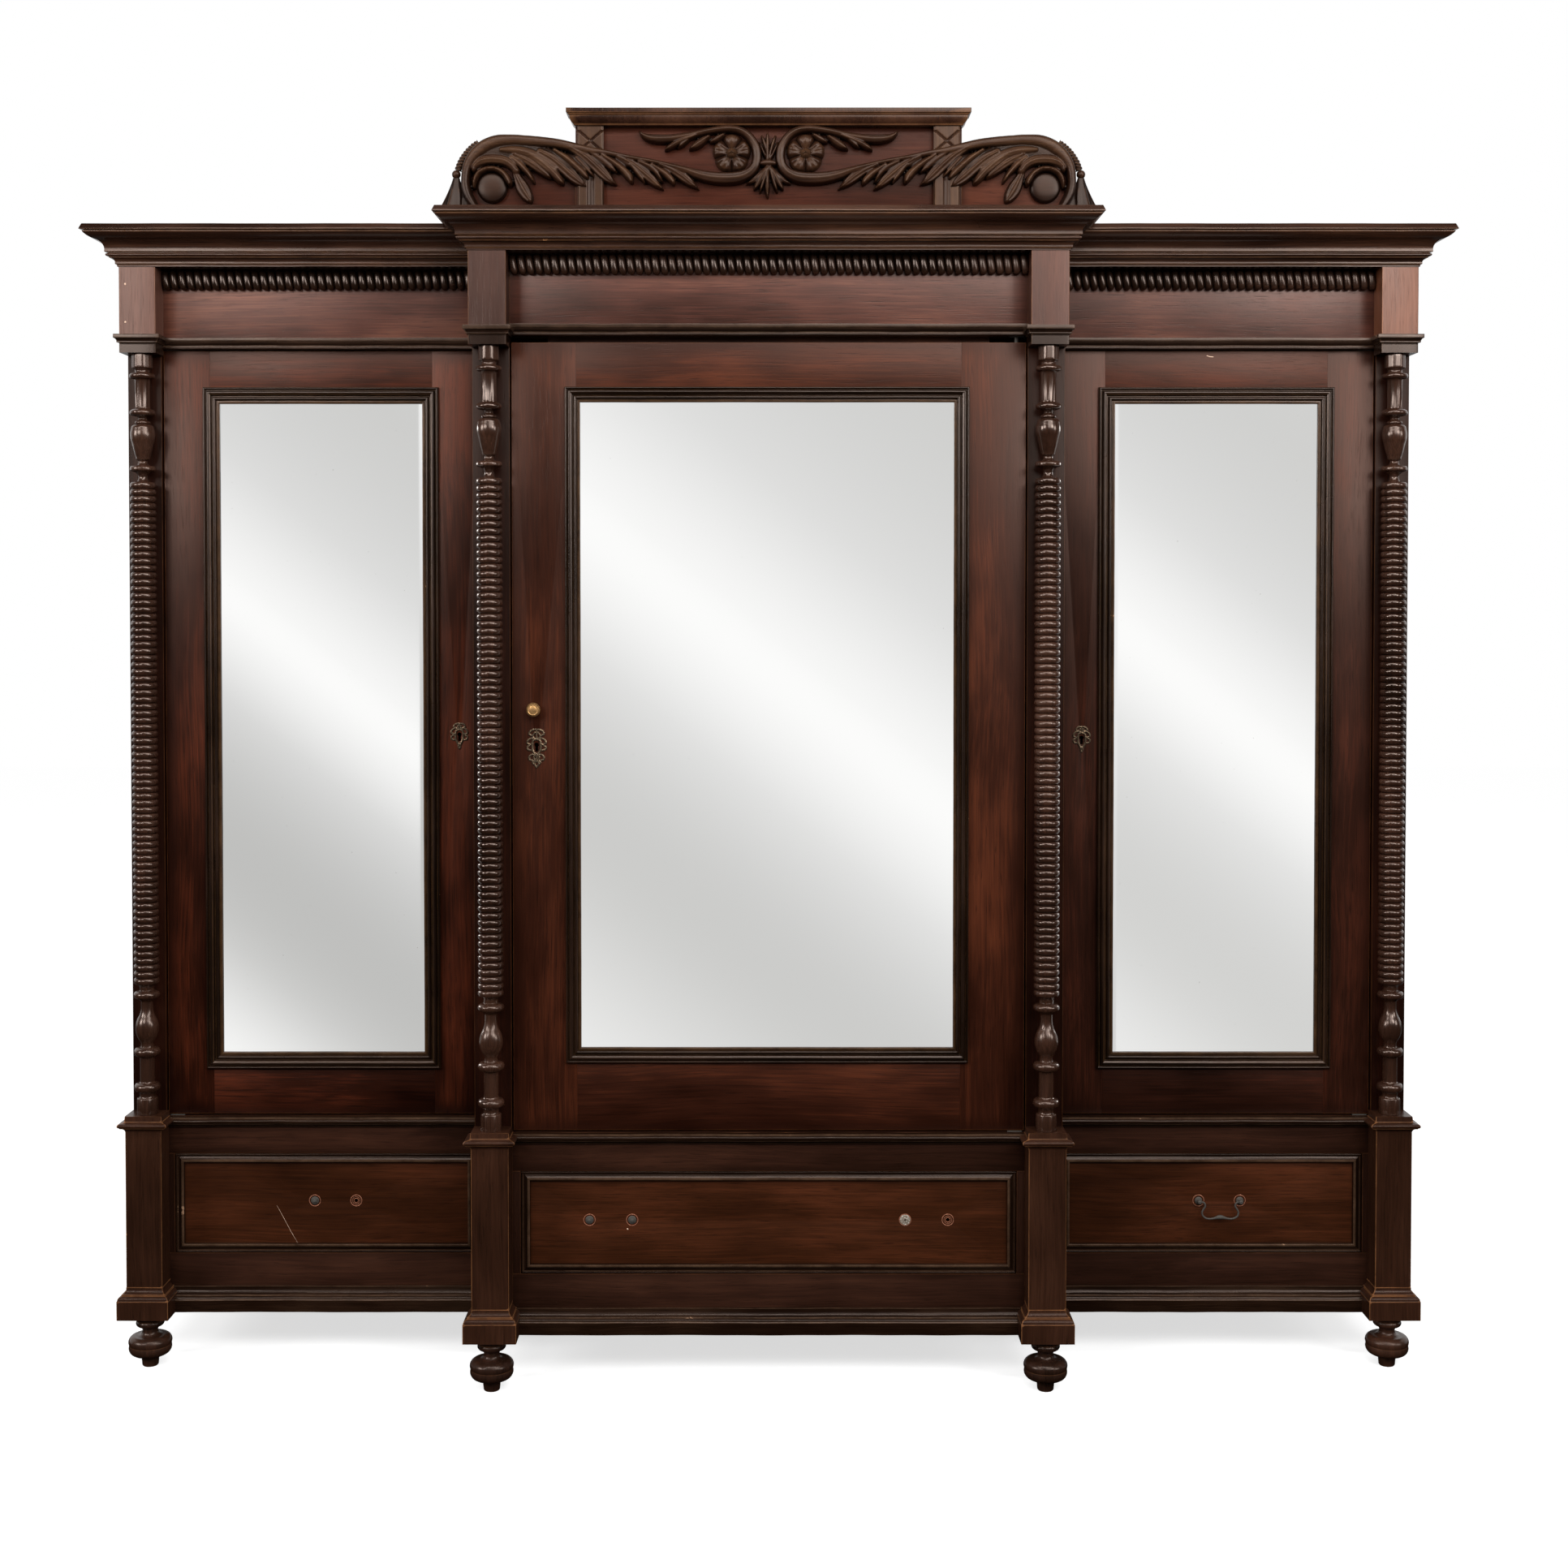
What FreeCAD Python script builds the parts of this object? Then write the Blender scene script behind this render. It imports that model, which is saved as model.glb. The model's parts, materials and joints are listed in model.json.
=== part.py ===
import FreeCAD, Part
import math
import os
import re

# Three-door breakfront wardrobe in mahogany, with mirrored doors over drawers.
# Millimetres. X runs across the front, -Y is the front, Z is up from the floor.

document = FreeCAD.newDocument("Wardrobe")

# Driving dimensions
SIZES = {
    # carcass
    "body_width": 2330, "centre_width": 1044, "side_depth": 480, "breakfront": 120,
    "foot_height": 92, "floor_top": 449, "door_height": 1396, "frieze_height": 142,
    "cornice_height": 68, "cornice_projection": 54, "centre_rise": 9,
    "front_thickness": 20, "frame_thickness": 22, "board_thickness": 18, "back_thickness": 12,
    "outer_strip_width": 61, "inner_strip_width": 66, "back_board_count": 16,
    "frame_stile_width": 74, "frame_rail_width": 86, "frame_panel_thickness": 10, "panel_setback": 7,
    # blocks, pedestals and their mouldings
    "block_projection": 50, "outer_block_width": 65, "abacus_height": 16, "abacus_projection": 8,
    "lower_block_height": 17, "abacus_lift": 5, "pedestal_lip": 11, "plinth_block_height": 36,
    "plinth_block_projection": 14, "plinth_slope_height": 20, "pedestal_cap_height": 18,
    "pedestal_cap_projection": 11,
    # rails and small mouldings
    "lower_rail_height": 104, "drawer_opening_height": 184, "plinth_height": 24,
    "plinth_moulding_height": 20, "plinth_projection": 18, "waist_height": 18,
    "waist_projection": 17, "architrave_height": 20, "architrave_projection": 12,
    "outer_fillet_width": 14, "inner_fillet_width": 14, "centre_fillet_width": 15,
    "bobbin_height": 36, "bobbin_depth": 17, "bobbin_groove": 5, "frieze_bobbin_pitch": 14.7,
    # columns and feet
    "column_radius": 23, "column_forward": 26, "column_bobbin_pitch": 12.5, "column_groove": 6,
    "outer_column_inset": 34, "foot_radius": 38, "foot_inset": 37, "foot_forward": 30,
    "rear_foot_inset": 60,
    # doors
    "door_side_gap": 2.5, "door_gap": 3, "frieze_gap": 2, "door_setback": 6, "door_thickness": 24,
    "moulding_lap": 12, "side_hinge_margin": 71.5, "side_latch_margin": 76.5, "side_top_margin": 66,
    "side_bottom_margin": 84, "centre_side_margin": 101.5, "centre_top_margin": 78,
    "centre_bottom_margin": 121, "side_moulding_width": 28, "centre_moulding_width": 24,
    "door_moulding_thickness": 9, "mirror_thickness": 5, "mirror_backing": 12,
    "knob_radius": 12, "knob_length": 24, "knob_inset": 38.5, "knob_height": 1201,
    # pivots
    "pivot_inset": 16, "pivot_setback": 7, "pin_radius": 3.5, "pin_clearance": 0.05, "pin_length": 13,
    "socket_radius": 6, "socket_depth": 14, "pivot_plate": 1.5, "pivot_plate_length": 26,
    "pivot_plate_width": 14,
    # locks
    "left_backset": 41, "centre_backset": 42.5, "right_backset": 48, "left_keyhole_height": 1149,
    "centre_keyhole_height": 1138, "right_keyhole_height": 1143, "keyhole_radius": 4,
    "keyhole_slot": 5, "keyhole_drop": 12, "escutcheon_thickness": 2, "side_escutcheon_width": 33,
    "side_escutcheon_height": 60, "centre_escutcheon_width": 34.5, "centre_escutcheon_height": 69,
    "lock_length": 62, "lock_height": 74, "lock_thickness": 14, "bolt_height": 12, "bolt_thickness": 5,
    "bolt_length": 44, "bolt_throw": 9, "bolt_lift": 22, "bolt_clearance": 0.4, "key_depth": 8,
    "keeper_thickness": 12,
    # drawers
    "drawer_gap": 1, "drawer_setback": 6, "drawer_front_thickness": 20, "drawer_side": 12,
    "drawer_bottom": 8, "side_drawer_depth": 400, "centre_drawer_depth": 500,
    "drawer_box_inset": 8, "drawer_box_height": 150, "runner_gap": 0.3, "runner_height": 18,
    "runner_width": 30, "guide_height": 30, "guide_gap": 1, "drawer_moulding_width": 16,
    "drawer_moulding_thickness": 7.5, "bottom_groove_height": 10,
    # drawer handles
    "handle_spacing": 76, "handle_height": 291, "left_handle_centre": 796.4,
    "right_handle_centre": 828.4,
    "centre_handle_offset": 281, "handle_hole_radius": 3, "post_radius": 3.6, "post_length": 14,
    "rosette_radius": 7, "rosette_thickness": 2, "bail_radius": 1.8, "bail_drop": 34,
    "bail_clearance": 0.05, "bail_overlap": 5, "old_bolt_radius": 5, "old_bolt_stand": 5,
    # crest
    "crest_half_width": 560, "crest_middle_half_width": 341, "crest_height": 187, "crest_cap_height": 28,
    "crest_cap_overhang": 14, "crest_cap_forward": 30, "crest_setback": 20, "crest_thickness": 20,
    "crest_pilaster_width": 46, "crest_pilaster_inset": 4.5, "crest_pilaster_thickness": 12,
    "scroll_thickness": 30, "volute_radius": 26, "volute_stand": 6, "rosette_carving_radius": 31,
    "rosette_carving_thickness": 20, "brace_width": 40, "brace_depth": 110, "brace_height": 130,
    # inside
    "shelf_count": 3, "shelf_pitch": 350, "shelf_start": 800, "shelf_setback": 45, "cleat_size": 20,
    "stop_height": 12, "stop_depth": 14, "stop_gap": 0.5, "rail_radius": 14, "rail_height": 1740,
    "rail_back": 230,
    "rail_socket_radius": 24, "rail_socket_thickness": 12, "cut_overrun": 2,
}

# Places worked out from the driving dimensions
PLACES = {
    "half_width": "body_width / 2",
    "half_centre": "centre_width / 2",
    "total_depth": "side_depth + breakfront + block_projection + cornice_projection",
    "back_face": "total_depth / 2",
    "inner_back": "back_face - back_thickness",
    "side_front": "back_face - side_depth",
    "centre_front": "side_front - breakfront",
    "door_bottom": "floor_top + door_gap",
    "door_top": "door_bottom + door_height",
    "frieze_bottom": "door_top + frieze_gap",
    "cornice_bottom": "frieze_bottom + frieze_height",
    "cornice_top": "cornice_bottom + cornice_height",
    "centre_cornice_bottom": "cornice_bottom + centre_rise",
    "centre_cornice_top": "cornice_top + centre_rise",
    "centre_frieze_bottom": "frieze_bottom + centre_rise",
    "outer_strip_edge": "half_width - outer_strip_width",
    "inner_strip_edge": "half_centre - inner_strip_width",
    "side_inner_face": "half_width - frame_thickness",
    "partition_inner_face": "half_centre - frame_thickness",
    "waist_bottom": "floor_top - waist_height",
    "lower_rail_top": "foot_height + lower_rail_height",
    "drawer_opening_top": "lower_rail_top + drawer_opening_height",
    "pedestal_top": "floor_top + pedestal_lip",
    "abacus_bottom": "frieze_bottom + abacus_lift",
    "column_top": "abacus_bottom - lower_block_height",
    "side_door_outer": "outer_strip_edge - door_side_gap",
    "side_door_inner": "half_centre + door_side_gap",
    "centre_door_edge": "inner_strip_edge - door_side_gap",
    "side_door_face": "side_front + door_setback",
    "centre_door_face": "centre_front + door_setback",
    "side_drawer_inner": "half_centre + inner_fillet_width + drawer_gap",
    "side_drawer_outer": "outer_strip_edge - outer_fillet_width - drawer_gap",
    "centre_drawer_edge": "inner_strip_edge - centre_fillet_width - drawer_gap",
    "drawer_front_bottom": "lower_rail_top + drawer_gap",
    "drawer_front_top": "drawer_opening_top - drawer_gap",
    "runner_top": "drawer_front_bottom + drawer_gap",
    "drawer_box_bottom": "runner_top + runner_gap",
    "crest_front": "centre_front + crest_setback",
    "crest_back": "crest_front + crest_thickness",
    "crest_top": "centre_cornice_top + crest_height",
    "crest_cap_bottom": "crest_top - crest_cap_height",
}


def with_sheets(text):
    """A formula in plain aliases, rewritten with the sheet that holds each alias."""
    def sheet_of(match):
        name = match.group(0)
        return ("Sizes." if name in SIZES else "Places.") + name
    return re.sub(r"[a-z][a-z_]+", sheet_of, text)


def make_sheet(name, cells):
    sheet = document.addObject("Spreadsheet::Sheet", name)
    for row, (alias, content) in enumerate(cells.items(), start=1):
        sheet.set(f"A{row}", alias)
        sheet.set(f"B{row}", content)
        sheet.setAlias(f"B{row}", alias)
    return sheet


sizes_sheet = make_sheet("Sizes", {alias: str(number) for alias, number in SIZES.items()})
document.recompute()
places_sheet = make_sheet("Places", {alias: "=" + with_sheets(text) for alias, text in PLACES.items()})
document.recompute()


def value(text):
    """The number that a formula in plain aliases gives."""
    def number_of(match):
        name = match.group(0)
        sheet = sizes_sheet if name in SIZES else places_sheet
        return repr(float(sheet.get(name)))
    return sum_of(re.sub(r"[a-z][a-z_]+", number_of, text))


def sum_of(text):
    """Work out a formula of numbers with the sheet's own arithmetic."""
    scratch_sheet.set("A1", "=" + text)
    scratch_sheet.recompute()
    return float(scratch_sheet.get("A1"))


scratch_sheet = document.addObject("Spreadsheet::Sheet", "Working")
sub_parts = {}


# Ways of making a piece

def board(label, x, y, z):
    """A box between two formulas along each axis, bound to the sheets."""
    box = document.addObject("Part::Box", "Board")
    box.Label = label
    for axis, size, (low, high) in zip("xyz", ("Length", "Width", "Height"), (x, y, z)):
        box.setExpression(size, with_sheets(f"({high}) - ({low})"))
        box.setExpression(f"Placement.Base.{axis}", with_sheets(low))
    return box


def rod(label, radius, length, place, axis="z"):
    """A cylinder bound to the sheets, along Z or turned to point along X or Y."""
    cylinder = document.addObject("Part::Cylinder", "Rod")
    cylinder.Label = label
    cylinder.setExpression("Radius", with_sheets(radius))
    cylinder.setExpression("Height", with_sheets(length))
    turns = {"x": ((0, 1, 0), 90), "y": ((1, 0, 0), -90), "z": ((0, 0, 1), 0)}
    direction, degrees = turns[axis]
    cylinder.Placement.Rotation = FreeCAD.Rotation(FreeCAD.Vector(*direction), degrees)
    for name, formula in zip("xyz", place):
        cylinder.setExpression(f"Placement.Base.{name}", with_sheets(formula))
    return cylinder


def cut(label, base, tool):
    feature = document.addObject("Part::Cut", "Cut")
    feature.Label = label
    feature.Base = base
    feature.Tool = tool
    return feature


def fuse(label, first, second):
    feature = document.addObject("Part::Fuse", "Fuse")
    feature.Label = label
    feature.Base = first
    feature.Tool = second
    return feature


def shaped(label, shape):
    """A piece whose shape is worked out from the sheets' values."""
    feature = document.addObject("Part::Feature", "Shaped")
    feature.Label = label
    feature.Shape = shape
    return feature


def sub_part(name, pieces):
    """Name a sub-part, and hold its separate pieces together as a compound."""
    if len(pieces) == 1:
        feature = pieces[0]
    else:
        feature = document.addObject("Part::Compound", "Group")
        feature.Links = pieces
    feature.Label = name
    sub_parts[name] = feature


def mirrored(low, high, side):
    """The span on the right for side 1, and its mirror image on the left for side -1."""
    return (low, high) if side > 0 else (f"-({high})", f"-({low})")


def edges_along(steps, place):
    """Edges of an outline: a step is a point, or a through point and an end point of an arc."""
    edges = []
    last = place(*steps[0])
    for step in steps[1:]:
        if isinstance(step[0], tuple):
            through, end = place(*step[0]), place(*step[1])
            edges.append(Part.Arc(last, through, end).toShape())
        else:
            end = place(*step)
            edges.append(Part.LineSegment(last, end).toShape())
        last = end
    return edges


def prism(steps, place, sweep):
    """A closed outline, placed in space and carried along a straight line."""
    edges = edges_along(steps + [steps[0]], place)
    return Part.Face(Part.Wire(edges)).extrude(sweep)


def end_of(step):
    """The point where an outline step ends."""
    return step[1] if isinstance(step[0], tuple) else step


def turned(steps, centre, axis):
    """A profile of (radius, distance) steps turned about an axis through centre."""
    across = FreeCAD.Vector(0, -1, 0)
    closed = [(0, steps[0][1])] + steps + [(0, end_of(steps[-1])[1])]
    edges = edges_along(closed + [closed[0]], lambda radius, along: centre + across * radius + axis * along)
    return Part.Face(Part.Wire(edges)).revolve(centre, axis, 360)


def scaled_steps(shares, across, along, base=0):
    """Outline steps written as shares, turned into lengths, with a base added to the second."""
    def scaled(point):
        return (point[0] * across, base + point[1] * along)
    return [tuple(scaled(point) for point in step) if isinstance(step[0], tuple) else scaled(step)
            for step in shares]


def moulded_block(x_low, x_high, y_front, y_back, contour):
    """A block whose front and two sides all follow one contour of (offset, height) steps."""
    reach = max(end_of(step)[0] for step in contour) + value("cut_overrun")
    bottom, top = contour[0][1], end_of(contour[-1])[1]
    front = edges_along(contour, lambda offset, height: FreeCAD.Vector(
        x_low - reach, y_front - offset, height))
    back_low = FreeCAD.Vector(x_low - reach, y_back, bottom)
    back_high = FreeCAD.Vector(x_low - reach, y_back, top)
    front_low, front_high = front[0].Vertexes[0].Point, front[-1].Vertexes[-1].Point
    closing = [Part.LineSegment(front_high, back_high).toShape(),
               Part.LineSegment(back_high, back_low).toShape(),
               Part.LineSegment(back_low, front_low).toShape()]
    across = Part.Face(Part.Wire(front + closing)).extrude(
        FreeCAD.Vector(x_high - x_low + 2 * reach, 0, 0))
    right = edges_along(contour, lambda offset, height: FreeCAD.Vector(
        x_high + offset, y_front - reach, height))
    left = edges_along(contour, lambda offset, height: FreeCAD.Vector(
        x_low - offset, y_front - reach, height))
    right_low, right_high = right[0].Vertexes[0].Point, right[-1].Vertexes[-1].Point
    left_low, left_high = left[0].Vertexes[0].Point, left[-1].Vertexes[-1].Point
    around = right + [Part.LineSegment(right_high, left_high).toShape()] + left[::-1]
    around.append(Part.LineSegment(left_low, right_low).toShape())
    wire = Part.Wire(Part.__sortEdges__(around))
    along = Part.Face(wire).extrude(FreeCAD.Vector(0, y_back - y_front + reach, 0))
    return across.common(along)


def mitred_frame(x_low, x_high, z_low, z_high, face, width, profile):
    """Four mitred lengths of one moulding round a rectangle, flat on a face that looks to -Y.

    A profile step is (distance in from the outer edge, height off the face).
    """
    pieces = []
    reach = value("door_moulding_thickness + cut_overrun")
    corners = [(x_low, z_low), (x_high, z_low), (x_high, z_high), (x_low, z_high)]
    inner = [(x_low + width, z_low + width), (x_high - width, z_low + width),
             (x_high - width, z_high - width), (x_low + width, z_high - width)]
    inward = [(0, 1), (-1, 0), (0, -1), (1, 0)]
    for index in range(4):
        start, end = corners[index], corners[(index + 1) % 4]
        across = inward[index]
        origin = FreeCAD.Vector(start[0], face, start[1])
        sweep = FreeCAD.Vector(end[0] - start[0], 0, end[1] - start[1])
        length = prism(profile, lambda inset, height: origin + FreeCAD.Vector(
            across[0] * inset, -height, across[1] * inset), sweep)
        plan = [start, end, inner[(index + 1) % 4], inner[index]]
        mitre = prism(plan, lambda x, z: FreeCAD.Vector(x, face + reach, z),
                      FreeCAD.Vector(0, -2 * reach, 0))
        pieces.append(length.common(mitre))
    return pieces


# Sides, partitions and back

side_frames = []
side_panels = []
for side, name in ((-1, "left"), (1, "right")):
    thick = mirrored("side_inner_face", "half_width", side)
    rear = "back_face - frame_stile_width"
    fore = "side_front + front_thickness + frame_stile_width"
    side_frames.append(board(f"{name} front stile", thick, ("side_front + front_thickness", fore),
                             ("foot_height", "cornice_top")))
    side_frames.append(board(f"{name} rear stile", thick, (rear, "back_face"),
                             ("foot_height", "cornice_top")))
    rails = (("foot_height", "foot_height + frame_rail_width"),
             ("floor_top - frame_rail_width / 2", "floor_top + frame_rail_width / 2"),
             ("cornice_bottom - frame_rail_width", "cornice_top"))
    for low, high in rails:
        side_frames.append(board(f"{name} rail", thick, (fore, rear), (low, high)))
    sunk = mirrored("half_width - panel_setback - frame_panel_thickness",
                    "half_width - panel_setback", side)
    side_panels.append(board(f"{name} lower panel", sunk, (fore, rear), (rails[0][1], rails[1][0])))
    side_panels.append(board(f"{name} upper panel", sunk, (fore, rear), (rails[1][1], rails[2][0])))
sub_part("framed_sides", side_frames + side_panels)

partitions = []
for side, name in ((-1, "left"), (1, "right")):
    partition = board(f"{name} partition", mirrored("partition_inner_face", "half_centre", side),
                      ("centre_front + front_thickness", "inner_back"),
                      ("foot_height", "centre_cornice_top"))
    lock_face = "side_door_face + door_thickness + lock_thickness / 2"
    pocket = board(f"{name} bolt mortise",
                   mirrored("half_centre - bolt_throw", "half_centre + cut_overrun", side),
                   (f"{lock_face} - bolt_thickness / 2 - bolt_clearance",
                    f"{lock_face} + bolt_thickness / 2 + bolt_clearance"),
                   (f"{name}_keyhole_height + bolt_lift - bolt_height / 2 - bolt_clearance",
                    f"{name}_keyhole_height + bolt_lift + bolt_height / 2 + bolt_clearance"))
    partitions.append(cut(f"{name} partition with mortise", partition, pocket))
sub_part("partitions", partitions)

back_boards = []
back_board_width = "(2 * side_inner_face / back_board_count)"
for index in range(int(value("back_board_count"))):
    low = f"{index} * {back_board_width} - side_inner_face"
    high = f"{index + 1} * {back_board_width} - side_inner_face"
    back_boards.append(board(f"back board {index + 1}", (low, high), ("inner_back", "back_face"),
                             ("foot_height", "cornice_top")))
sub_part("back_boards", back_boards)

# Bottoms, floors under the doors, ceilings over them and top boards
SECTIONS = {
    "left": {"x": ("-side_inner_face", "-half_centre"), "front": "side_front", "rise": "0"},
    "centre": {"x": ("-partition_inner_face", "partition_inner_face"), "front": "centre_front",
               "rise": "centre_rise"},
    "right": {"x": ("half_centre", "side_inner_face"), "front": "side_front", "rise": "0"},
}
case_boards = []
for name, section in SECTIONS.items():
    behind = (f"{section['front']} + front_thickness", "inner_back")
    rise = section["rise"]
    levels = {"bottom": ("foot_height", "foot_height + board_thickness"),
              "floor": ("floor_top - board_thickness", "floor_top"),
              "ceiling": (f"frieze_bottom + {rise}", f"frieze_bottom + board_thickness + {rise}"),
              "top": (f"cornice_top - board_thickness + {rise}", f"cornice_top + {rise}")}
    for level, heights in levels.items():
        case_boards.append(board(f"{name} {level}", section["x"], behind, heights))
sub_part("case_boards", case_boards)

# Pilaster strips, rails and frieze boards across the front

pilaster_strips, base_rails, frieze_boards = [], [], []
for side, name in ((-1, "left"), (1, "right")):
    pilaster_strips.append(board(f"{name} outer strip", mirrored("outer_strip_edge", "half_width", side),
                                 ("side_front", "side_front + front_thickness"),
                                 ("foot_height", "cornice_top")))
    pilaster_strips.append(board(f"{name} inner strip", mirrored("inner_strip_edge", "half_centre", side),
                                 ("centre_front", "centre_front + front_thickness"),
                                 ("foot_height", "centre_cornice_top")))
sub_part("pilaster_strips", pilaster_strips)

FRONTS = {
    "left": {"x": ("-outer_strip_edge", "-half_centre"), "front": "side_front", "rise": "0",
             "fillets": ("outer_fillet_width", "inner_fillet_width")},
    "centre": {"x": ("-inner_strip_edge", "inner_strip_edge"), "front": "centre_front",
               "rise": "centre_rise", "fillets": ("centre_fillet_width", "centre_fillet_width")},
    "right": {"x": ("half_centre", "outer_strip_edge"), "front": "side_front", "rise": "0",
              "fillets": ("inner_fillet_width", "outer_fillet_width")},
}
for name, front in FRONTS.items():
    low, high = front["x"]
    rise = front["rise"]
    depth = (front["front"], f"{front['front']} + front_thickness")
    base_rails.append(board(f"{name} lower rail", (low, high), depth, ("foot_height", "lower_rail_top")))
    base_rails.append(board(f"{name} upper rail", (low, high), depth, ("drawer_opening_top", "floor_top")))
    first, second = front["fillets"]
    opening = ("lower_rail_top", "drawer_opening_top")
    base_rails.append(board(f"{name} first fillet", (low, f"{low} + {first}"), depth, opening))
    base_rails.append(board(f"{name} second fillet", (f"{high} - {second}", high), depth, opening))
    frieze_boards.append(board(f"{name} frieze", (low, high), depth,
                               (f"frieze_bottom + {rise}", f"cornice_top + {rise}")))
sub_part("base_rails", base_rails)
sub_part("frieze_boards", frieze_boards)

# Frieze blocks over the columns and pedestals under them

# Shares of the abacus, of the slope over a plinth block and of a pedestal's cap: (projection, height)
ABACUS_SHARES = [(0.5, 0), ((0.55, 0.3), (1, 0.6)), (1, 1), (0, 1)]
PLINTH_SLOPE_SHARES = [((0.6, 0.25), (0.35, 1)), (0, 1)]
PEDESTAL_CAP_SHARES = [(0, 0), ((0.25, 0.35), (0.8, 0.45)), (1, 0.45), (1, 0.85), (0, 1)]
frieze_blocks, pedestals = [], []
POSTS = {
    "outer": {"low": "half_width - outer_block_width", "high": "half_width", "front": "side_front",
              "top": "cornice_bottom"},
    "inner": {"low": "inner_strip_edge", "high": "half_centre", "front": "centre_front",
              "top": "centre_cornice_bottom"},
}


def with_waist_seat(pedestal, inner_side, face):
    """A pedestal whose cap is cut back on one side, where the waist moulding runs up to it."""
    reach, out = value("pedestal_cap_projection + cut_overrun"), value("waist_projection")
    low = min(inner_side, inner_side - math.copysign(reach, inner_side))
    seat = Part.makeBox(reach, out, value("waist_height"),
                        FreeCAD.Vector(low, face - out, value("waist_bottom")))
    return pedestal.cut(seat)


for post_name, post in POSTS.items():
    face = value(post["front"])
    front = face - value("block_projection")
    abacus = scaled_steps(ABACUS_SHARES, value("abacus_projection"), value("abacus_height"),
                          value("abacus_bottom"))
    block_contour = [(0, value("column_top")), (0, value("abacus_bottom"))] + abacus
    block_contour.append((0, value(post["top"])))
    foot, out = value("foot_height"), value("plinth_block_projection")
    ledge = foot + value("plinth_block_height")
    pedestal_contour = [(out, foot), (out, ledge)]
    pedestal_contour += scaled_steps(PLINTH_SLOPE_SHARES, out, value("plinth_slope_height"), ledge)
    pedestal_contour += scaled_steps(PEDESTAL_CAP_SHARES, value("pedestal_cap_projection"),
                                     value("pedestal_cap_height"),
                                     value("floor_top - pedestal_cap_height"))
    pedestal_contour.append((0, value("pedestal_top")))
    for side, name in ((-1, "left"), (1, "right")):
        low, high = (value(text) for text in mirrored(post["low"], post["high"], side))
        block = moulded_block(low, high, front, face, block_contour)
        pedestal = moulded_block(low, high, front, face, pedestal_contour)
        inner_side = low if side > 0 else high
        frieze_blocks.append(shaped(f"{name} {post_name} block", block))
        pedestals.append(shaped(f"{name} {post_name} pedestal",
                                with_waist_seat(pedestal, inner_side, face)))
sub_part("frieze_blocks", frieze_blocks)
sub_part("pedestals", pedestals)

# Mouldings that run between the blocks and pedestals

PLINTH_SHARES = [(0, 0), (1, 0), (1, 0.545), ((0.9, 0.62), (0.62, 0.66)), ((0.5, 0.8), (0.22, 0.9)),
                 (0.22, 1), (0, 1)]
WAIST_SHARES = [(0, 0), (0.35, 0), ((0.5, 0.25), (0.8, 0.35)), (0.8, 0.45), ((1, 0.62), (0.8, 0.82)),
                (0.8, 1), (0, 1)]
ARCHITRAVE_SHARES = [(0, 0), (0.55, 0), (0.55, 0.35), ((0.72, 0.55), (1, 0.7)), (1, 1), (0, 1)]
plinth_mouldings, waist_mouldings, architraves, bobbins = [], [], [], []


def straight_moulding(shares, span, front, bottom, projection, height, posts):
    """One length of moulding against a board, fitted round the posts at its ends."""
    low, high = value(span[0]), value(span[1])
    face, foot = value(front), value(bottom)
    steps = scaled_steps(shares, value(projection), value(height))
    length = prism(steps, lambda offset, up: FreeCAD.Vector(low, face - offset, foot + up),
                   FreeCAD.Vector(high - low, 0, 0))
    for post in posts:
        length = length.cut(post.Shape)
    return length


# One ring of a turned run. A share is (height over the groove's depth, distance over the pitch).
RING_SHARES = [(0.62, 0.14), (1, 0.36), (1, 0.64), (0.62, 0.86), (0, 1)]


def ring_steps(start, end, pitch, groove, depth):
    """The outline of a run of equal rings, as many as come nearest to the pitch."""
    count = round((end - start) / pitch)
    step = (end - start) / count
    return [(groove + up * depth, start + (index + along) * step)
            for index in range(count) for up, along in RING_SHARES]


def bobbin_moulding(span, front, bottom):
    """A split turning of equal rings along X, with its flat side against the frieze."""
    low, high = value(span[0]), value(span[1])
    crest, groove = value("bobbin_depth"), value("bobbin_depth - bobbin_groove")
    steps = [(groove, 0)]
    steps += ring_steps(0, high - low, value("frieze_bobbin_pitch"), groove, value("bobbin_groove"))
    centre = FreeCAD.Vector(low, value(front), value(bottom) + value("bobbin_height") / 2)
    half = turned(steps, centre, FreeCAD.Vector(1, 0, 0))
    keep = Part.makeBox(high - low, crest, value("bobbin_height"),
                        FreeCAD.Vector(low, value(front) - crest, value(bottom)))
    return half.common(keep)


for name, front in FRONTS.items():
    outer_edge = "half_width - outer_block_width"
    spans = {"left": (f"-({outer_edge})", "-half_centre"), "centre": front["x"],
             "right": ("half_centre", outer_edge)}
    span = spans[name]
    face, rise = front["front"], front["rise"]
    plinth_mouldings.append(shaped(f"{name} plinth", straight_moulding(
        PLINTH_SHARES, span, face, "foot_height", "plinth_projection",
        "plinth_height + plinth_moulding_height", pedestals)))
    waist_mouldings.append(shaped(f"{name} waist", straight_moulding(
        WAIST_SHARES, span, face, "waist_bottom", "waist_projection", "waist_height", [])))
    architraves.append(shaped(f"{name} architrave", straight_moulding(
        ARCHITRAVE_SHARES, span, face, f"frieze_bottom + {rise}", "architrave_projection",
        "architrave_height", frieze_blocks)))
    bobbins.append(shaped(f"{name} bobbins", bobbin_moulding(
        span, face, f"cornice_bottom - bobbin_height + {rise}")))
sub_part("plinth_mouldings", plinth_mouldings)
sub_part("waist_and_architrave_mouldings", waist_mouldings + architraves)
sub_part("bobbin_mouldings", bobbins)

# Turned columns. A share is (radius over the column's radius, height over the column's height).

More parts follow.
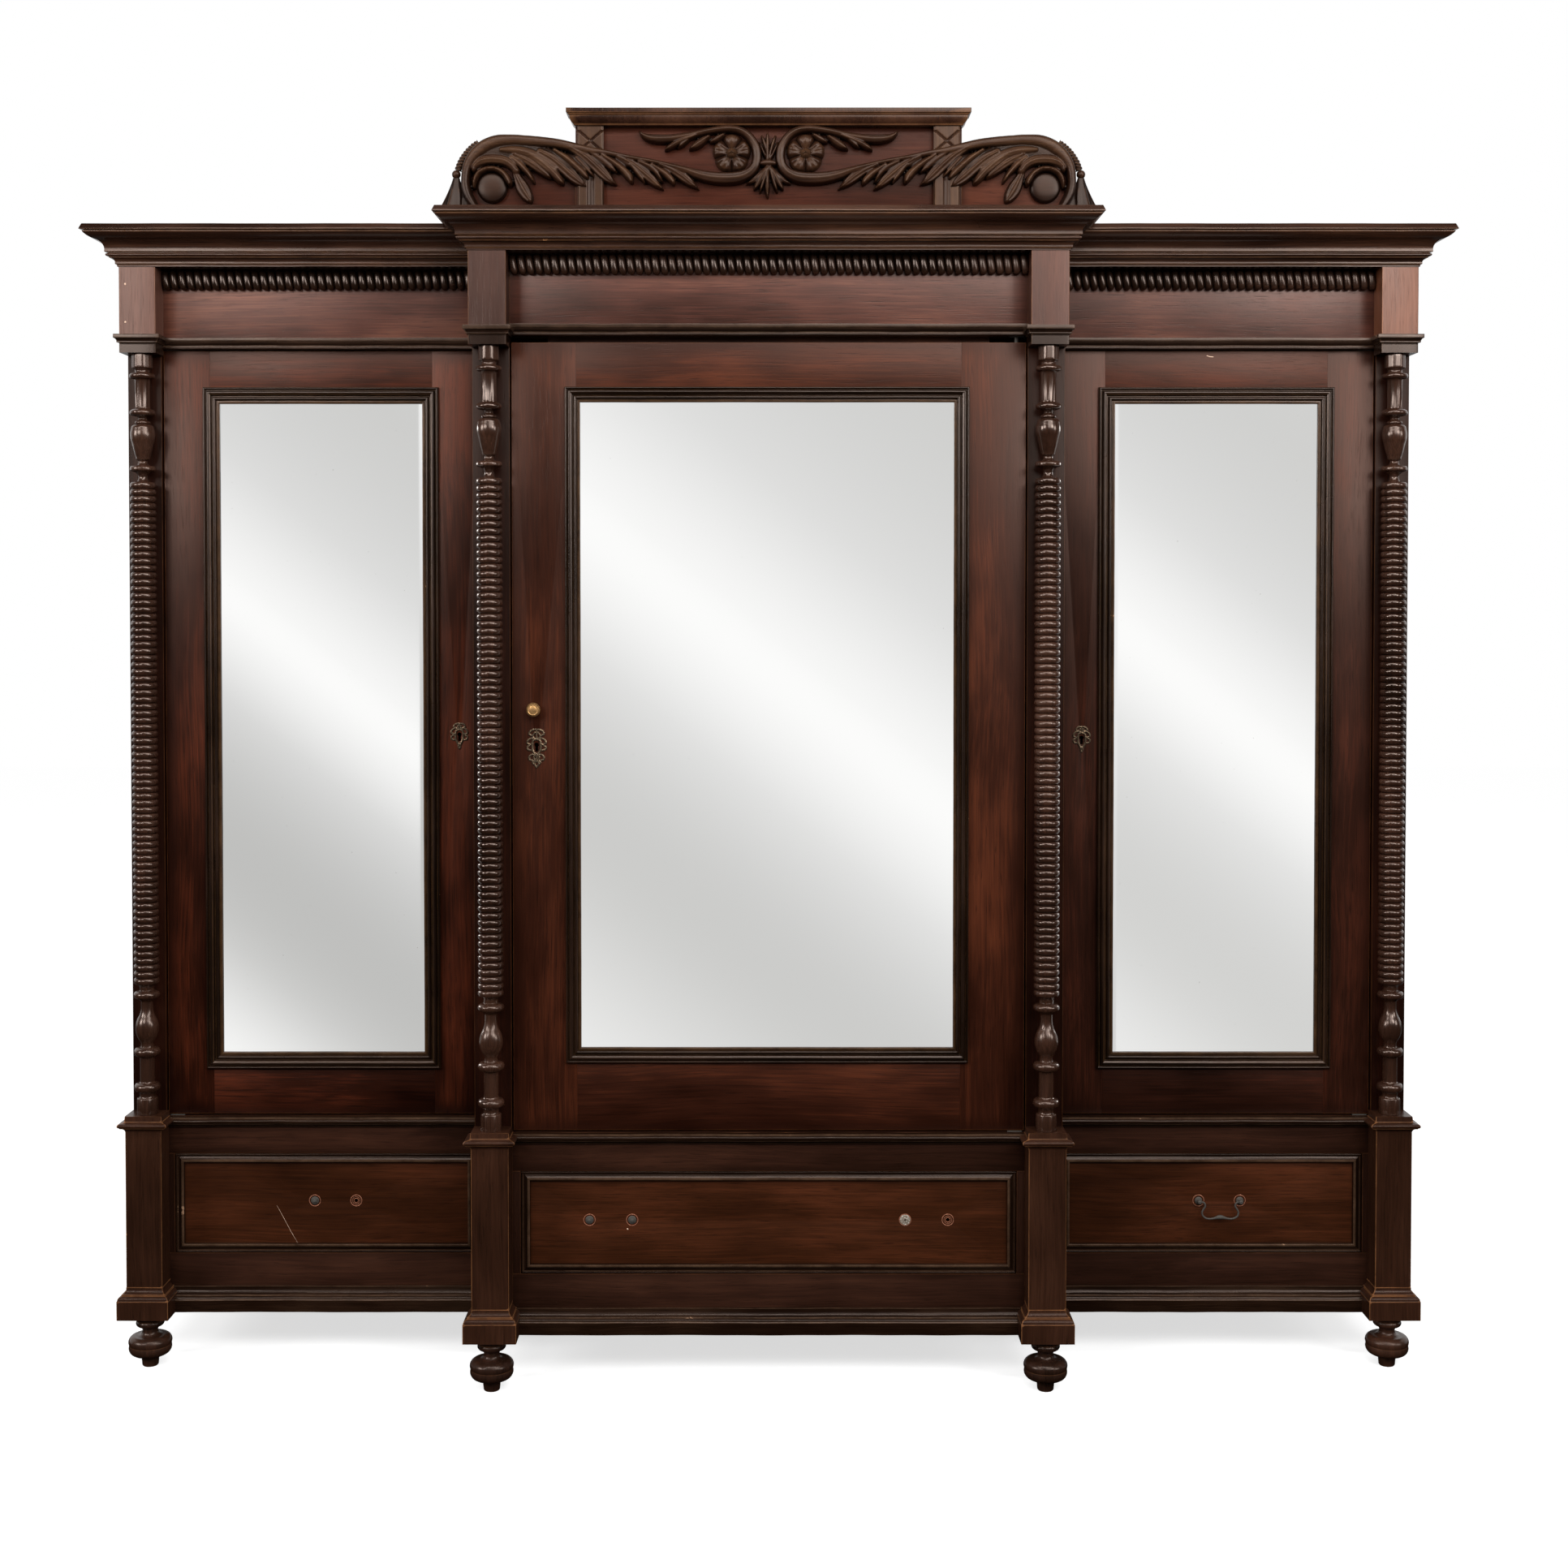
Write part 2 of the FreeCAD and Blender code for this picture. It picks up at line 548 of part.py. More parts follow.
COLUMN_FOOT_SHARES = [
    (0.93, 0), (0.93, 0.021), (0.68, 0.025), (0.66, 0.030), (0.80, 0.030), (1, 0.0345), (1, 0.0375),
    (0.80, 0.041), (0.57, 0.041), (0.57, 0.077), (0.80, 0.077), (1, 0.0815), (1, 0.0845), (0.80, 0.088),
    (0.50, 0.090), (0.50, 0.096), ((0.84, 0.108), (0.70, 0.128)), (0.53, 0.138), (0.48, 0.145),
    (0.52, 0.150), (0.70, 0.153), (0.98, 0.1565), (0.98, 0.1595), (0.70, 0.163), (0.60, 0.166),
    (0.74, 0.172)]
COLUMN_HEAD_SHARES = [
    (0.74, 0.832), (0.60, 0.838), (0.76, 0.840), (1, 0.845), (1, 0.849), (0.76, 0.854), (0.46, 0.858),
    ((0.60, 0.876), (0.84, 0.893)), ((0.86, 0.901), (0.55, 0.906)), (0.62, 0.908), (0.67, 0.9105),
    (0.62, 0.913), (0.74, 0.915), (1, 0.9195), (1, 0.9235), (0.74, 0.928), (0.56, 0.930), (0.56, 0.964),
    (0.78, 0.965), (1, 0.969), (1, 0.972), (0.78, 0.976), (0.70, 0.978), (0.71, 0.983), (0.83, 0.986),
    (0.83, 1)]


def column(x, y):
    """A turned column: foot, a long run of equal rings, and head."""
    radius, height = value("column_radius"), value("column_top - pedestal_top")
    steps = scaled_steps(COLUMN_FOOT_SHARES, radius, height)
    head = scaled_steps(COLUMN_HEAD_SHARES, radius, height)
    steps += ring_steps(steps[-1][1], head[0][1], value("column_bobbin_pitch"),
                        radius - value("column_groove"), value("column_groove"))
    return turned(steps + head[1:], FreeCAD.Vector(x, y, value("pedestal_top")), FreeCAD.Vector(0, 0, 1))


columns = []
for side, name in ((-1, "left"), (1, "right")):
    columns.append(shaped(f"{name} outer column", column(
        side * value("half_width - outer_column_inset"), value("side_front - column_forward"))))
    columns.append(shaped(f"{name} inner column", column(
        side * value("half_centre - inner_strip_width / 2"), value("centre_front - column_forward"))))
sub_part("turned_columns", columns)

# Bun feet. A share is (radius over the bun's radius, height over the foot's height).

FOOT_SHARES = [
    (0.37, 0), (0.42, 0.20), (0.66, 0.23), ((1, 0.42), (0.66, 0.60)), (0.45, 0.62),
    ((0.36, 0.70), (0.45, 0.78)), (0.58, 0.82), ((0.68, 0.86), (0.66, 0.91)), (0.66, 1)]
feet = []
foot_steps = scaled_steps(FOOT_SHARES, value("foot_radius"), value("foot_height"))
for side, name in ((-1, "left"), (1, "right")):
    outer = side * value("half_width - foot_inset")
    inner = side * value("half_centre - inner_strip_width / 2")
    places = ((outer, "side_front - foot_forward"), (inner, "centre_front - foot_forward"),
              (outer, "back_face - rear_foot_inset"), (inner, "back_face - rear_foot_inset"))
    for x, y in places:
        feet.append(shaped(f"{name} foot", turned(foot_steps, FreeCAD.Vector(x, value(y), 0),
                                                  FreeCAD.Vector(0, 0, 1))))
sub_part("bun_feet", feet)

# Cornice: mitred lengths with returns. A share is (projection, height).

CORNICE_SHARES = [
    (0.04, 0), (0.04, 0.06), ((0.13, 0.20), (0.27, 0.27)), (0.33, 0.27), (0.33, 0.33),
    ((0.42, 0.50), (0.62, 0.60)), ((0.85, 0.70), (0.93, 0.86)), (1, 0.86), (1, 1)]


def cornice_length(plan, face, direction, bottom):
    """A cornice section along one side of a plan shape, trimmed to that plan.

    direction is the way that the section projects from its face: -Y, -X or +X.
    """
    contour = scaled_steps(CORNICE_SHARES, value("cornice_projection"), value("cornice_height"))
    foot = value(bottom)
    inside = -value("block_projection")
    closed = [(inside, 0)] + contour + [(inside, contour[-1][1])]
    xs, ys = [point[0] for point in plan], [point[1] for point in plan]
    if direction == "front":
        start, sweep = min(xs), FreeCAD.Vector(max(xs) - min(xs), 0, 0)
        length = prism(closed, lambda out, up: FreeCAD.Vector(start, face - out, foot + up), sweep)
    else:
        sign = 1 if direction == "right" else -1
        start, sweep = min(ys), FreeCAD.Vector(0, max(ys) - min(ys), 0)
        length = prism(closed, lambda out, up: FreeCAD.Vector(face + sign * out, start, foot + up), sweep)
    column_of_plan = prism(plan, lambda x, y: FreeCAD.Vector(x, y, foot),
                           FreeCAD.Vector(0, 0, value("cornice_height")))
    return length.common(column_of_plan)


projection = value("cornice_projection")
half, centre_half = value("half_width"), value("half_centre")
side_face, centre_face = value("side_front - block_projection"), value("centre_front - block_projection")
cornices = []
side_lengths = {}
for side, name in ((-1, "left"), (1, "right")):
    front_plan = [(side * half, value("side_front")), (side * half, side_face),
                  (side * (half + projection), side_face - projection),
                  (side * centre_half, side_face - projection), (side * centre_half, value("side_front"))]
    side_lengths[name] = cornice_length(front_plan, side_face, "front", "cornice_bottom")
    return_plan = [(side * half, side_face), (side * (half + projection), side_face - projection),
                   (side * (half + projection), value("back_face")), (side * half, value("back_face"))]
    cornices.append(shaped(f"{name} cornice", side_lengths[name]))
    cornices.append(shaped(f"{name} cornice return",
                           cornice_length(return_plan, side * half, name, "cornice_bottom")))
middle_plan = [(-centre_half, value("centre_front")), (-centre_half, centre_face),
               (-centre_half - projection, centre_face - projection),
               (centre_half + projection, centre_face - projection),
               (centre_half, centre_face), (centre_half, value("centre_front"))]
cornices.append(shaped("centre cornice",
                       cornice_length(middle_plan, centre_face, "front", "centre_cornice_bottom")))
for side, name in ((-1, "left"), (1, "right")):
    return_plan = [(side * centre_half, centre_face),
                   (side * (centre_half + projection), centre_face - projection),
                   (side * (centre_half + projection), side_face), (side * centre_half, side_face)]
    length = cornice_length(return_plan, side * centre_half, name, "centre_cornice_bottom")
    cornices.append(shaped(f"{name} inner return", length.cut(side_lengths[name])))
sub_part("cornice_mouldings", cornices)

# Crest. A share is (distance from the middle over half the crest's width, height over its height).

SCROLL_TOP_SHARES = [
    (0.982, 0), (0.966, 0.22), (0.946, 0.46), (0.905, 0.66), (0.832, 0.754), (0.762, 0.76), (0.695, 0.733),
    (0.600, 0.68), (0.491, 0.615), (0.354, 0.513), (0.220, 0.43), (0.150, 0.396), (0.082, 0.396),
    (0.043, 0.465), (0.032, 0.572), (0.043, 0.70), (0.080, 0.775), (0.134, 0.765), (0.196, 0.70),
    (0.268, 0.684), (0.339, 0.70), (0.402, 0.791)]
SCROLL_FOOT_SHARES = [
    (0.402, 0.791), (0.323, 0.775), (0.246, 0.781), (0.170, 0.815), (0.107, 0.835), (0.059, 0.81),
    (0.018, 0.733), (0.004, 0.572), (0.011, 0.433), (0.043, 0.348), (0.114, 0.294), (0.221, 0.267),
    (0.334, 0.267), (0.475, 0.305), (0.573, 0.283), (0.725, 0.31), (0.786, 0.166), (0.830, 0.13), (0.90, 0)]
VOLUTE_SHARE = (0.862, 0.272)
ROSETTE_SHARE = (0.114, 0.583)
ROSETTE_EYE_SHARE = 0.24
PETAL_RING_SHARE = 0.62
PETAL_THICKNESS_SHARE = 0.6
PALMETTE_SHARES = {"upper": [(0, 0.545), (0.018, 0.60), (0.030, 0.83), (0, 0.84)],
                   "lower": [(0, 0.16), (0.026, 0.24), (0.062, 0.33), (0.020, 0.43), (0, 0.44)]}
# A wing's shares run from the edge of the middle board to the crest's half width
WING_SHARES = [(0.936, 0), (0.872, 0.25), (0.821, 0.46), (0.719, 0.64), (0.565, 0.72), (0.391, 0.725),
               (0.220, 0.70), (0, 0.66)]


def crest_point(share, side, y, inner=0):
    """A point of the crest from its share, counted across from an inner edge."""
    across = inner + share[0] * (value("crest_half_width") - inner)
    return FreeCAD.Vector(side * across, y, value("centre_cornice_top") + share[1] * value("crest_height"))


def spline_edge(shares, side, y, inner=0):
    """A smooth edge through share points of the crest."""
    points = [crest_point(share, side, y, inner) for share in shares]
    curve = Part.BSplineCurve()
    curve.interpolate(points)
    return curve.toShape()


def flat_carving(edges, thickness):
    """A flat shape inside a loop of edges, standing forward of the crest board."""
    wire = Part.Wire(Part.__sortEdges__(edges))
    return Part.Face(wire).extrude(FreeCAD.Vector(0, -thickness, 0))


crest_pilasters = []
for side, name in ((-1, "left"), (1, "right")):
    edge = "crest_middle_half_width - crest_pilaster_inset"
    crest_pilasters.append(board(f"{name} crest pilaster",
                                 mirrored(f"{edge} - crest_pilaster_width", edge, side),
                                 ("crest_front - crest_pilaster_thickness", "crest_front"),
                                 ("centre_cornice_top", "crest_cap_bottom")))
sub_part("crest_pilasters", crest_pilasters)

crest_front = value("crest_front")
wings, scrolls = [], []
for side, name in ((-1, "left"), (1, "right")):
    top = spline_edge(SCROLL_TOP_SHARES, side, crest_front)
    foot = spline_edge(SCROLL_FOOT_SHARES, side, crest_front)
    ends = (foot.Vertexes[-1].Point, top.Vertexes[0].Point)
    scroll = flat_carving([top, foot, Part.LineSegment(*ends).toShape()], value("scroll_thickness"))
    volute = Part.makeCylinder(value("volute_radius"), value("scroll_thickness + volute_stand"),
                               crest_point(VOLUTE_SHARE, side, crest_front), FreeCAD.Vector(0, -1, 0))
    whole = shaped(f"{name} whole scroll", scroll.fuse(volute).removeSplitter())
    scrolls.append(cut(f"{name} scroll", whole, crest_pilasters[0 if side < 0 else 1]))
    wing_top = spline_edge(WING_SHARES, side, value("crest_back"), value("crest_middle_half_width"))
    outer, inner = wing_top.Vertexes[0].Point, wing_top.Vertexes[-1].Point
    corner = FreeCAD.Vector(inner.x, inner.y, outer.z)
    wing_edges = [wing_top, Part.LineSegment(inner, corner).toShape(),
                  Part.LineSegment(corner, outer).toShape()]
    wings.append(shaped(f"{name} wing", flat_carving(wing_edges, value("crest_thickness"))))

crest_middle = board("crest middle", ("-crest_middle_half_width", "crest_middle_half_width"),
                     ("crest_front", "crest_back"), ("centre_cornice_top", "crest_cap_bottom"))
braces = []
for side, name in ((-1, "left"), (1, "right")):
    span = mirrored("crest_middle_half_width / 2", "crest_middle_half_width / 2 + brace_width", side)
    low, high = (value(text) for text in span)
    rear = value("crest_back")
    foot = value("centre_cornice_top")
    outline = [(rear, foot), (rear + value("brace_depth"), foot), (rear, foot + value("brace_height"))]
    braces.append(shaped(f"{name} brace", prism(outline, lambda y, z: FreeCAD.Vector(low, y, z),
                                                FreeCAD.Vector(high - low, 0, 0))))
sub_part("crest_board", [crest_middle] + wings + braces)
sub_part("crest_scrolls", scrolls)
document.recompute()


def clear_of_scrolls(carving):
    """The carving, less what the two scrolls already fill."""
    for scroll in scrolls:
        carving = carving.cut(scroll.Shape)
    return max(carving.Solids, key=lambda solid: solid.Volume)


rosette_pieces = []
thickness = value("rosette_carving_thickness")
for side, name in ((-1, "left"), (1, "right")):
    radius = value("rosette_carving_radius")
    centre = crest_point(ROSETTE_SHARE, side, crest_front)
    flower = Part.makeCylinder(radius * ROSETTE_EYE_SHARE, thickness, centre, FreeCAD.Vector(0, -1, 0))
    for petal in range(5):
        angle = math.radians(72 * petal + 90)
        reach = radius * PETAL_RING_SHARE
        place = centre + FreeCAD.Vector(reach * math.cos(angle), 0, reach * math.sin(angle))
        flower = flower.fuse(Part.makeCylinder(radius - reach, thickness * PETAL_THICKNESS_SHARE, place,
                                               FreeCAD.Vector(0, -1, 0)))
    rosette_pieces.append(shaped(f"{name} rosette", clear_of_scrolls(flower.removeSplitter())))
for name, shares in PALMETTE_SHARES.items():
    right = [crest_point(share, 1, crest_front) for share in shares]
    left = [crest_point(share, -1, crest_front) for share in shares[-2:0:-1]]
    outline = Part.makePolygon(right + left + [right[0]])
    palmette = Part.Face(outline).extrude(FreeCAD.Vector(0, -thickness, 0))
    rosette_pieces.append(shaped(f"{name} palmette", clear_of_scrolls(palmette)))
sub_part("crest_rosettes_and_palmettes", rosette_pieces)

CAP_SHARES = [(0.05, 0), (0.22, 0.10), ((0.5, 0.25), (0.68, 0.62)), (1, 0.66), (1, 1)]
cap_side = value("crest_cap_overhang")
cap_steps = scaled_steps(CAP_SHARES, cap_side, value("crest_cap_height"), value("crest_cap_bottom"))
sub_part("crest_cap", [shaped("crest cap", moulded_block(
    -value("crest_middle_half_width"), value("crest_middle_half_width"),
    value("crest_front - crest_cap_forward") + cap_side, value("crest_back"), cap_steps))])

# Doors. Each turns on a pin at its top and bottom, near one edge and just behind its face.

DOORS = {
    "left": {"x": ("-side_door_outer", "-side_door_inner"), "face": "side_door_face", "hinge": -1,
             "frieze": "frieze_bottom", "top": "side_top_margin", "bottom": "side_bottom_margin",
             "margins": ("side_hinge_margin", "side_latch_margin"), "moulding": "side_moulding_width",
             "plate": ("side_escutcheon_width", "side_escutcheon_height")},
    "centre": {"x": ("-centre_door_edge", "centre_door_edge"), "face": "centre_door_face", "hinge": 1,
               "frieze": "centre_frieze_bottom", "top": "centre_top_margin", "bottom": "centre_bottom_margin",
               "margins": ("centre_side_margin", "centre_side_margin"), "moulding": "centre_moulding_width",
               "plate": ("centre_escutcheon_width", "centre_escutcheon_height")},
    "right": {"x": ("side_door_inner", "side_door_outer"), "face": "side_door_face", "hinge": 1,
              "frieze": "frieze_bottom", "top": "side_top_margin", "bottom": "side_bottom_margin",
              "margins": ("side_latch_margin", "side_hinge_margin"), "moulding": "side_moulding_width",
              "plate": ("side_escutcheon_width", "side_escutcheon_height")},
}
DOOR_MOULDING_SHARES = [
    (0, 0), (0, 0.62), ((0.07, 0.95), (0.16, 0.78)), (0.20, 0.66), ((0.42, 0.98), (0.62, 0.62)),
    ((0.72, 0.5), (0.84, 0.52)), (0.84, 0.66), ((0.92, 0.74), (1, 0.60)), (1, 0)]
ESCUTCHEON_SHARES = [(0, 0.5), (0.30, 0.40), (0.22, 0.30), (0.50, 0.22), (0.42, 0.05), (0.50, -0.12),
                     (0.28, -0.24), (0.20, -0.38), (0, -0.5)]
pivot_pins, door_stops, strikes = [], [], []


def keyhole_tool(name, x, y_low, y_high):
    """The hole for a key: a round hole with a slot under it, right through a span of Y."""
    height = f"{name}_keyhole_height"
    top = rod("keyhole round", "keyhole_radius", f"({y_high}) - ({y_low})", (x, y_low, height), "y")
    slot = board("keyhole slot", (f"{x} - keyhole_slot / 2", f"{x} + keyhole_slot / 2"), (y_low, y_high),
                 (f"{height} - keyhole_drop", height))
    return fuse("keyhole", top, slot)


def escutcheon(name, x, door):
    """A pierced plate with a lobed outline round the keyhole."""
    wide, tall = value(door["plate"][0]), value(door["plate"][1])
    middle = value(f"{name}_keyhole_height - keyhole_drop / 3")
    face = value(door["face"])
    centre = value(x)
    right = [FreeCAD.Vector(centre + across * wide, face, middle + up * tall)
             for across, up in ESCUTCHEON_SHARES]
    left = [FreeCAD.Vector(2 * centre - point.x, point.y, point.z) for point in right]
    curves = []
    for points in (right, left[::-1]):
        curve = Part.BSplineCurve()
        curve.interpolate(points)
        curves.append(curve.toShape())
    plate = Part.Face(Part.Wire(curves)).extrude(FreeCAD.Vector(0, -value("escutcheon_thickness"), 0))
    return shaped("escutcheon plate", plate)


for name, door in DOORS.items():
    low, high = door["x"]
    face = door["face"]
    rear = f"{face} + door_thickness"
    depth = (face, rear)
    first, second = door["margins"]
    hinge_x = f"{high} - pivot_inset" if door["hinge"] > 0 else f"{low} + pivot_inset"
    pivot_y = f"{face} + pivot_setback"
    latch_sign = -door["hinge"]
    latch_edge = low if latch_sign < 0 else high
    key_x = f"{latch_edge} - {latch_sign} * {name}_backset"
    opening_x = (f"{low} + {first} + moulding_lap", f"{high} - {second} - moulding_lap")
    opening_z = (f"door_bottom + {door['bottom']} + moulding_lap", f"door_top - {door['top']} - moulding_lap")

    stiles = {"first": (low, opening_x[0]), "second": (opening_x[1], high)}
    frame = []
    for stile_name, span in stiles.items():
        stile = board(f"{name} {stile_name} stile", span, depth, ("door_bottom", "door_top"))
        if (stile_name == "second") == (door["hinge"] > 0):
            for bore_z in ("door_bottom - cut_overrun", "door_top - socket_depth"):
                bore = rod("socket bore", "socket_radius", "socket_depth + cut_overrun",
                           (hinge_x, pivot_y, bore_z))
                stile = cut(f"{name} hinge stile", stile, bore)
        else:
            hole = keyhole_tool(name, key_x, f"{face} - cut_overrun", f"{rear} + cut_overrun")
            stile = cut(f"{name} latch stile", stile, hole)
        frame.append(stile)
    frame.append(board(f"{name} bottom rail", opening_x, depth, ("door_bottom", opening_z[0])))
    frame.append(board(f"{name} top rail", opening_x, depth, (opening_z[1], "door_top")))
    frame.append(board(f"{name} backing", opening_x,
                       (f"{face} + mirror_thickness", f"{face} + mirror_thickness + mirror_backing"),
                       opening_z))
    sub_part(f"{name}_door_frame", frame)

    sub_part(f"{name}_door_mirror", [board(f"{name} mirror", opening_x, (face, f"{face} + mirror_thickness"),
                                           opening_z)])
    width = value(door["moulding"])
    profile = scaled_steps(DOOR_MOULDING_SHARES, width, value("door_moulding_thickness"))
    lengths = mitred_frame(value(f"{low} + {first}"), value(f"{high} - {second}"),
                           value(f"door_bottom + {door['bottom']}"), value(f"door_top - {door['top']}"),
                           value(face), width, profile)
    sub_part(f"{name}_door_moulding", [shaped(f"{name} moulding length", length) for length in lengths])

    sockets = []
    for place in ("door_bottom", "door_top - socket_depth"):
        sleeve = rod("sleeve", "socket_radius", "socket_depth", (hinge_x, pivot_y, place))
        bore = rod("sleeve bore", "pin_radius + pin_clearance", "socket_depth + 2 * cut_overrun",
                   (hinge_x, pivot_y, f"{place} - cut_overrun"))
        sockets.append(cut(f"{name} socket", sleeve, bore))
    sub_part(f"{name}_door_pivot_sockets", sockets)

    plates = (("floor_top", "floor_top + pivot_plate", "door_bottom + pin_length"),
              (f"{door['frieze']} - pivot_plate", door["frieze"], "door_top - pin_length"))
    for plate_low, plate_high, pin_end in plates:
        plate = board("pivot plate",
                      (f"{hinge_x} - pivot_plate_length / 2", f"{hinge_x} + pivot_plate_length / 2"),
                      (f"{pivot_y} - pivot_plate_width / 2", f"{pivot_y} + pivot_plate_width / 2"),
                      (plate_low, plate_high))
        pin_low, pin_high = (plate_low, pin_end) if plate_low == "floor_top" else (pin_end, plate_high)
        pin = rod("pivot pin", "pin_radius", f"({pin_high}) - ({pin_low})", (hinge_x, pivot_y, pin_low))
        pivot_pins.append(fuse(f"{name} pivot", plate, pin))

    lock_x = mirrored(f"{latch_sign} * ({latch_edge}) - lock_length", f"{latch_sign} * ({latch_edge})",
                      latch_sign)
    lock_y = (rear, f"{rear} + lock_thickness")
    key_z = f"{name}_keyhole_height"
    bolt_z = f"{key_z} + bolt_lift"
    bolt_y = f"{rear} + lock_thickness / 2"
    case = board(f"{name} lock case", lock_x, lock_y,
                 (f"{key_z} - lock_height / 2", f"{key_z} + lock_height / 2"))
    channel = board("bolt channel",
                    mirrored(f"{latch_sign} * ({latch_edge}) - bolt_length - bolt_clearance",
                             f"{latch_sign} * ({latch_edge}) + cut_overrun", latch_sign),
                    (f"{bolt_y} - bolt_thickness / 2 - bolt_clearance",
                     f"{bolt_y} + bolt_thickness / 2 + bolt_clearance"),
                    (f"{bolt_z} - bolt_height / 2 - bolt_clearance",
                     f"{bolt_z} + bolt_height / 2 + bolt_clearance"))
    channelled = cut(f"{name} channelled case", case, channel)
    key_tool = keyhole_tool(name, key_x, f"{rear} - cut_overrun", f"{rear} + key_depth")
    sub_part(f"{name}_door_lock", [cut(f"{name} lock", channelled, key_tool)])
    sub_part(f"{name}_door_lock_bolt", [board(
        f"{name} bolt",
        mirrored(f"{latch_sign} * ({latch_edge}) - bolt_length", f"{latch_sign} * ({latch_edge})", latch_sign),
        (f"{bolt_y} - bolt_thickness / 2", f"{bolt_y} + bolt_thickness / 2"),
        (f"{bolt_z} - bolt_height / 2", f"{bolt_z} + bolt_height / 2"))])
    plate_hole = keyhole_tool(name, key_x, f"{face} - escutcheon_thickness - cut_overrun",
                              f"{face} + cut_overrun")
    sub_part(f"{name}_door_escutcheon",
             [cut(f"{name} escutcheon", escutcheon(name, key_x, door), plate_hole)])

    stop_z = (f"{door['frieze']} - stop_height", door["frieze"])
    if name == "centre":
        stop_z = (f"{door['frieze']} - stop_height - centre_rise", door["frieze"])
    door_stops.append(board(f"{name} door stop", (f"{low} + lock_length", f"{high} - lock_length"),
                            (f"{rear} + stop_gap", f"{rear} + stop_gap + stop_depth"), stop_z))

    if name == "centre":
        block = board("keeper block", ("-inner_strip_edge - runner_width", "-inner_strip_edge"),
                      ("centre_front + front_thickness", f"{bolt_y} + bolt_thickness / 2 + keeper_thickness"),
                      (f"{bolt_z} - lock_height / 3", f"{bolt_z} + lock_height / 3"))
        slot = board("keeper slot",
                     ("-inner_strip_edge - bolt_throw - bolt_clearance", "-inner_strip_edge + cut_overrun"),
                     (f"{bolt_y} - bolt_thickness / 2 - bolt_clearance",
                      f"{bolt_y} + bolt_thickness / 2 + bolt_clearance"),
                     (f"{bolt_z} - bolt_height / 2 - bolt_clearance",
                      f"{bolt_z} + bolt_height / 2 + bolt_clearance"))
        strikes.append(cut("bolt keeper", block, slot))
sub_part("pivot_pins", pivot_pins)
sub_part("door_stops_and_keeper", door_stops + strikes)

KNOB_SHARES = [(0.75, 0), (0.75, 0.08), ((0.45, 0.16), (0.40, 0.34)), (0.48, 0.44),
               ((1.0, 0.66), (0.74, 0.92)), (0.5, 1)]
knob_steps = scaled_steps(KNOB_SHARES, value("knob_radius"), value("knob_length"))
knob_place = FreeCAD.Vector(value("knob_inset - centre_door_edge"), value("centre_door_face"),
                            value("knob_height"))
knob = turned(knob_steps, FreeCAD.Vector(0, 0, 0), FreeCAD.Vector(0, 0, 1))
knob_feature = shaped("centre_door_knob", knob)
knob_feature.Placement = FreeCAD.Placement(knob_place, FreeCAD.Rotation(FreeCAD.Vector(1, 0, 0), 90))
sub_part("centre_door_knob", [knob_feature])

# Drawers. Each runs on a pair of runners and slides out to the front.

DRAWERS = {
    "left": {"x": ("-side_drawer_outer", "-side_drawer_inner"), "face": "side_front + drawer_setback",
             "depth": "side_drawer_depth", "walls": ("-side_inner_face", "-half_centre"),
             "holes": ("-(left_handle_centre - handle_spacing / 2)",
                       "-(left_handle_centre + handle_spacing / 2)")},
    "centre": {"x": ("-centre_drawer_edge", "centre_drawer_edge"), "face": "centre_front + drawer_setback",
               "depth": "centre_drawer_depth", "walls": ("-partition_inner_face", "partition_inner_face"),
               "holes": ("-centre_handle_offset - handle_spacing / 2",
                         "-centre_handle_offset + handle_spacing / 2",
                         "centre_handle_offset - handle_spacing / 2",
                         "centre_handle_offset + handle_spacing / 2")},
    "right": {"x": ("side_drawer_inner", "side_drawer_outer"), "face": "side_front + drawer_setback",
              "depth": "side_drawer_depth", "walls": ("half_centre", "side_inner_face"),
              "holes": ("right_handle_centre - handle_spacing / 2",
                        "right_handle_centre + handle_spacing / 2")},
}
DRAWER_MOULDING_SHARES = [(0, 0), (0, 0.8), ((0.12, 1), (0.25, 0.8)), (0.25, 0.66),
                          ((0.5, 0.9), (0.72, 0.55)), (0.72, 0.4), (1, 0.18), (1, 0)]
runners = []
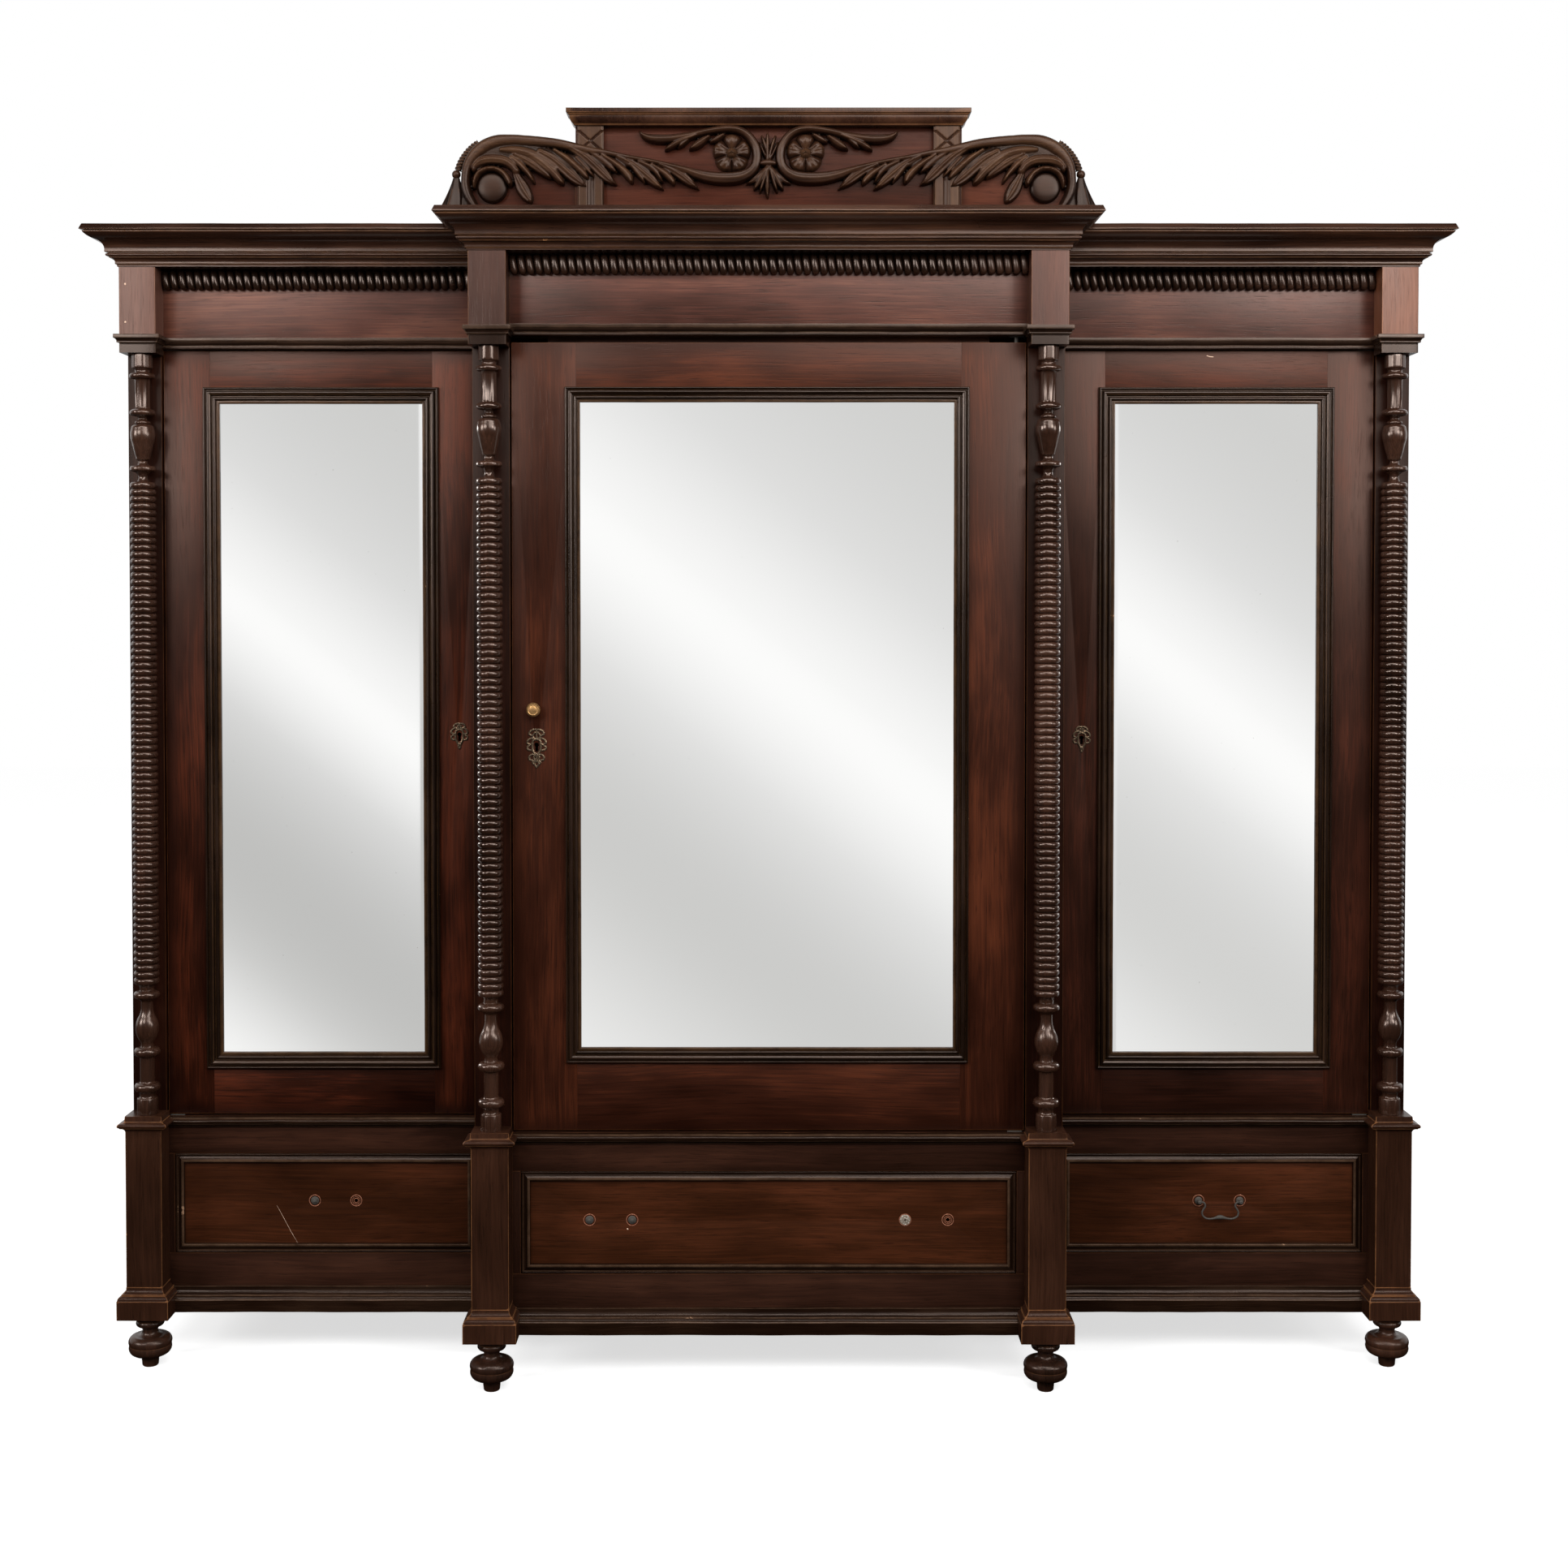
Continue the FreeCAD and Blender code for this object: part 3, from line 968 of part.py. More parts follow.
for name, drawer in DRAWERS.items():
    low, high = drawer["x"]
    face = drawer["face"]
    rear = f"{face} + drawer_front_thickness"
    end = f"{rear} + {drawer['depth']}"
    front = board(f"{name} front", (low, high), (face, rear), ("drawer_front_bottom", "drawer_front_top"))
    for place in drawer["holes"]:
        hole = rod("handle hole", "handle_hole_radius", "drawer_front_thickness + 2 * cut_overrun",
                   (place, f"{face} - cut_overrun", "handle_height"), "y")
        front = cut(f"{name} drilled front", front, hole)
    sub_part(f"{name}_drawer_front", [front])
    width = value("drawer_moulding_width")
    profile = scaled_steps(DRAWER_MOULDING_SHARES, width, value("drawer_moulding_thickness"))
    lengths = mitred_frame(value(low), value(high), value("drawer_front_bottom"), value("drawer_front_top"),
                           value(face), width, profile)
    sub_part(f"{name}_drawer_moulding", [shaped(f"{name} drawer moulding", length) for length in lengths])
    box_low, box_high = f"{low} + drawer_box_inset", f"{high} - drawer_box_inset"
    tall = ("drawer_box_bottom", "drawer_box_bottom + drawer_box_height")
    inner_x = (f"{box_low} + drawer_side", f"{box_high} - drawer_side")
    floor_z = ("drawer_box_bottom + bottom_groove_height",
               "drawer_box_bottom + bottom_groove_height + drawer_bottom")
    sub_part(f"{name}_drawer_box", [
        board(f"{name} drawer left side", (box_low, inner_x[0]), (rear, end), tall),
        board(f"{name} drawer right side", (inner_x[1], box_high), (rear, end), tall),
        board(f"{name} drawer back", inner_x, (f"{end} - drawer_side", end),
              (floor_z[1], "drawer_box_bottom + drawer_box_height")),
        board(f"{name} drawer bottom", inner_x, (rear, end), floor_z)])
    wall_low, wall_high = drawer["walls"]
    behind = (f"{rear} + drawer_gap", "inner_back")
    guide_z = ("runner_top", "runner_top + guide_height")
    runners.append(board(f"{name} left runner", (wall_low, f"{box_low} + runner_width"), behind,
                         ("runner_top - runner_height", "runner_top")))
    runners.append(board(f"{name} right runner", (f"{box_high} - runner_width", wall_high), behind,
                         ("runner_top - runner_height", "runner_top")))
    runners.append(board(f"{name} left guide", (wall_low, f"{box_low} - guide_gap"), behind, guide_z))
    runners.append(board(f"{name} right guide", (f"{box_high} + guide_gap", wall_high), behind, guide_z))

# Bail handle of the right drawer, and the old bolts left in the other two

# A share is (distance in from the post over the spacing of the posts, distance down over the drop).
BAIL_SHARES = [(0.10, 0.06), (0.115, 0.24), (0.06, 0.46), (0.03, 0.66), (0.06, 0.88), (0.18, 1)]
BAIL_MIDDLE_SHARE = 0.86
BEND_SHARE = 0.45


def bent_path(points):
    """Straight runs joined by tangent arcs, each as large as its two runs allow."""
    edges = []
    last = points[0]
    for before, corner, after in zip(points, points[1:], points[2:]):
        into, out = corner - before, after - corner
        reach = BEND_SHARE * min(into.Length, out.Length)
        into.normalize()
        out.normalize()
        half_turn = into.getAngle(out) / 2
        radius = reach / math.tan(half_turn)
        inward = (out - into).normalize()
        start, end = corner - into * reach, corner + out * reach
        through = corner + inward * (radius / math.cos(half_turn) - radius)
        edges.append(Part.LineSegment(last, start).toShape())
        edges.append(Part.Arc(start, through, end).toShape())
        last = end
    edges.append(Part.LineSegment(last, points[-1]).toShape())
    return Part.Wire(edges)


def bail(centre, axis_y):
    """A swan-neck bail: one round wire that hangs from two posts and turns in them."""
    span, drop, wire = value("handle_spacing"), value("bail_drop"), value("bail_radius")
    height = value("handle_height")
    reach = value("post_radius + bail_overlap - bail_radius")
    half_side = [(reach - span / 2, 0)]
    half_side += [(across * span - span / 2, -down * drop) for across, down in BAIL_SHARES]
    points = half_side + [(0, -BAIL_MIDDLE_SHARE * drop)] + [(-x, z) for x, z in half_side[::-1]]
    places = [FreeCAD.Vector(centre + x, axis_y, height + z) for x, z in points]
    ring = Part.Wire([Part.makeCircle(wire, places[0], places[1] - places[0])])
    whole = bent_path(places).makePipeShell([ring], True, False)
    for sign in (-1, 1):
        bend = FreeCAD.Vector(centre + sign * (span / 2 - reach), axis_y, height)
        pin = Part.makeCylinder(wire, reach + value("post_radius + bail_overlap / 2"), bend,
                                FreeCAD.Vector(sign, 0, 0))
        whole = whole.fuse(pin).fuse(Part.makeSphere(wire, bend))
    return whole.removeSplitter()


face = value(DRAWERS["right"]["face"])
axis_y = face - value("post_length - post_radius")
posts = []
for sign in (-1, 1):
    x = value("right_handle_centre") + sign * value("handle_spacing") / 2
    place = FreeCAD.Vector(x, face, value("handle_height"))
    post = Part.makeCylinder(value("post_radius"), value("post_length"), place, FreeCAD.Vector(0, -1, 0))
    post = post.fuse(Part.makeCylinder(value("rosette_radius"), value("rosette_thickness"), place,
                                       FreeCAD.Vector(0, -1, 0)))
    post = post.fuse(Part.makeCylinder(value("handle_hole_radius"), value("drawer_front_thickness"), place,
                                       FreeCAD.Vector(0, 1, 0)))
    bore = Part.makeCylinder(value("bail_radius + bail_clearance"), 4 * value("post_radius"),
                             FreeCAD.Vector(x - 2 * value("post_radius"), axis_y, value("handle_height")),
                             FreeCAD.Vector(1, 0, 0))
    posts.append(shaped("handle post", post.cut(bore).removeSplitter()))
sub_part("right_drawer_handle_posts", posts)
sub_part("right_drawer_bail_handle", [shaped("bail", bail(value("right_handle_centre"), axis_y))])

OLD_BOLTS = {
    "left": ("-(left_handle_centre + handle_spacing / 2)",),
    "centre": ("-centre_handle_offset - handle_spacing / 2", "-centre_handle_offset + handle_spacing / 2",
               "centre_handle_offset - handle_spacing / 2"),
}
for name, places in OLD_BOLTS.items():
    bolts = []
    for text in places:
        place = FreeCAD.Vector(value(text), value(DRAWERS[name]["face"]), value("handle_height"))
        head = Part.makeCylinder(value("old_bolt_radius"), value("old_bolt_stand"), place,
                                 FreeCAD.Vector(0, -1, 0))
        shank = Part.makeCylinder(value("handle_hole_radius"), value("drawer_front_thickness"), place,
                                  FreeCAD.Vector(0, 1, 0))
        bolts.append(shaped(f"{name} old bolt", head.fuse(shank).removeSplitter()))
    sub_part(f"{name}_drawer_old_bolts", bolts)

# Shelves on cleats at the sides, and a hanging rail in the middle

shelves, cleats = [], []
for name in ("left", "right"):
    low, high = SECTIONS[name]["x"]
    for index in range(int(value("shelf_count"))):
        under = f"shelf_start + {index} * shelf_pitch"
        span_y = ("side_front + front_thickness + shelf_setback", "inner_back")
        shelves.append(board(f"{name} shelf {index + 1}", (low, high), span_y,
                             (under, f"{under} + board_thickness")))
        for cleat_x in ((low, f"{low} + cleat_size"), (f"{high} - cleat_size", high)):
            cleats.append(board(f"{name} cleat", cleat_x, span_y, (f"{under} - cleat_size", under)))
sub_part("shelves", shelves)
sub_part("runners_and_cleats", runners + cleats)

rail_y = "centre_front + rail_back"
hanging = [rod("hanging rail", "rail_radius", "2 * partition_inner_face",
               ("-partition_inner_face", rail_y, "rail_height"), "x")]
for x in ("-partition_inner_face", "partition_inner_face - rail_socket_thickness"):
    disc = rod("rail socket", "rail_socket_radius", "rail_socket_thickness", (x, rail_y, "rail_height"),
               "x")
    bore = rod("rail socket bore", "rail_radius", "rail_socket_thickness + 2 * cut_overrun",
               (f"{x} - cut_overrun", rail_y, "rail_height"), "x")
    hanging.append(cut("rail socket ring", disc, bore))
sub_part("hanging_rail", hanging)

# Rebuild, check every object and write the sub-parts

document.recompute()
for item in document.Objects:
    if "Invalid" in item.State or "Error" in item.State:
        raise RuntimeError(f"{item.Label} did not rebuild: {item.State}")
for name, feature in sub_parts.items():
    if feature.Shape.isNull() or not feature.Shape.isValid():
        raise RuntimeError(f"{name} has no valid shape")
os.makedirs("parts", exist_ok=True)
for name, feature in sub_parts.items():
    feature.Shape.exportStep(f"parts/{name}.step")
box = Part.makeCompound([feature.Shape for feature in sub_parts.values()]).BoundBox
solid_count = sum(len(feature.Shape.Solids) for feature in sub_parts.values())
print(len(sub_parts), "sub-parts,", solid_count, "solids")
print("box", [round(number, 1) for number in (box.XMin, box.YMin, box.ZMin, box.XMax, box.YMax, box.ZMax)])
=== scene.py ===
"""A three-door breakfront wardrobe in mahogany, with mirrored doors over three drawers.

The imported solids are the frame. This file gives them their finishes, and works out as surfaces the
turned, moulded and carved pieces. Lengths are millimetres until a mesh is made. X runs across the
front, -Y is the front and Z is up.
"""

import json
import logging
import math
from dataclasses import dataclass, field, replace
from enum import Enum
from typing import Any, Callable, Sequence

import bmesh
import bpy
import numpy as np
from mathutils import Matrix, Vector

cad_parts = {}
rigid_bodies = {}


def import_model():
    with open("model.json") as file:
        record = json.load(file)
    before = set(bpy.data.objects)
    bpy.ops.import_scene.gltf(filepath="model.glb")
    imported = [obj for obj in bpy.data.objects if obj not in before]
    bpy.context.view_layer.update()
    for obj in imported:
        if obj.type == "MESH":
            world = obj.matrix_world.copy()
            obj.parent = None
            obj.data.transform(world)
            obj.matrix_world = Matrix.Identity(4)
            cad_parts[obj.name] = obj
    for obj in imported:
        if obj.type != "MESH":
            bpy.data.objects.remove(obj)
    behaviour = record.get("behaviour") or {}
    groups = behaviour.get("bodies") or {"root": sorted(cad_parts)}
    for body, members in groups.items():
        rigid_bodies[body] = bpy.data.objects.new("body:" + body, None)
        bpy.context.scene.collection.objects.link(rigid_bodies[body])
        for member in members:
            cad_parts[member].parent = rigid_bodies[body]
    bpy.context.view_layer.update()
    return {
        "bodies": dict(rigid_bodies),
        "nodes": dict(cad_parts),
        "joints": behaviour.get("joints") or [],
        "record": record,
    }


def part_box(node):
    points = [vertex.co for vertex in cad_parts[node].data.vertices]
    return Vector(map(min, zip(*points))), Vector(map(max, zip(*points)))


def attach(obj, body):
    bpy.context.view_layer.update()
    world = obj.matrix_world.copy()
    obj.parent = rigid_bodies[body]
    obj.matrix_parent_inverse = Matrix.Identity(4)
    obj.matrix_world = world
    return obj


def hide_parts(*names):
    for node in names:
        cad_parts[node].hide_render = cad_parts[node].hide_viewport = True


MM = 0.001
LOG = logging.getLogger("wardrobe")
PARTS = ("left", "centre", "right")
SIDES = ((-1, "left"), (1, "right"))
FACES = {"left": -122.0, "centre": -242.0, "right": -122.0}  # y of the doors' and drawers' fronts
HANDLE_HEIGHT = 291.0
FRONT, LEFT, RIGHT, UP = (np.array(way, float) for way in ((0, -1, 0), (-1, 0, 0), (1, 0, 0), (0, 0, 1)))
ARC_COUNT = 8  # points along each arc of an outline

Array = np.ndarray
Colour = tuple[float, float, float, float]
Tree, Node, Socket = bpy.types.NodeTree, bpy.types.Node, bpy.types.NodeSocket
Material, Object = bpy.types.Material, bpy.types.Object


# Nodes, colours and small sums

def linear(hex_colour: str) -> Colour:
    """Turn an sRGB colour such as "#40180b" into the linear colour that a shader takes.

    Args:
        hex_colour: six hex digits after a hash.

    Returns:
        Red, green and blue, each 0 to 1 and linear, and an alpha of 1.
    """
    channels = [int(hex_colour[place:place + 2], 16) / 255 for place in (1, 3, 5)]
    lit = [c / 12.92 if c <= 0.04045 else ((c + 0.055) / 1.055) ** 2.4 for c in channels]
    return (lit[0], lit[1], lit[2], 1.0)


def between(first: str, second: str, share: float) -> Colour:
    """The linear colour that lies a share of the way from one sRGB colour to another."""
    mixed = [a + (b - a) * share for a, b in zip(linear(first), linear(second))]
    return (mixed[0], mixed[1], mixed[2], 1.0)


def feed(tree: Tree, node: Node, inputs: dict[Any, Any]) -> None:
    """Set a node's properties and inputs, and link those inputs whose value is another node's output.

    Args:
        tree: the node's own tree.
        node: the node.
        inputs: a property, or an input's name or number, to its value or to the output that feeds it.
    """
    for key, value in inputs.items():
        if isinstance(value, Socket):
            tree.links.new(value, node.inputs[key])
        elif isinstance(key, str) and hasattr(node, key):
            setattr(node, key, value)
        else:
            node.inputs[key].default_value = value


def add_node(tree: Tree, kind: str, inputs: dict[Any, Any], output: Any = 0) -> Socket:
    """Add one node to a tree, with its settings and its links.

    Args:
        tree: the material's or world's node tree.
        kind: the node's type without its first word, such as Math for ShaderNodeMath.
        inputs: a property, or an input's name or number, to its value or to the output that feeds it.
        output: the name or number of the output that is wanted.

    Returns:
        That output. The node itself is the output's node.
    """
    node = tree.nodes.new(f"ShaderNode{kind}")
    feed(tree, node, inputs)
    return node.outputs[output]


def set_stops(ramp: Node, stops: Sequence[tuple[float, str]]) -> None:
    """Give a colour ramp its (place, sRGB colour) stops, of which the first two are its ends.

    Args:
        ramp: the ramp's node.
        stops: its stops, each place 0 to 1.
    """
    elements = ramp.color_ramp.elements
    for element, (place, colour) in zip(list(elements), stops):
        element.position, element.color = place, linear(colour)
    for place, colour in stops[2:]:
        elements.new(place).color = linear(colour)


def new_material(name: str) -> tuple[Material, Tree, Node]:
    """A new material, its node tree and its shader.

    Args:
        name: its name.

    Returns:
        The three of them.
    """
    made = bpy.data.materials.new(name)
    made.use_nodes = True
    return made, made.node_tree, made.node_tree.nodes["Principled BSDF"]


def banded_glow(name: str, strength: float, slant: tuple[float, float], span: tuple[float, float],
                stops: Sequence[tuple[float, str]]) -> Material:
    """A material that only gives off light, in a smooth ramp of greys along a slanting line.

    Args:
        name: the material's name.
        strength: how bright white is.
        slant: what a metre across and a metre up each add to the place along the line.
        span: the places where the ramp starts and ends.
        stops: the ramp's (share, sRGB colour) stops, with its two ends first.

    Returns:
        The material.
    """
    made, tree, shader = new_material(name)
    tree.nodes.remove(shader)
    x, _, z = add_node(tree, "SeparateXYZ", {0: add_node(tree, "TexCoord", {}, "Object")}).node.outputs
    up = add_node(tree, "Math", {"operation": "MULTIPLY", 0: z, 1: slant[1]})
    along = add_node(tree, "Math", {"operation": "MULTIPLY_ADD", 0: x, 1: slant[0], 2: up})
    share = add_node(tree, "MapRange", {"From Min": span[0], "From Max": span[1], "Value": along})
    ramp = add_node(tree, "ValToRGB", {"Fac": share})
    ramp.node.color_ramp.interpolation = "B_SPLINE"
    set_stops(ramp.node, stops)
    feed(tree, tree.nodes["Material Output"],
         {"Surface": add_node(tree, "Emission", {"Strength": strength, "Color": ramp})})
    return made


def box_of(node: str) -> tuple[Array, Array]:
    """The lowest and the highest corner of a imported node, in mm."""
    low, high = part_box(node)
    return np.array(low) / MM, np.array(high) / MM


def smooth_step(low: float, high: float, values: Array) -> Array:
    """Rise smoothly from 0 at low to 1 at high: the cubic 3t^2 - 2t^3 of the clamped share t."""
    share = np.clip((values - low) / (high - low), 0, 1)
    return share * share * (3 - 2 * share)


# Finishes

class Grain(Enum):
    """Where a wood finish reads the run of its grain from."""

    ATTRIBUTE = "each board's own coordinate, kept on the mesh"
    ALONG_X = "across the front"
    ALONG_Z = "upright"


class Arris(Enum):
    """How a wood finish finds the edges that are rubbed and soiled."""

    BOARD = "from the board's two corners, kept on the mesh"
    PROFILE = "from a value along the moulding's or turning's outline"
    NONE = "no edges"


@dataclass(frozen=True)
class WoodFinish:
    """Wood under an old hand-rubbed polish: streaked along the grain, soiled and rubbed at its edges.

    Mahogany is a fine-pored red-brown wood. Streaks are bands of growth 4 to 10 mm wide. Pores are
    dark dashes, drawn 2 mm wide, which is wider than they are, so that they show. Beside a board's
    edges the polish is darkest, where hands and dust never rubbed it off. A carving is darker in its
    hollows and creases and lighter along its crests, where the light line is rubbed wear and also a
    painted highlight.
    """

    name: str
    dark: str
    middle: str
    light: str
    bare: str
    streak_width: float = 7.0
    streak_length: float = 320.0
    mottle_size: float = 130.0
    pore_width: float = 2.0
    pore_length: float = 46.0
    pore_depth: float = 0.6
    contrast: float = 1.0
    roughness: float = 0.42
    specular: float = 0.3
    darkening_width: float = 16.0
    soil: float = 0.5
    line_width: float = 1.0
    line: float = 0.45
    chip_width: float = 2.6
    chips: float = 0.15
    hollow: float = 0.0
    relief: float = 0.2
    sheen: str = "#ffe6d8"
    grain: Grain = Grain.ATTRIBUTE
    arris: Arris = Arris.BOARD

    def material(self) -> Material:
        """The finish as a material, made once and then shared.

        Returns:
            The material.
        """
        known = bpy.data.materials.get(self.name)
        if known is not None:
            return known
        made, tree, shader = new_material(self.name)
        streak, mottle, pore = self._figure(tree, self._grain_coordinate(tree))
        colour, rubbed = self._edges(tree, self._wood_colour(tree, streak, mottle, pore), streak)
        feed(tree, shader, {"Base Color": colour, "Specular IOR Level": self.specular,
                            "Specular Tint": linear(self.sheen)})
        self._polish(tree, shader, streak, mottle, pore, rubbed)
        return made

    def _grain_coordinate(self, tree: Tree) -> Socket:
        """A vector in metres whose third part runs along the grain.

        Args:
            tree: the material's node tree.

        Returns:
            The vector's output.
        """
        if self.grain is Grain.ATTRIBUTE:
            return add_node(tree, "Attribute", {"attribute_name": "grain"}, "Vector")
        turn = (0, -math.pi / 2, 0) if self.grain is Grain.ALONG_X else (0, 0, 0)
        return add_node(tree, "Mapping", {"Rotation": turn, "Vector": add_node(tree, "TexCoord", {}, "Object")})

    @staticmethod
    def _stretched_noise(tree: Tree, along: Socket, across_size: float, along_size: float, detail: float,
                         shift: float) -> Socket:
        """Noise whose spots are across_size wide and along_size long, both in mm.

        Args:
            tree: the material's node tree.
            along: a vector whose third part runs along the grain.
            across_size: a spot's width.
            along_size: a spot's length.
            detail: how many finer layers the noise has.
            shift: what moves this noise away from the others.

        Returns:
            The noise, 0 to 1.
        """
        across, run = 1 / (across_size * MM), 1 / (along_size * MM)
        scaled = add_node(tree, "Mapping", {"Scale": (across, across, run), "Location": (shift, shift, shift),
                                            "Vector": along})
        return add_node(tree, "TexNoise", {"Scale": 1.0, "Detail": detail, "Roughness": 0.62, "Vector": scaled})

    def _figure(self, tree: Tree, along: Socket) -> tuple[Socket, Socket, Socket]:
        """Streaks, mottling and pores, each 0 to 1. A slow sway bends the streaks as a tree's growth does.

        Args:
            tree: the material's node tree.
            along: a vector whose third part runs along the grain.

        Returns:
            The outputs of the three.
        """
        sway = add_node(tree, "TexNoise", {"Scale": 2.2, "Detail": 1.0, "Vector": along}, "Color")
        centred = add_node(tree, "VectorMath", {"operation": "SUBTRACT", 0: sway, 1: (0.5, 0.5, 0.5)})
        bend = add_node(tree, "VectorMath", {"operation": "SCALE", 0: centred, "Scale": 6 * self.streak_width * MM})
        bent = add_node(tree, "VectorMath", {"operation": "ADD", 0: along, 1: bend})
        broad, fibre, mottle, dashes = (
            self._stretched_noise(tree, bent, *sizes) for sizes in (
                (self.streak_width, self.streak_length, 4, 0.0),
                (0.34 * self.streak_width, 0.4 * self.streak_length, 2, 5.3),
                (self.mottle_size, 3 * self.mottle_size, 3, 3.7), (self.pore_width, self.pore_length, 2, 9.1)))
        streak = add_node(tree, "Mix", {"data_type": "FLOAT", 0: 0.42, 2: broad, 3: fibre})
        return streak, mottle, add_node(tree, "MapRange", {"From Min": 0.58, "From Max": 0.70, "Value": dashes})

    def _wood_colour(self, tree: Tree, streak: Socket, mottle: Socket, pore: Socket) -> Socket:
        """Dark, middle and light wood by 0.6 streak + 0.8 mottle, which is about 0.7, with the pores dark.

        Args:
            tree: the material's node tree.
            streak: how streaked a point is, 0 to 1.
            mottle: how mottled a point is, 0 to 1.
            pore: 1 in a pore and 0 beside it.

        Returns:
            The colour.
        """
        half = add_node(tree, "Math", {"operation": "MULTIPLY", 0: mottle, 1: 0.8})
        both = add_node(tree, "Math", {"operation": "MULTIPLY_ADD", 0: streak, 1: 0.6, 2: half})
        spread = 0.21 / self.contrast
        ramp = add_node(tree, "ValToRGB", {"Fac": both})
        set_stops(ramp.node, ((0.70 - spread, self.dark), (0.70 + spread, self.light), (0.70, self.middle)))
        depth = add_node(tree, "Math", {"operation": "MULTIPLY", 0: pore, 1: self.pore_depth})
        return add_node(tree, "Mix", {"data_type": "RGBA", 0: depth, 6: ramp, 7: linear(self.dark)}, 2)

    def _edge_distance(self, tree: Tree) -> Socket:
        """Metres from the nearest arris. On a board it is the middle one of the three distances to its sides.

        Args:
            tree: the material's node tree.

        Returns:
            The distance.
        """
        if self.arris is Arris.PROFILE:
            worn = add_node(tree, "Attribute", {"attribute_name": "edge"}, "Fac")
            return add_node(tree, "Math", {"operation": "MULTIPLY", 0: worn, 1: MM})
        place = add_node(tree, "TexCoord", {}, "Object")
        low, high = (add_node(tree, "Attribute", {"attribute_name": name}, "Vector") for name in ("low", "high"))
        from_low = add_node(tree, "VectorMath", {"operation": "SUBTRACT", 0: place, 1: low})
        from_high = add_node(tree, "VectorMath", {"operation": "SUBTRACT", 0: high, 1: place})
        nearer = add_node(tree, "VectorMath", {"operation": "MINIMUM", 0: from_low, 1: from_high})
        x, y, z = add_node(tree, "SeparateXYZ", {0: nearer}).node.outputs
        least = add_node(tree, "Math", {"operation": "MINIMUM", 0: x, 1: y})
        most = add_node(tree, "Math", {"operation": "MAXIMUM", 0: x, 1: y})
        rest = add_node(tree, "Math", {"operation": "MINIMUM", 0: most, 1: z})
        return add_node(tree, "Math", {"operation": "MAXIMUM", 0: least, 1: rest})

    def _edges(self, tree: Tree, colour: Socket, streak: Socket) -> tuple[Socket, Socket]:
        """Soil a board beside its edges, darken a carving in its hollows, lighten the arris and chip it here
        and there. On the carving's crests the light line at the arris is also a painted highlight.

        Args:
            tree: the material's node tree.
            colour: the wood's colour.
            streak: how streaked a point is, 0 to 1.

        Returns:
            The worn colour, and where bare wood shows.
        """
        if self.arris is Arris.NONE:
            none = add_node(tree, "Value", {})
            none.default_value = 0.0
            return colour, none
        distance = self._edge_distance(tree)
        patch = add_node(tree, "TexNoise", {"Scale": 21.0, "Detail": 5.0, "Roughness": 0.72,
                                            "Vector": add_node(tree, "TexCoord", {}, "Object")})
        # A board darkens beside its edges, as soil. A carving darkens away from its arrises, over its hollows, creases
        # and ground.
        near, far = (1.9 * self.soil, 0.0) if self.arris is Arris.BOARD else (0.0, 1.9 * self.hollow)
        darkened = add_node(tree, "MapRange", {
            "interpolation_type": "SMOOTHSTEP", "From Min": 0.0 if near else 4 * MM,
            "From Max": self.darkening_width * MM, "To Min": near, "To Max": far, "Value": distance})
        uneven = add_node(tree, "Math", {"operation": "MULTIPLY", "use_clamp": True, 0: darkened, 1: streak})
        darkened_colour = add_node(tree, "Mix", {"data_type": "RGBA", 0: uneven, 6: colour, 7: linear(self.dark)}, 2)
        # The light line at the arris is rubbed wear. On the carving's crests it is also a painted highlight.
        edge = add_node(tree, "MapRange", {"From Min": 0.0, "From Max": self.line_width * MM,
                                           "To Min": 2.0 * self.line, "To Max": 0.0, "Value": distance})
        faint = add_node(tree, "MapRange", {"From Min": 0.32, "From Max": 0.62, "To Min": 0.15, "To Max": 0.7,
                                            "Value": patch})
        handled = add_node(tree, "Math", {"operation": "MULTIPLY", "use_clamp": True, 0: edge, 1: faint})
        worn = add_node(tree, "Mix", {"data_type": "RGBA", 0: handled, 6: darkened_colour,
                                      7: between(self.light, self.bare, 0.3)}, 2)
        start = 0.72 - 0.14 * self.chips
        reach = add_node(tree, "MapRange", {"From Min": start, "From Max": start + 0.1, "To Min": 0.0,
                                            "To Max": self.chip_width * MM, "Value": patch})
        inside = add_node(tree, "Math", {"operation": "SUBTRACT", 0: reach, 1: distance})
        chipped = add_node(tree, "MapRange", {"From Min": 0.0, "From Max": 0.4 * MM, "Value": inside})
        bared = add_node(tree, "Mix", {"data_type": "RGBA", 0: chipped, 6: worn, 7: linear(self.bare)}, 2)
        return bared, chipped

    def _polish(self, tree: Tree, shader: Node, streak: Socket, mottle: Socket, pore: Socket,
                rubbed: Socket) -> None:
        """Roughness that follows the wear, and a slight relief of pores and streaks.

        Args:
            tree: the material's node tree.
            shader: the material's shader.
            streak: how streaked a point is, 0 to 1.
            mottle: how mottled a point is, 0 to 1.
            pore: 1 in a pore and 0 beside it.
            rubbed: 1 where bare wood shows.
        """
        duller = add_node(tree, "Math", {"operation": "MULTIPLY_ADD", 0: mottle, 1: 0.3, 2: self.roughness - 0.15})
        rough = add_node(tree, "Math", {"operation": "MULTIPLY_ADD", "use_clamp": True, 0: rubbed, 1: 0.3, 2: duller})
        relief = add_node(tree, "Math", {"operation": "SUBTRACT", 0: streak, 1: pore})
        bump = add_node(tree, "Bump", {"Strength": 0.35, "Distance": self.relief * MM, "Height": relief})
        feed(tree, shader, {"Roughness": rough, "Normal": bump})


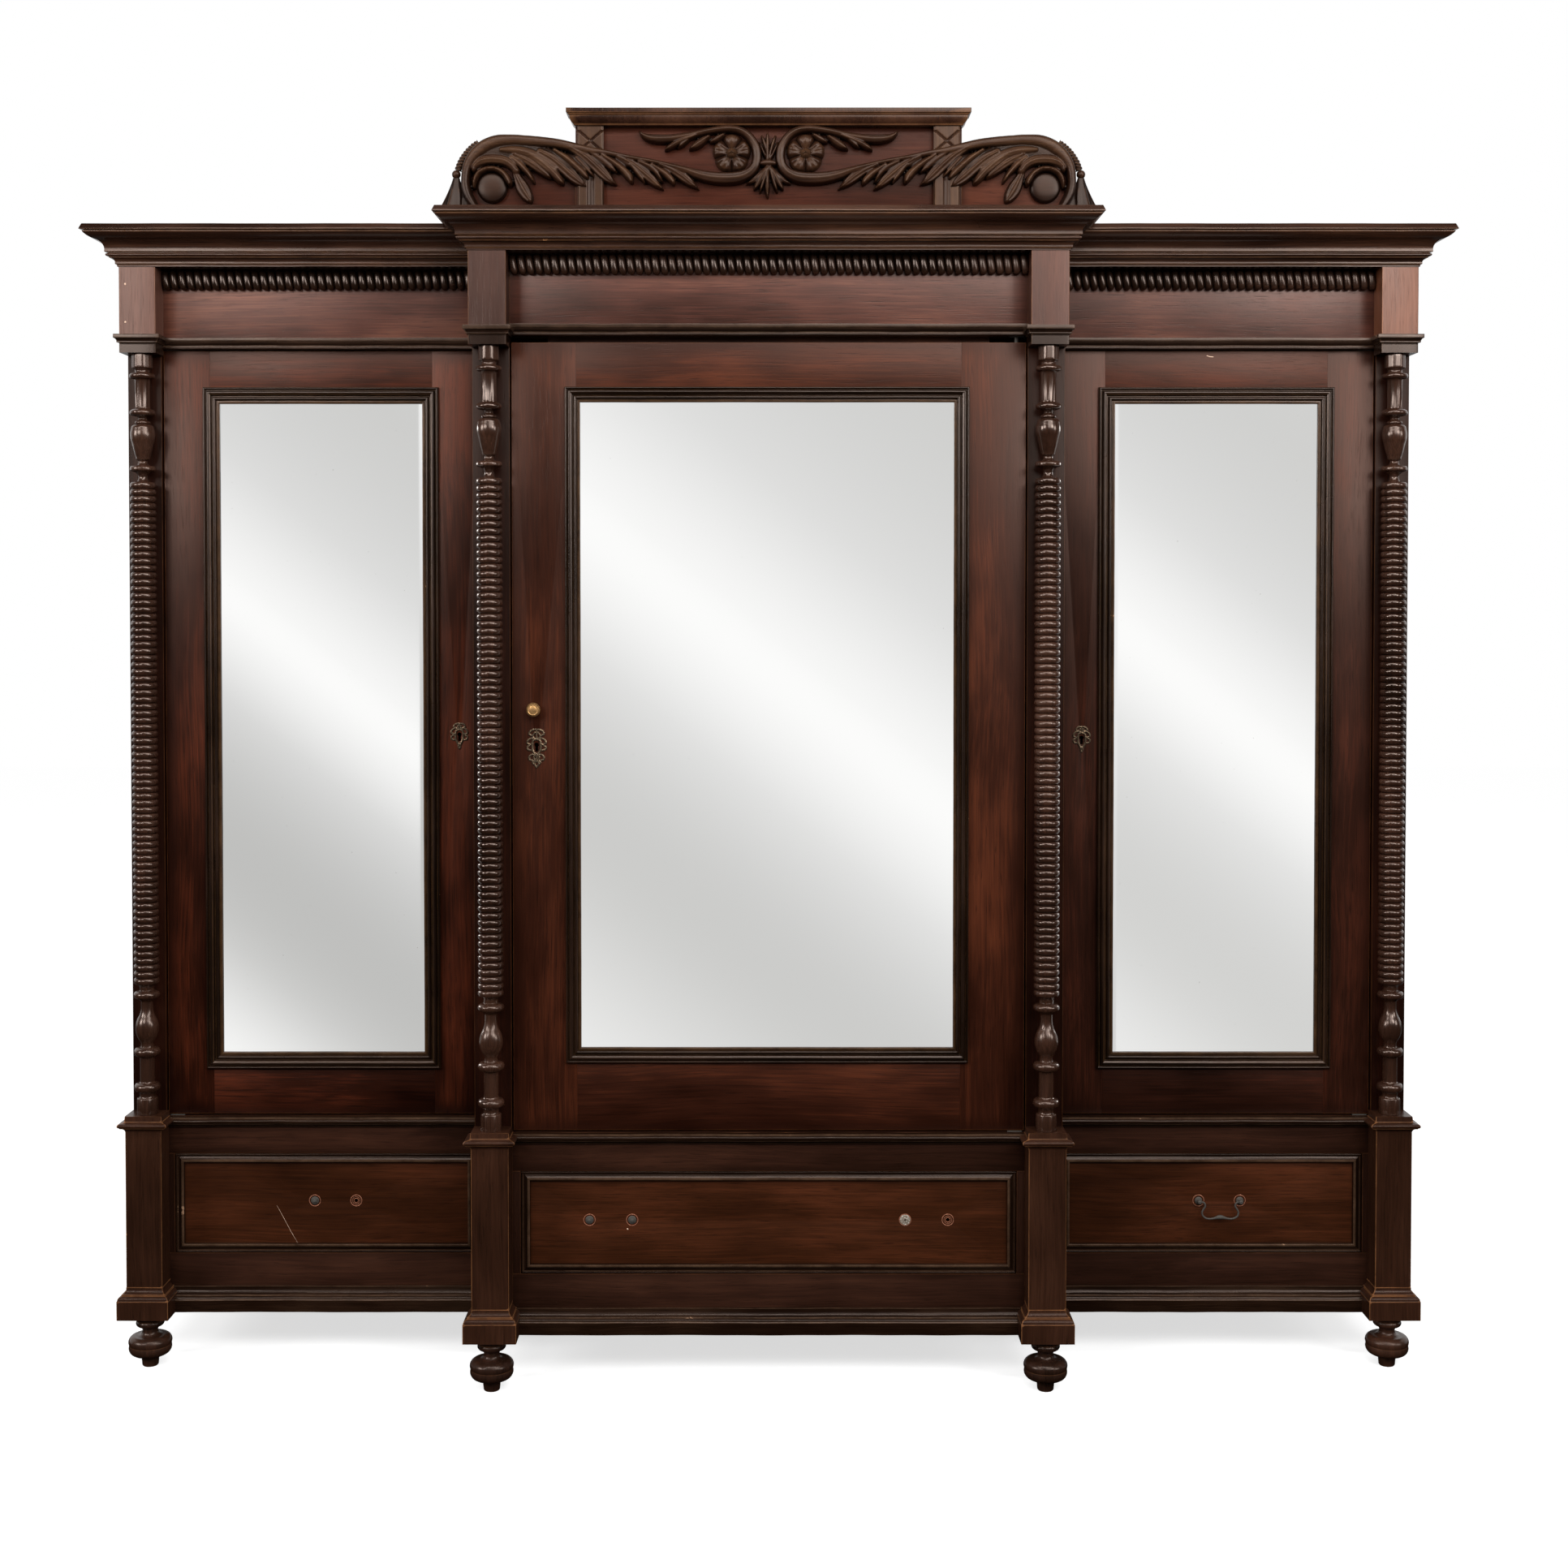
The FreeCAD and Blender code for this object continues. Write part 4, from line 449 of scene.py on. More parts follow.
@dataclass(frozen=True)
class MetalFinish:
    """Old iron or brass: a metal whose bright ground shows through a dull, spotted tarnish."""

    name: str
    bright: str
    tarnish: str
    cover: float
    roughness: float
    spot_size: float = 3.0

    def material(self) -> Material:
        """The finish as a material, made once and then shared.

        Returns:
            The material.
        """
        known = bpy.data.materials.get(self.name)
        if known is not None:
            return known
        made, tree, shader = new_material(self.name)
        spots = add_node(tree, "TexNoise", {"Scale": 1 / (self.spot_size * MM), "Detail": 6.0, "Roughness": 0.65,
                                            "Vector": add_node(tree, "TexCoord", {}, "Object")})
        cover = add_node(tree, "MapRange", {"From Min": 0.75 - self.cover * 0.6, "From Max": 0.95 - self.cover * 0.6,
                                            "Value": spots})
        colour = add_node(tree, "Mix", {"data_type": "RGBA", 0: cover, 6: linear(self.bright),
                                        7: linear(self.tarnish)}, 2)
        rough = add_node(tree, "MapRange", {"To Min": self.roughness, "To Max": self.roughness + 0.3, "Value": cover})
        bare = add_node(tree, "MapRange", {"To Min": 1.0, "To Max": 0.1, "Value": cover})
        bump = add_node(tree, "Bump", {"Strength": 0.3, "Distance": 0.15 * MM, "Height": spots})
        feed(tree, shader, {"Base Color": colour, "Roughness": rough, "Metallic": bare,
                            "Specular IOR Level": 0.3, "Normal": bump})
        return made


@dataclass(frozen=True)
class MirrorFinish:
    """Silvered plate glass, flat and clear, with the silver gone in specks."""

    name: str
    silver: str = "#f4f4f3"
    lost: str = "#8f8778"

    def material(self) -> Material:
        """The finish as a material.

        Returns:
            The material.
        """
        made, tree, shader = new_material(self.name)
        place = add_node(tree, "TexCoord", {}, "Object")
        specks = add_node(tree, "TexNoise", {"Scale": 260.0, "Detail": 3.0, "Vector": place})
        lost = add_node(tree, "MapRange", {"From Min": 0.76, "From Max": 0.80, "Value": specks})
        colour = add_node(tree, "Mix", {"data_type": "RGBA", 0: lost, 6: linear(self.silver),
                                        7: linear(self.lost)}, 2)
        feed(tree, shader, {"Base Color": colour, "Metallic": 1.0, "Roughness": 0.02})
        return made


Finish = WoodFinish | MetalFinish | MirrorFinish
LEFT_STILE = WoodFinish("left_door_mahogany", "#100301", "#260c04", "#50200e", "#b5763f", 5, 260, roughness=0.36,
                        specular=0.4, sheen="#ffd2c0", soil=0.8, darkening_width=34, chips=0.0)
CENTRE_STILE = replace(LEFT_STILE, name="centre_door_mahogany", dark="#180703", middle="#2e1309", light="#4e2412",
                       specular=0.32, soil=0.6)
RIGHT_STILE = replace(LEFT_STILE, name="right_door_mahogany", dark="#130603", middle="#281109", light="#461f12",
                      specular=0.36, soil=0.6)
STRIP_MAHOGANY = WoodFinish("pilaster_strip_mahogany", "#110603", "#200c06", "#36180d", "#b5763f", 5, 260,
                            roughness=0.34, specular=0.15, chips=0.0)
FRIEZE_MAHOGANY = WoodFinish("frieze_mahogany", "#230f08", "#422118", "#603829", "#c08a58", 3.6, 240, roughness=0.36,
                             specular=0.5, soil=0.5, chips=0.1, contrast=1.3, pore_depth=0.75, sheen="#ffe0d4")
# The four frieze blocks are lit and shaded copies of one mahogany: the outer two are painted lighter as painted sheen,
# and the left inner one darker as painted shade.
BLOCK_FINISH = WoodFinish("block_mahogany", "#24110b", "#3d2118", "#573529", "#c08a58", 4, 130, roughness=0.36,
                          specular=0.5, arris=Arris.PROFILE, chips=0.3, contrast=0.9, sheen="#ffdccf")
PAINTED_SHEEN_BLOCK = replace(BLOCK_FINISH, name="light_block_mahogany", dark="#301a13", middle="#4e3228", light="#69483d")
PAINTED_SHEEN_ORANGE_BLOCK = replace(BLOCK_FINISH, name="orange_block_mahogany", dark="#3a1d10", middle="#603825", light="#7b4f3c")
PAINTED_SHADE_BLOCK = replace(BLOCK_FINISH, name="dark_block_mahogany", dark="#180a06", middle="#27130c", light="#3a2017")
DRAWER_MAHOGANY = WoodFinish("drawer_mahogany", "#1a0b05", "#34190b", "#502815", "#a5673a", 6, 300, roughness=0.34,
                             specular=0.15, darkening_width=26, contrast=0.85)
RAIL_MAHOGANY = WoodFinish("rail_mahogany", "#170b06", "#2c1810", "#402519", "#a5673a", 6, 300, roughness=0.32,
                           specular=0.18, contrast=0.85)
PANEL_MAHOGANY = WoodFinish("crest_panel_mahogany", "#200c06", "#371910", "#4d281b", "#b5763f", 6, 300,
                            roughness=0.34, specular=0.08, contrast=0.85)
PEDESTAL_FINISH = WoodFinish("pedestal_mahogany", "#170b06", "#2f1a10", "#43281b", "#b07748", 5, 200, roughness=0.32,
                             specular=0.25, line=0.9, arris=Arris.PROFILE, chips=0.45, contrast=0.8)
TURNED_EBONISED = WoodFinish("turned_ebonised_mahogany", "#150b06", "#2b1911", "#40281d", "#8a5c3c", 5, 120,
                             roughness=0.22, specular=0.75, line=0.1, chips=0.0, grain=Grain.ALONG_Z,
                             arris=Arris.PROFILE, relief=0.03, pore_depth=0.25)
FOOT_FINISH = WoodFinish("foot_ebonised_mahogany", "#160c07", "#2c1a12", "#45291c", "#a06c44", 6, 90,
                         roughness=0.3, specular=0.45, chips=0.4, grain=Grain.ALONG_Z, arris=Arris.PROFILE,
                         relief=0.05)
MOULDED_EBONISED = WoodFinish("moulded_ebonised_mahogany", "#0e0704", "#1c100a", "#2c1b12", "#96745a", 4, 200,
                              roughness=0.26, specular=0.35, line=0.3, chips=0.1, arris=Arris.PROFILE, relief=0.05)
EDGE_WORN_EBONISED = WoodFinish("edge_worn_ebonised_mahogany", "#0f0603", "#1c0f08", "#2c1c12", "#8c6c54", 4, 200,
                                roughness=0.24, specular=0.3, line=0.6, chips=0.35, arris=Arris.PROFILE,
                                relief=0.08)
MIRROR_MOULDING_FINISH = WoodFinish("mirror_moulding_mahogany", "#0b0502", "#180d07", "#2a190f", "#a8794c", 4, 200,
                                    roughness=0.26, specular=0.5, line=0.3, chips=0.2, arris=Arris.PROFILE,
                                    relief=0.05)
CORNICE_FINISH = WoodFinish("cornice_mahogany", "#120805", "#29170f", "#3f2619", "#a87347", 5, 300, roughness=0.26,
                            specular=0.45, line=0.45, chips=0.1, arris=Arris.PROFILE, relief=0.1)
BOBBIN_FINISH = WoodFinish("bobbin_mahogany", "#100804", "#22140d", "#372219", "#8a5c3c", 5, 160, roughness=0.24,
                           specular=0.5, line=0.0, chips=0.0, arris=Arris.PROFILE, relief=0.03)
# The carving is darkened in its hollows and creases (hollow). It gets a light line along its crests (line) that is
# rubbed wear and also a painted highlight.
CARVED_FINISH = WoodFinish("carved_mahogany", "#0d0503", "#2c190f", "#47301f", "#8f6848", 5, 140, roughness=0.34,
                           specular=0.22, hollow=0.9, darkening_width=11, line_width=3.0, line=0.35, chips=0.0,
                           arris=Arris.PROFILE, relief=0.05)
CARCASS_PINE = WoodFinish("aged_pine", "#4c3119", "#7a5630", "#9a7648", "#b89a6c", 11, 500,
                          roughness=0.62, soil=0.7, chips=0.0)
BLACKENED_IRON = MetalFinish("blackened_iron", "#6e4e36", "#22130b", 0.55, 0.24)
ESCUTCHEON_IRON = MetalFinish("cast_escutcheon_iron", "#7a6650", "#1c130e", 0.55, 0.32, 2.0)
WORN_BRASS = MetalFinish("worn_brass", "#a07c50", "#6b4a2a", 0.5, 0.36)
BRIGHT_STEEL = MetalFinish("bright_steel", "#ece6dc", "#6e6254", 0.75, 0.3)
BARE_WOOD = WoodFinish("bare_mahogany", "#7a4a34", "#a86f55", "#c89a82", "#d8b8a0", roughness=0.5, specular=0.2,
                       chips=0.0, contrast=0.4)
RUBBED_COPPER = MetalFinish("rubbed_copper_wash", "#c08468", "#7a4630", 0.6, 0.45, 4.0)
RAIL_PLAIN = WoodFinish("inside_mahogany", "#1c0e08", "#341b12", "#512c1b", "#a5673a", grain=Grain.ALONG_X,
                        arris=Arris.NONE)


# Surfaces

@dataclass
class Surface:
    """Points in mm, faces as rows of point numbers, and what the finishes read at each point."""

    points: Array
    faces: list[Array]
    grain: Array
    edge: Array

    def mirrored(self) -> "Surface":
        """Its mirror image across the middle of the wardrobe, with the faces turned back outwards."""
        flip = np.array([-1.0, 1.0, 1.0])
        return Surface(self.points * flip, [rows[:, ::-1] for rows in self.faces], self.grain, self.edge)


def join(parts: Sequence[Surface]) -> Surface:
    """Several surfaces as one, each keeping its own shell.

    Args:
        parts: one surface or more.

    Returns:
        The one surface.
    """
    starts = np.cumsum([0] + [len(part.points) for part in parts[:-1]])
    faces = [rows + start for part, start in zip(parts, starts) for rows in part.faces]
    return Surface(np.vstack([part.points for part in parts]), faces, np.vstack([part.grain for part in parts]),
                   np.concatenate([part.edge for part in parts]))


def grid_faces(rows: int, columns: int, closed: bool = False) -> Array:
    """Number the four corners of each cell of a grid of points kept row by row.

    Args:
        rows: how many rows of points.
        columns: how many points are in a row.
        closed: whether the last point of a row joins its first.

    Returns:
        One row of four point numbers for each cell.
    """
    row = np.arange(rows - 1)[:, None]
    column = np.arange(columns if closed else columns - 1)[None, :]
    next_column = (column + 1) % columns
    corners = [row * columns + column, row * columns + next_column,
               (row + 1) * columns + next_column, (row + 1) * columns + column]
    return np.stack([np.broadcast_to(c, (row.size, column.size)) for c in corners], axis=-1).reshape(-1, 4)


def tube_faces(rows: int, columns: int) -> list[Array]:
    """The faces of a tube of rings of points: its sides, and a cap on its first and on its last ring."""
    ring = np.arange(columns)
    return [grid_faces(rows, columns, closed=True), np.array([ring, ring[::-1] + (rows - 1) * columns])]


def distances(points: Array) -> Array:
    """How far along a line of points each of them is, in mm."""
    return np.concatenate([[0], np.cumsum(np.linalg.norm(np.diff(points, axis=0), axis=1))])


def flats(angle: Array, count: int) -> Array:
    """How near a regular polygon's side is at an angle, over how far its corners are.

    It is cos(h) over the cosine of the angle from the side's middle, where h is half a side's turn.
    """
    turn = 2 * math.pi / count
    return np.cos(turn / 2) / np.cos((angle + turn / 2) % turn - turn / 2)


def make_piece(name: str, surface: Surface, finish: Finish, body: str,
               replaces: Sequence[str] = (), crease: float = 38.0) -> Object:
    """Make a surface into an object that rides on a body.

    Args:
        name: the piece's name.
        surface: its points and faces, in mm.
        finish: the finish that gives its material.
        body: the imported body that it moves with.
        replaces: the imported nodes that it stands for.
        crease: degrees past which an edge stays sharp.

    Returns:
        The new object.
    """
    mesh = bpy.data.meshes.new(name)
    faces = [row for rows in surface.faces for row in rows.tolist()]
    mesh.from_pydata((surface.points * MM).tolist(), [], faces)
    grain = mesh.attributes.new("grain", "FLOAT_VECTOR", "POINT")
    grain.data.foreach_set("vector", (surface.grain * MM).astype(np.float32).ravel())
    edge = mesh.attributes.new("edge", "FLOAT", "POINT")
    edge.data.foreach_set("value", surface.edge.astype(np.float32))
    work = bmesh.new()
    work.from_mesh(mesh)
    bmesh.ops.recalc_face_normals(work, faces=work.faces)
    work.to_mesh(mesh)
    work.free()
    mesh.shade_smooth()
    mesh.set_sharp_from_angle(angle=math.radians(crease))
    piece = bpy.data.objects.new(name, mesh)
    bpy.context.scene.collection.objects.link(piece)
    mesh.materials.append(finish.material())
    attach(piece, body)
    if replaces:
        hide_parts(*replaces)
    LOG.info("%s: %d faces on %s", name, len(mesh.polygons), body)
    return piece


def dress(node: Object, finish: Finish) -> None:
    """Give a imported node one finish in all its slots.

    Args:
        node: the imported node.
        finish: the finish that gives its material.
    """
    made = finish.material()
    if not node.data.materials:
        node.data.materials.append(made)
    for place in node.material_slots:
        place.material = made


# Working out shapes

def arc_points(start: Array, through: Array, end: Array, count: int) -> Array:
    """Points along the circle through three points, from after the first to the last.

    The centre is where the perpendicular bisectors of the two chords meet, and the points turn about
    it by equal angles, by way of the middle point.

    Args:
        start: the arc's first point.
        through: a point on it.
        end: its last point.
        count: how many points it gets.

    Returns:
        The points, without the first.
    """
    matrix = 2 * np.array([through - start, end - start])
    sums = np.array([through @ through - start @ start, end @ end - start @ start])
    centre = np.linalg.solve(matrix, sums)
    first, middle, last = (math.atan2(*(point - centre)[::-1]) for point in (start, through, end))
    turn = (last - first) % (2 * math.pi)
    if (middle - first) % (2 * math.pi) > turn:
        turn -= 2 * math.pi
    angles = first + turn * np.arange(1, count + 1) / count
    radius = np.linalg.norm(start - centre)
    return centre + radius * np.stack([np.cos(angles), np.sin(angles)], axis=1)


@dataclass(frozen=True)
class Outline:
    """A drawn outline: its points in mm, and for each how far it is along to the nearest arris."""

    points: Array
    edge: Array

    @staticmethod
    def drawn(steps: Sequence[Any], across: float = 1, along: float = 1, base: float = 0.0,
              round_off: float = 0.6) -> "Outline":
        """Draw an outline from shares: each step is a point, or a through point and an end of an arc.

        Args:
            steps: the shares, of the width first and of the height second.
            across: the width in mm.
            along: the height in mm.
            base: what is added to each height.
            round_off: how far each sharp corner is eased, in mm.

        Returns:
            The outline, with its corners eased and marked.
        """
        scale, shift = np.array([across, along]), np.array([0.0, base])
        points = [np.array(steps[0], float) * scale + shift]
        for step in steps[1:]:
            if isinstance(step[0], tuple):
                through, end = (np.array(p, float) * scale + shift for p in step)
                points.extend(arc_points(points[-1], through, end, ARC_COUNT))
            else:
                points.append(np.array(step, float) * scale + shift)
        return Outline.eased(np.array(points), round_off)

    @staticmethod
    def eased(points: Array, round_off: float) -> "Outline":
        """Ease the sharp corners, and put guard points beside them so that wear stays close to them.

        Args:
            points: the drawn points.
            round_off: how far a sharp corner is eased, in mm.

        Returns:
            The outline, with each point's distance from the nearest sharp corner.
        """
        sharp, guard, long = math.radians(25), 3.5, 9  # a corner's turn, its guard's distance and a side that has one
        made, corner_places = [points[0]], []
        for before, corner, after in zip(points, points[1:], points[2:]):
            into, out = corner - before, after - corner
            length_in, length_out = np.linalg.norm(into), np.linalg.norm(out)
            turn = abs(math.atan2(into[0] * out[1] - into[1] * out[0], into @ out))
            if turn < sharp:
                made.append(corner)
                continue
            reach_in, reach_out = min(round_off, 0.4 * length_in), min(round_off, 0.4 * length_out)
            start, end = corner - into / length_in * reach_in, corner + out / length_out * reach_out
            if length_in > long:
                made.append(corner - into / length_in * guard)
            made.extend([start, 0.25 * start + 0.5 * corner + 0.25 * end, end])
            corner_places.append(len(made) - 2)
            if length_out > long:
                made.append(corner + out / length_out * guard)
        made.append(points[-1])
        drawn = np.array(made)
        along = distances(drawn)
        if corner_places:
            edge = np.abs(along[:, None] - along[corner_places][None, :]).min(axis=1)
        else:
            edge = np.full(len(drawn), 20.0)
        return Outline(drawn, edge)


def hand_wobble(places: Array, amount: float, seed: float) -> Array:
    """Small moves that keep hand-worked edges from being dead straight.

    Each part of the move is a sum of two slow sine waves of the place, 90 and 370 mm long.

    Args:
        places: the points, in mm.
        amount: how far a point moves, in mm.
        seed: what tells these moves from others.

    Returns:
        A move for each point.
    """
    x, y, z = places.T
    waves = [np.sin(x / 59 + z / 83 + seed) + 0.7 * np.sin((x + y + z) / 14.3 + 2 * seed),
             np.sin(x / 71 - z / 47 + 1.3 * seed) + 0.6 * np.sin((x - y - z) / 17.1 + seed),
             np.sin(x / 47 + y / 61 + 0.7 * seed) + 0.7 * np.sin((x + z) / 15.9 - seed)]
    return amount * 0.5 * np.stack(waves, axis=1)


def mitred_length(outline: Outline, start: Array, end: Array, out_start: Array, out_end: Array, up: Array,
                  step: float = 30.0, wobble: float = 0.25, seed: float = 0.0) -> Surface:
    """One length of moulding: its outline carried from start to end, with its ends cut to mitres.

    A point of the outline (o, u) is at start + o*out_start + u*up at one end and at
    end + o*out_end + u*up at the other, and goes straight between them.

    Args:
        outline: the section, as an open line whose two ends lie on the wall behind it.
        start: where the section's zero starts.
        end: where it ends.
        out_start: how far and which way the section's first part goes at the start.
        out_end: the same at the end.
        up: the way of the section's second part.
        step: how far apart the rings of points are.
        wobble: how far hand work strays, in mm.
        seed: what tells this length's wobble and grain from the others'.

    Returns:
        A closed surface.
    """
    run = np.linalg.norm(end - start)
    rings = max(2, int(run / step) + 1)
    share = np.linspace(0, 1, rings)[:, None, None]
    section_o, section_u = outline.points[None, :, :1], outline.points[None, :, 1:]
    first = start + section_o * out_start + section_u * up
    last = end + section_o * out_end + section_u * up
    points = first * (1 - share) + last * share
    along = (share * run + np.zeros_like(section_o))[..., 0]
    rows, columns = points.shape[:2]
    flat = points.reshape(-1, 3)
    fade = smooth_step(0, 12, np.minimum(along, run - along)).reshape(-1, 1)
    flat = flat + hand_wobble(flat, wobble, seed) * fade
    across = np.broadcast_to(distances(outline.points)[None, :], (rows, columns))
    grain = np.stack([across.ravel() + 91 * seed, np.full(flat.shape[0], 37 * seed), along.ravel() + 533 * seed],
                     axis=1)
    edge = np.broadcast_to(outline.edge[None, :], (rows, columns)).ravel()
    return Surface(flat, tube_faces(rows, columns), grain, edge)


def frame_of_lengths(outline: Outline, low: Array, high: Array, face: float, seed: float) -> Surface:
    """Four mitred lengths round a rectangle on a face that looks to -Y: inset first, then height.

    Args:
        outline: the section.
        low: the rectangle's lowest corner, as x and z.
        high: its highest.
        face: the face's y.
        seed: what tells its wobble and grain from another's.

    Returns:
        The four lengths as one surface.
    """
    corners = [(low[0], low[1]), (high[0], low[1]), (high[0], high[1]), (low[0], high[1])]
    inward = [(1, 1), (-1, 1), (-1, -1), (1, -1)]
    lengths = []
    for index in range(4):
        ends = (index, (index + 1) % 4)
        start, end = (np.array([corners[i][0], face, corners[i][1]]) for i in ends)
        out_start, out_end = (np.array([inward[i][0], 0, inward[i][1]], float) for i in ends)
        lengths.append(mitred_length(outline, start, end, out_start, out_end, FRONT, wobble=0.2, seed=seed + index))
    return join(lengths)


def moulded_post(x_span: tuple[float, float], y_front: float, y_back: float, outline: Outline,
                 seed: float) -> Surface:
    """A block whose front and sides all follow one outline of (offset, height), flat behind.

    Each height is one ring: left side, eased front corners, right side, and straight across the back.
    A row of the front's table gives the share of the way across, how far right of it and how far
    behind the face the point is, and its distance from the corner.

    Args:
        x_span: where its sides are, without their offset.
        y_front: where its front is.
        y_back: where its back is.
        outline: the profile that is carried along or round.
        seed: what tells its hand work and grain from another's.

    Returns:
        A closed surface.
    """
    low, high = x_span
    offset, height = outline.points[:, 0], outline.points[:, 1]
    width = high - low + 2 * offset
    side = [(y_back + (y_front - offset - y_back) * share, (1 - share) * (y_back - y_front))
            for share in (0.0, 0.5, 0.92)]
    front = ((0.0, 0.0, 0.6, 0.0), (0.0, 0.6, 0.0, 0.0), (0.06, 0.0, 0.0, 3.5), (0.5, 0.0, 0.0, 30.0),
             (0.94, 0.0, 0.0, 3.5), (1.0, 0.0, 0.6, 0.0), (1.0, -0.6, 0.0, 0.0))
    rings = [(low - offset, y, worn) for y, worn in side]
    rings += [(low - offset + width * share + right, y_front - offset + behind, worn)
              for share, right, behind, worn in front]
    rings += [(high + offset, y, worn) for y, worn in side[::-1]]
    xs, ys = (np.stack([ring[part] for ring in rings], axis=1) for part in (0, 1))
    zs = np.broadcast_to(height[:, None], xs.shape)
    points = np.stack([xs, ys, zs], axis=-1).reshape(-1, 3)
    edge = np.minimum(np.array([ring[2] for ring in rings])[None, :], outline.edge[:, None]).ravel()
    points = points + hand_wobble(points, 0.22, seed)
    points[:, 1] = np.minimum(points[:, 1], y_back)
    grain = points + np.array([211 * seed, 73 * seed, 409 * seed])
    return Surface(points, tube_faces(*xs.shape), grain, edge)


def turned_surface(outline: Outline, centre: Sequence[float], segments: int,
                   shape: Callable[[Array, Array, Array], Array] | None = None,
                   axis: str = "z") -> Surface:
    """Turn an outline of (radius, distance) about an axis through a point.

    A point is the centre + r(cos t, sin t) across the axis + distance along it, with r changed by the
    shape function where the turning is fluted or faceted. The axis is "z", or "y" for one that runs
    out to the front.

    Args:
        outline: the profile that is carried along or round.
        centre: the point that distance 0 is at.
        segments: how many points go round.
        shape: a function of the radius, the distance and the angle that gives the new radius.
        axis: the way that the axis runs.

    Returns:
        A closed surface.
    """
    angle = 2 * math.pi * np.arange(segments)[None, :] / segments
    radius, along = outline.points[:, :1] + 0 * angle, outline.points[:, 1:] + 0 * angle
    if shape is not None:
        radius = shape(radius, along, angle + 0 * radius)
    across, over = radius * np.cos(angle), radius * np.sin(angle)
    parts = (across, over, along) if axis == "z" else (across, -along, over)
    points = np.stack(parts, axis=-1).reshape(-1, 3) + np.array(centre)
    edge = np.broadcast_to(outline.edge[:, None], radius.shape).ravel()
    return Surface(points, tube_faces(len(outline.points), segments), points.copy(), edge)


def swept_rod(path: Array, radii: Array, segments: int = 14) -> Surface:
    """A round rod along a path, of the given radius at each point.

    Each ring lies square to the path's own direction, found from the points before and after it.

    Args:
        path: the points along its middle, in mm.
        radii: its radius at each of them.
        segments: how many points go round.

    Returns:
        A closed surface.
    """
    direction = np.gradient(path, axis=0)
    direction /= np.linalg.norm(direction, axis=1, keepdims=True)
    spare = np.where(np.abs(direction[:, 1:2]) < 0.9, np.array([[0, 1.0, 0]]), np.array([[1.0, 0, 0]]))
    first = np.cross(direction, spare)
    first /= np.linalg.norm(first, axis=1, keepdims=True)
    second = np.cross(direction, first)
    angle = 2 * math.pi * np.arange(segments) / segments
    ring = (first[:, None, :] * np.cos(angle)[None, :, None] + second[:, None, :] * np.sin(angle)[None, :, None])
    points = (path[:, None, :] + ring * radii[:, None, None]).reshape(-1, 3)
    return Surface(points, tube_faces(len(path), segments), points.copy(), np.full(len(points), 4.0))


def smooth_path(points: Sequence[Sequence[float]], count: int) -> Array:
    """A smooth line through the points: a Catmull-Rom spline, count steps between each two.

    Args:
        points: the points that it goes through.
        count: how many steps go between two of them.

    Returns:
        The points of the line.
    """
    knots = np.array(points, float)
    knots = np.vstack([2 * knots[0] - knots[1], knots, 2 * knots[-1] - knots[-2]])
    t = np.arange(count)[:, None] / count
    parts = [0.5 * (2 * b + (c - a) * t + (2 * a - 5 * b + 4 * c - d) * t ** 2 + (3 * b - a - 3 * c + d) * t ** 3)
             for a, b, c, d in zip(knots, knots[1:], knots[2:], knots[3:])]
    return np.vstack(parts + [knots[-2:-1]])


# Boards

def shells_of(node: Object) -> list[Array]:
    """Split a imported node's loose triangles into its solids, each as rows of three corners in mm.

    The triangles come one solid after another. An edge is open from the first triangle that has it to
    the second, so a solid ends where no edge is open. Corners are told apart to 0.001 mm.

    Args:
        node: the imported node.

    Returns:
        For each solid, its triangles.
    """
    mesh = node.data
    mesh.calc_loop_triangles()
    places = np.empty(len(mesh.vertices) * 3)
    mesh.vertices.foreach_get("co", places)
    corners = np.empty(len(mesh.loop_triangles) * 3, dtype=np.int64)
    mesh.loop_triangles.foreach_get("vertices", corners)
    places = places.reshape(-1, 3)
    unique, number = np.unique(np.round(places * 1e6).astype(np.int64), axis=0, return_inverse=True)
    triangles = number.ravel()[corners].reshape(-1, 3)
    pairs = np.sort(np.concatenate([triangles[:, [0, 1]], triangles[:, [1, 2]], triangles[:, [2, 0]]]), axis=1)
    key = pairs[:, 0] * len(unique) + pairs[:, 1]
    owner = np.tile(np.arange(len(triangles)), 3)
    order = np.lexsort((owner, key))
    key, owner = key[order], owner[order]
    starts = np.r_[True, key[1:] != key[:-1]]
    rank = np.arange(len(key)) - np.maximum.accumulate(np.where(starts, np.arange(len(key)), 0))
    change = np.zeros(len(triangles), dtype=np.int64)
    np.add.at(change, owner, np.where(rank % 2 == 0, 1, -1))
    ends = np.flatnonzero(np.cumsum(change) == 0) + 1
    return [unique[part] / 1000.0 for part in np.split(triangles, ends[:-1])]


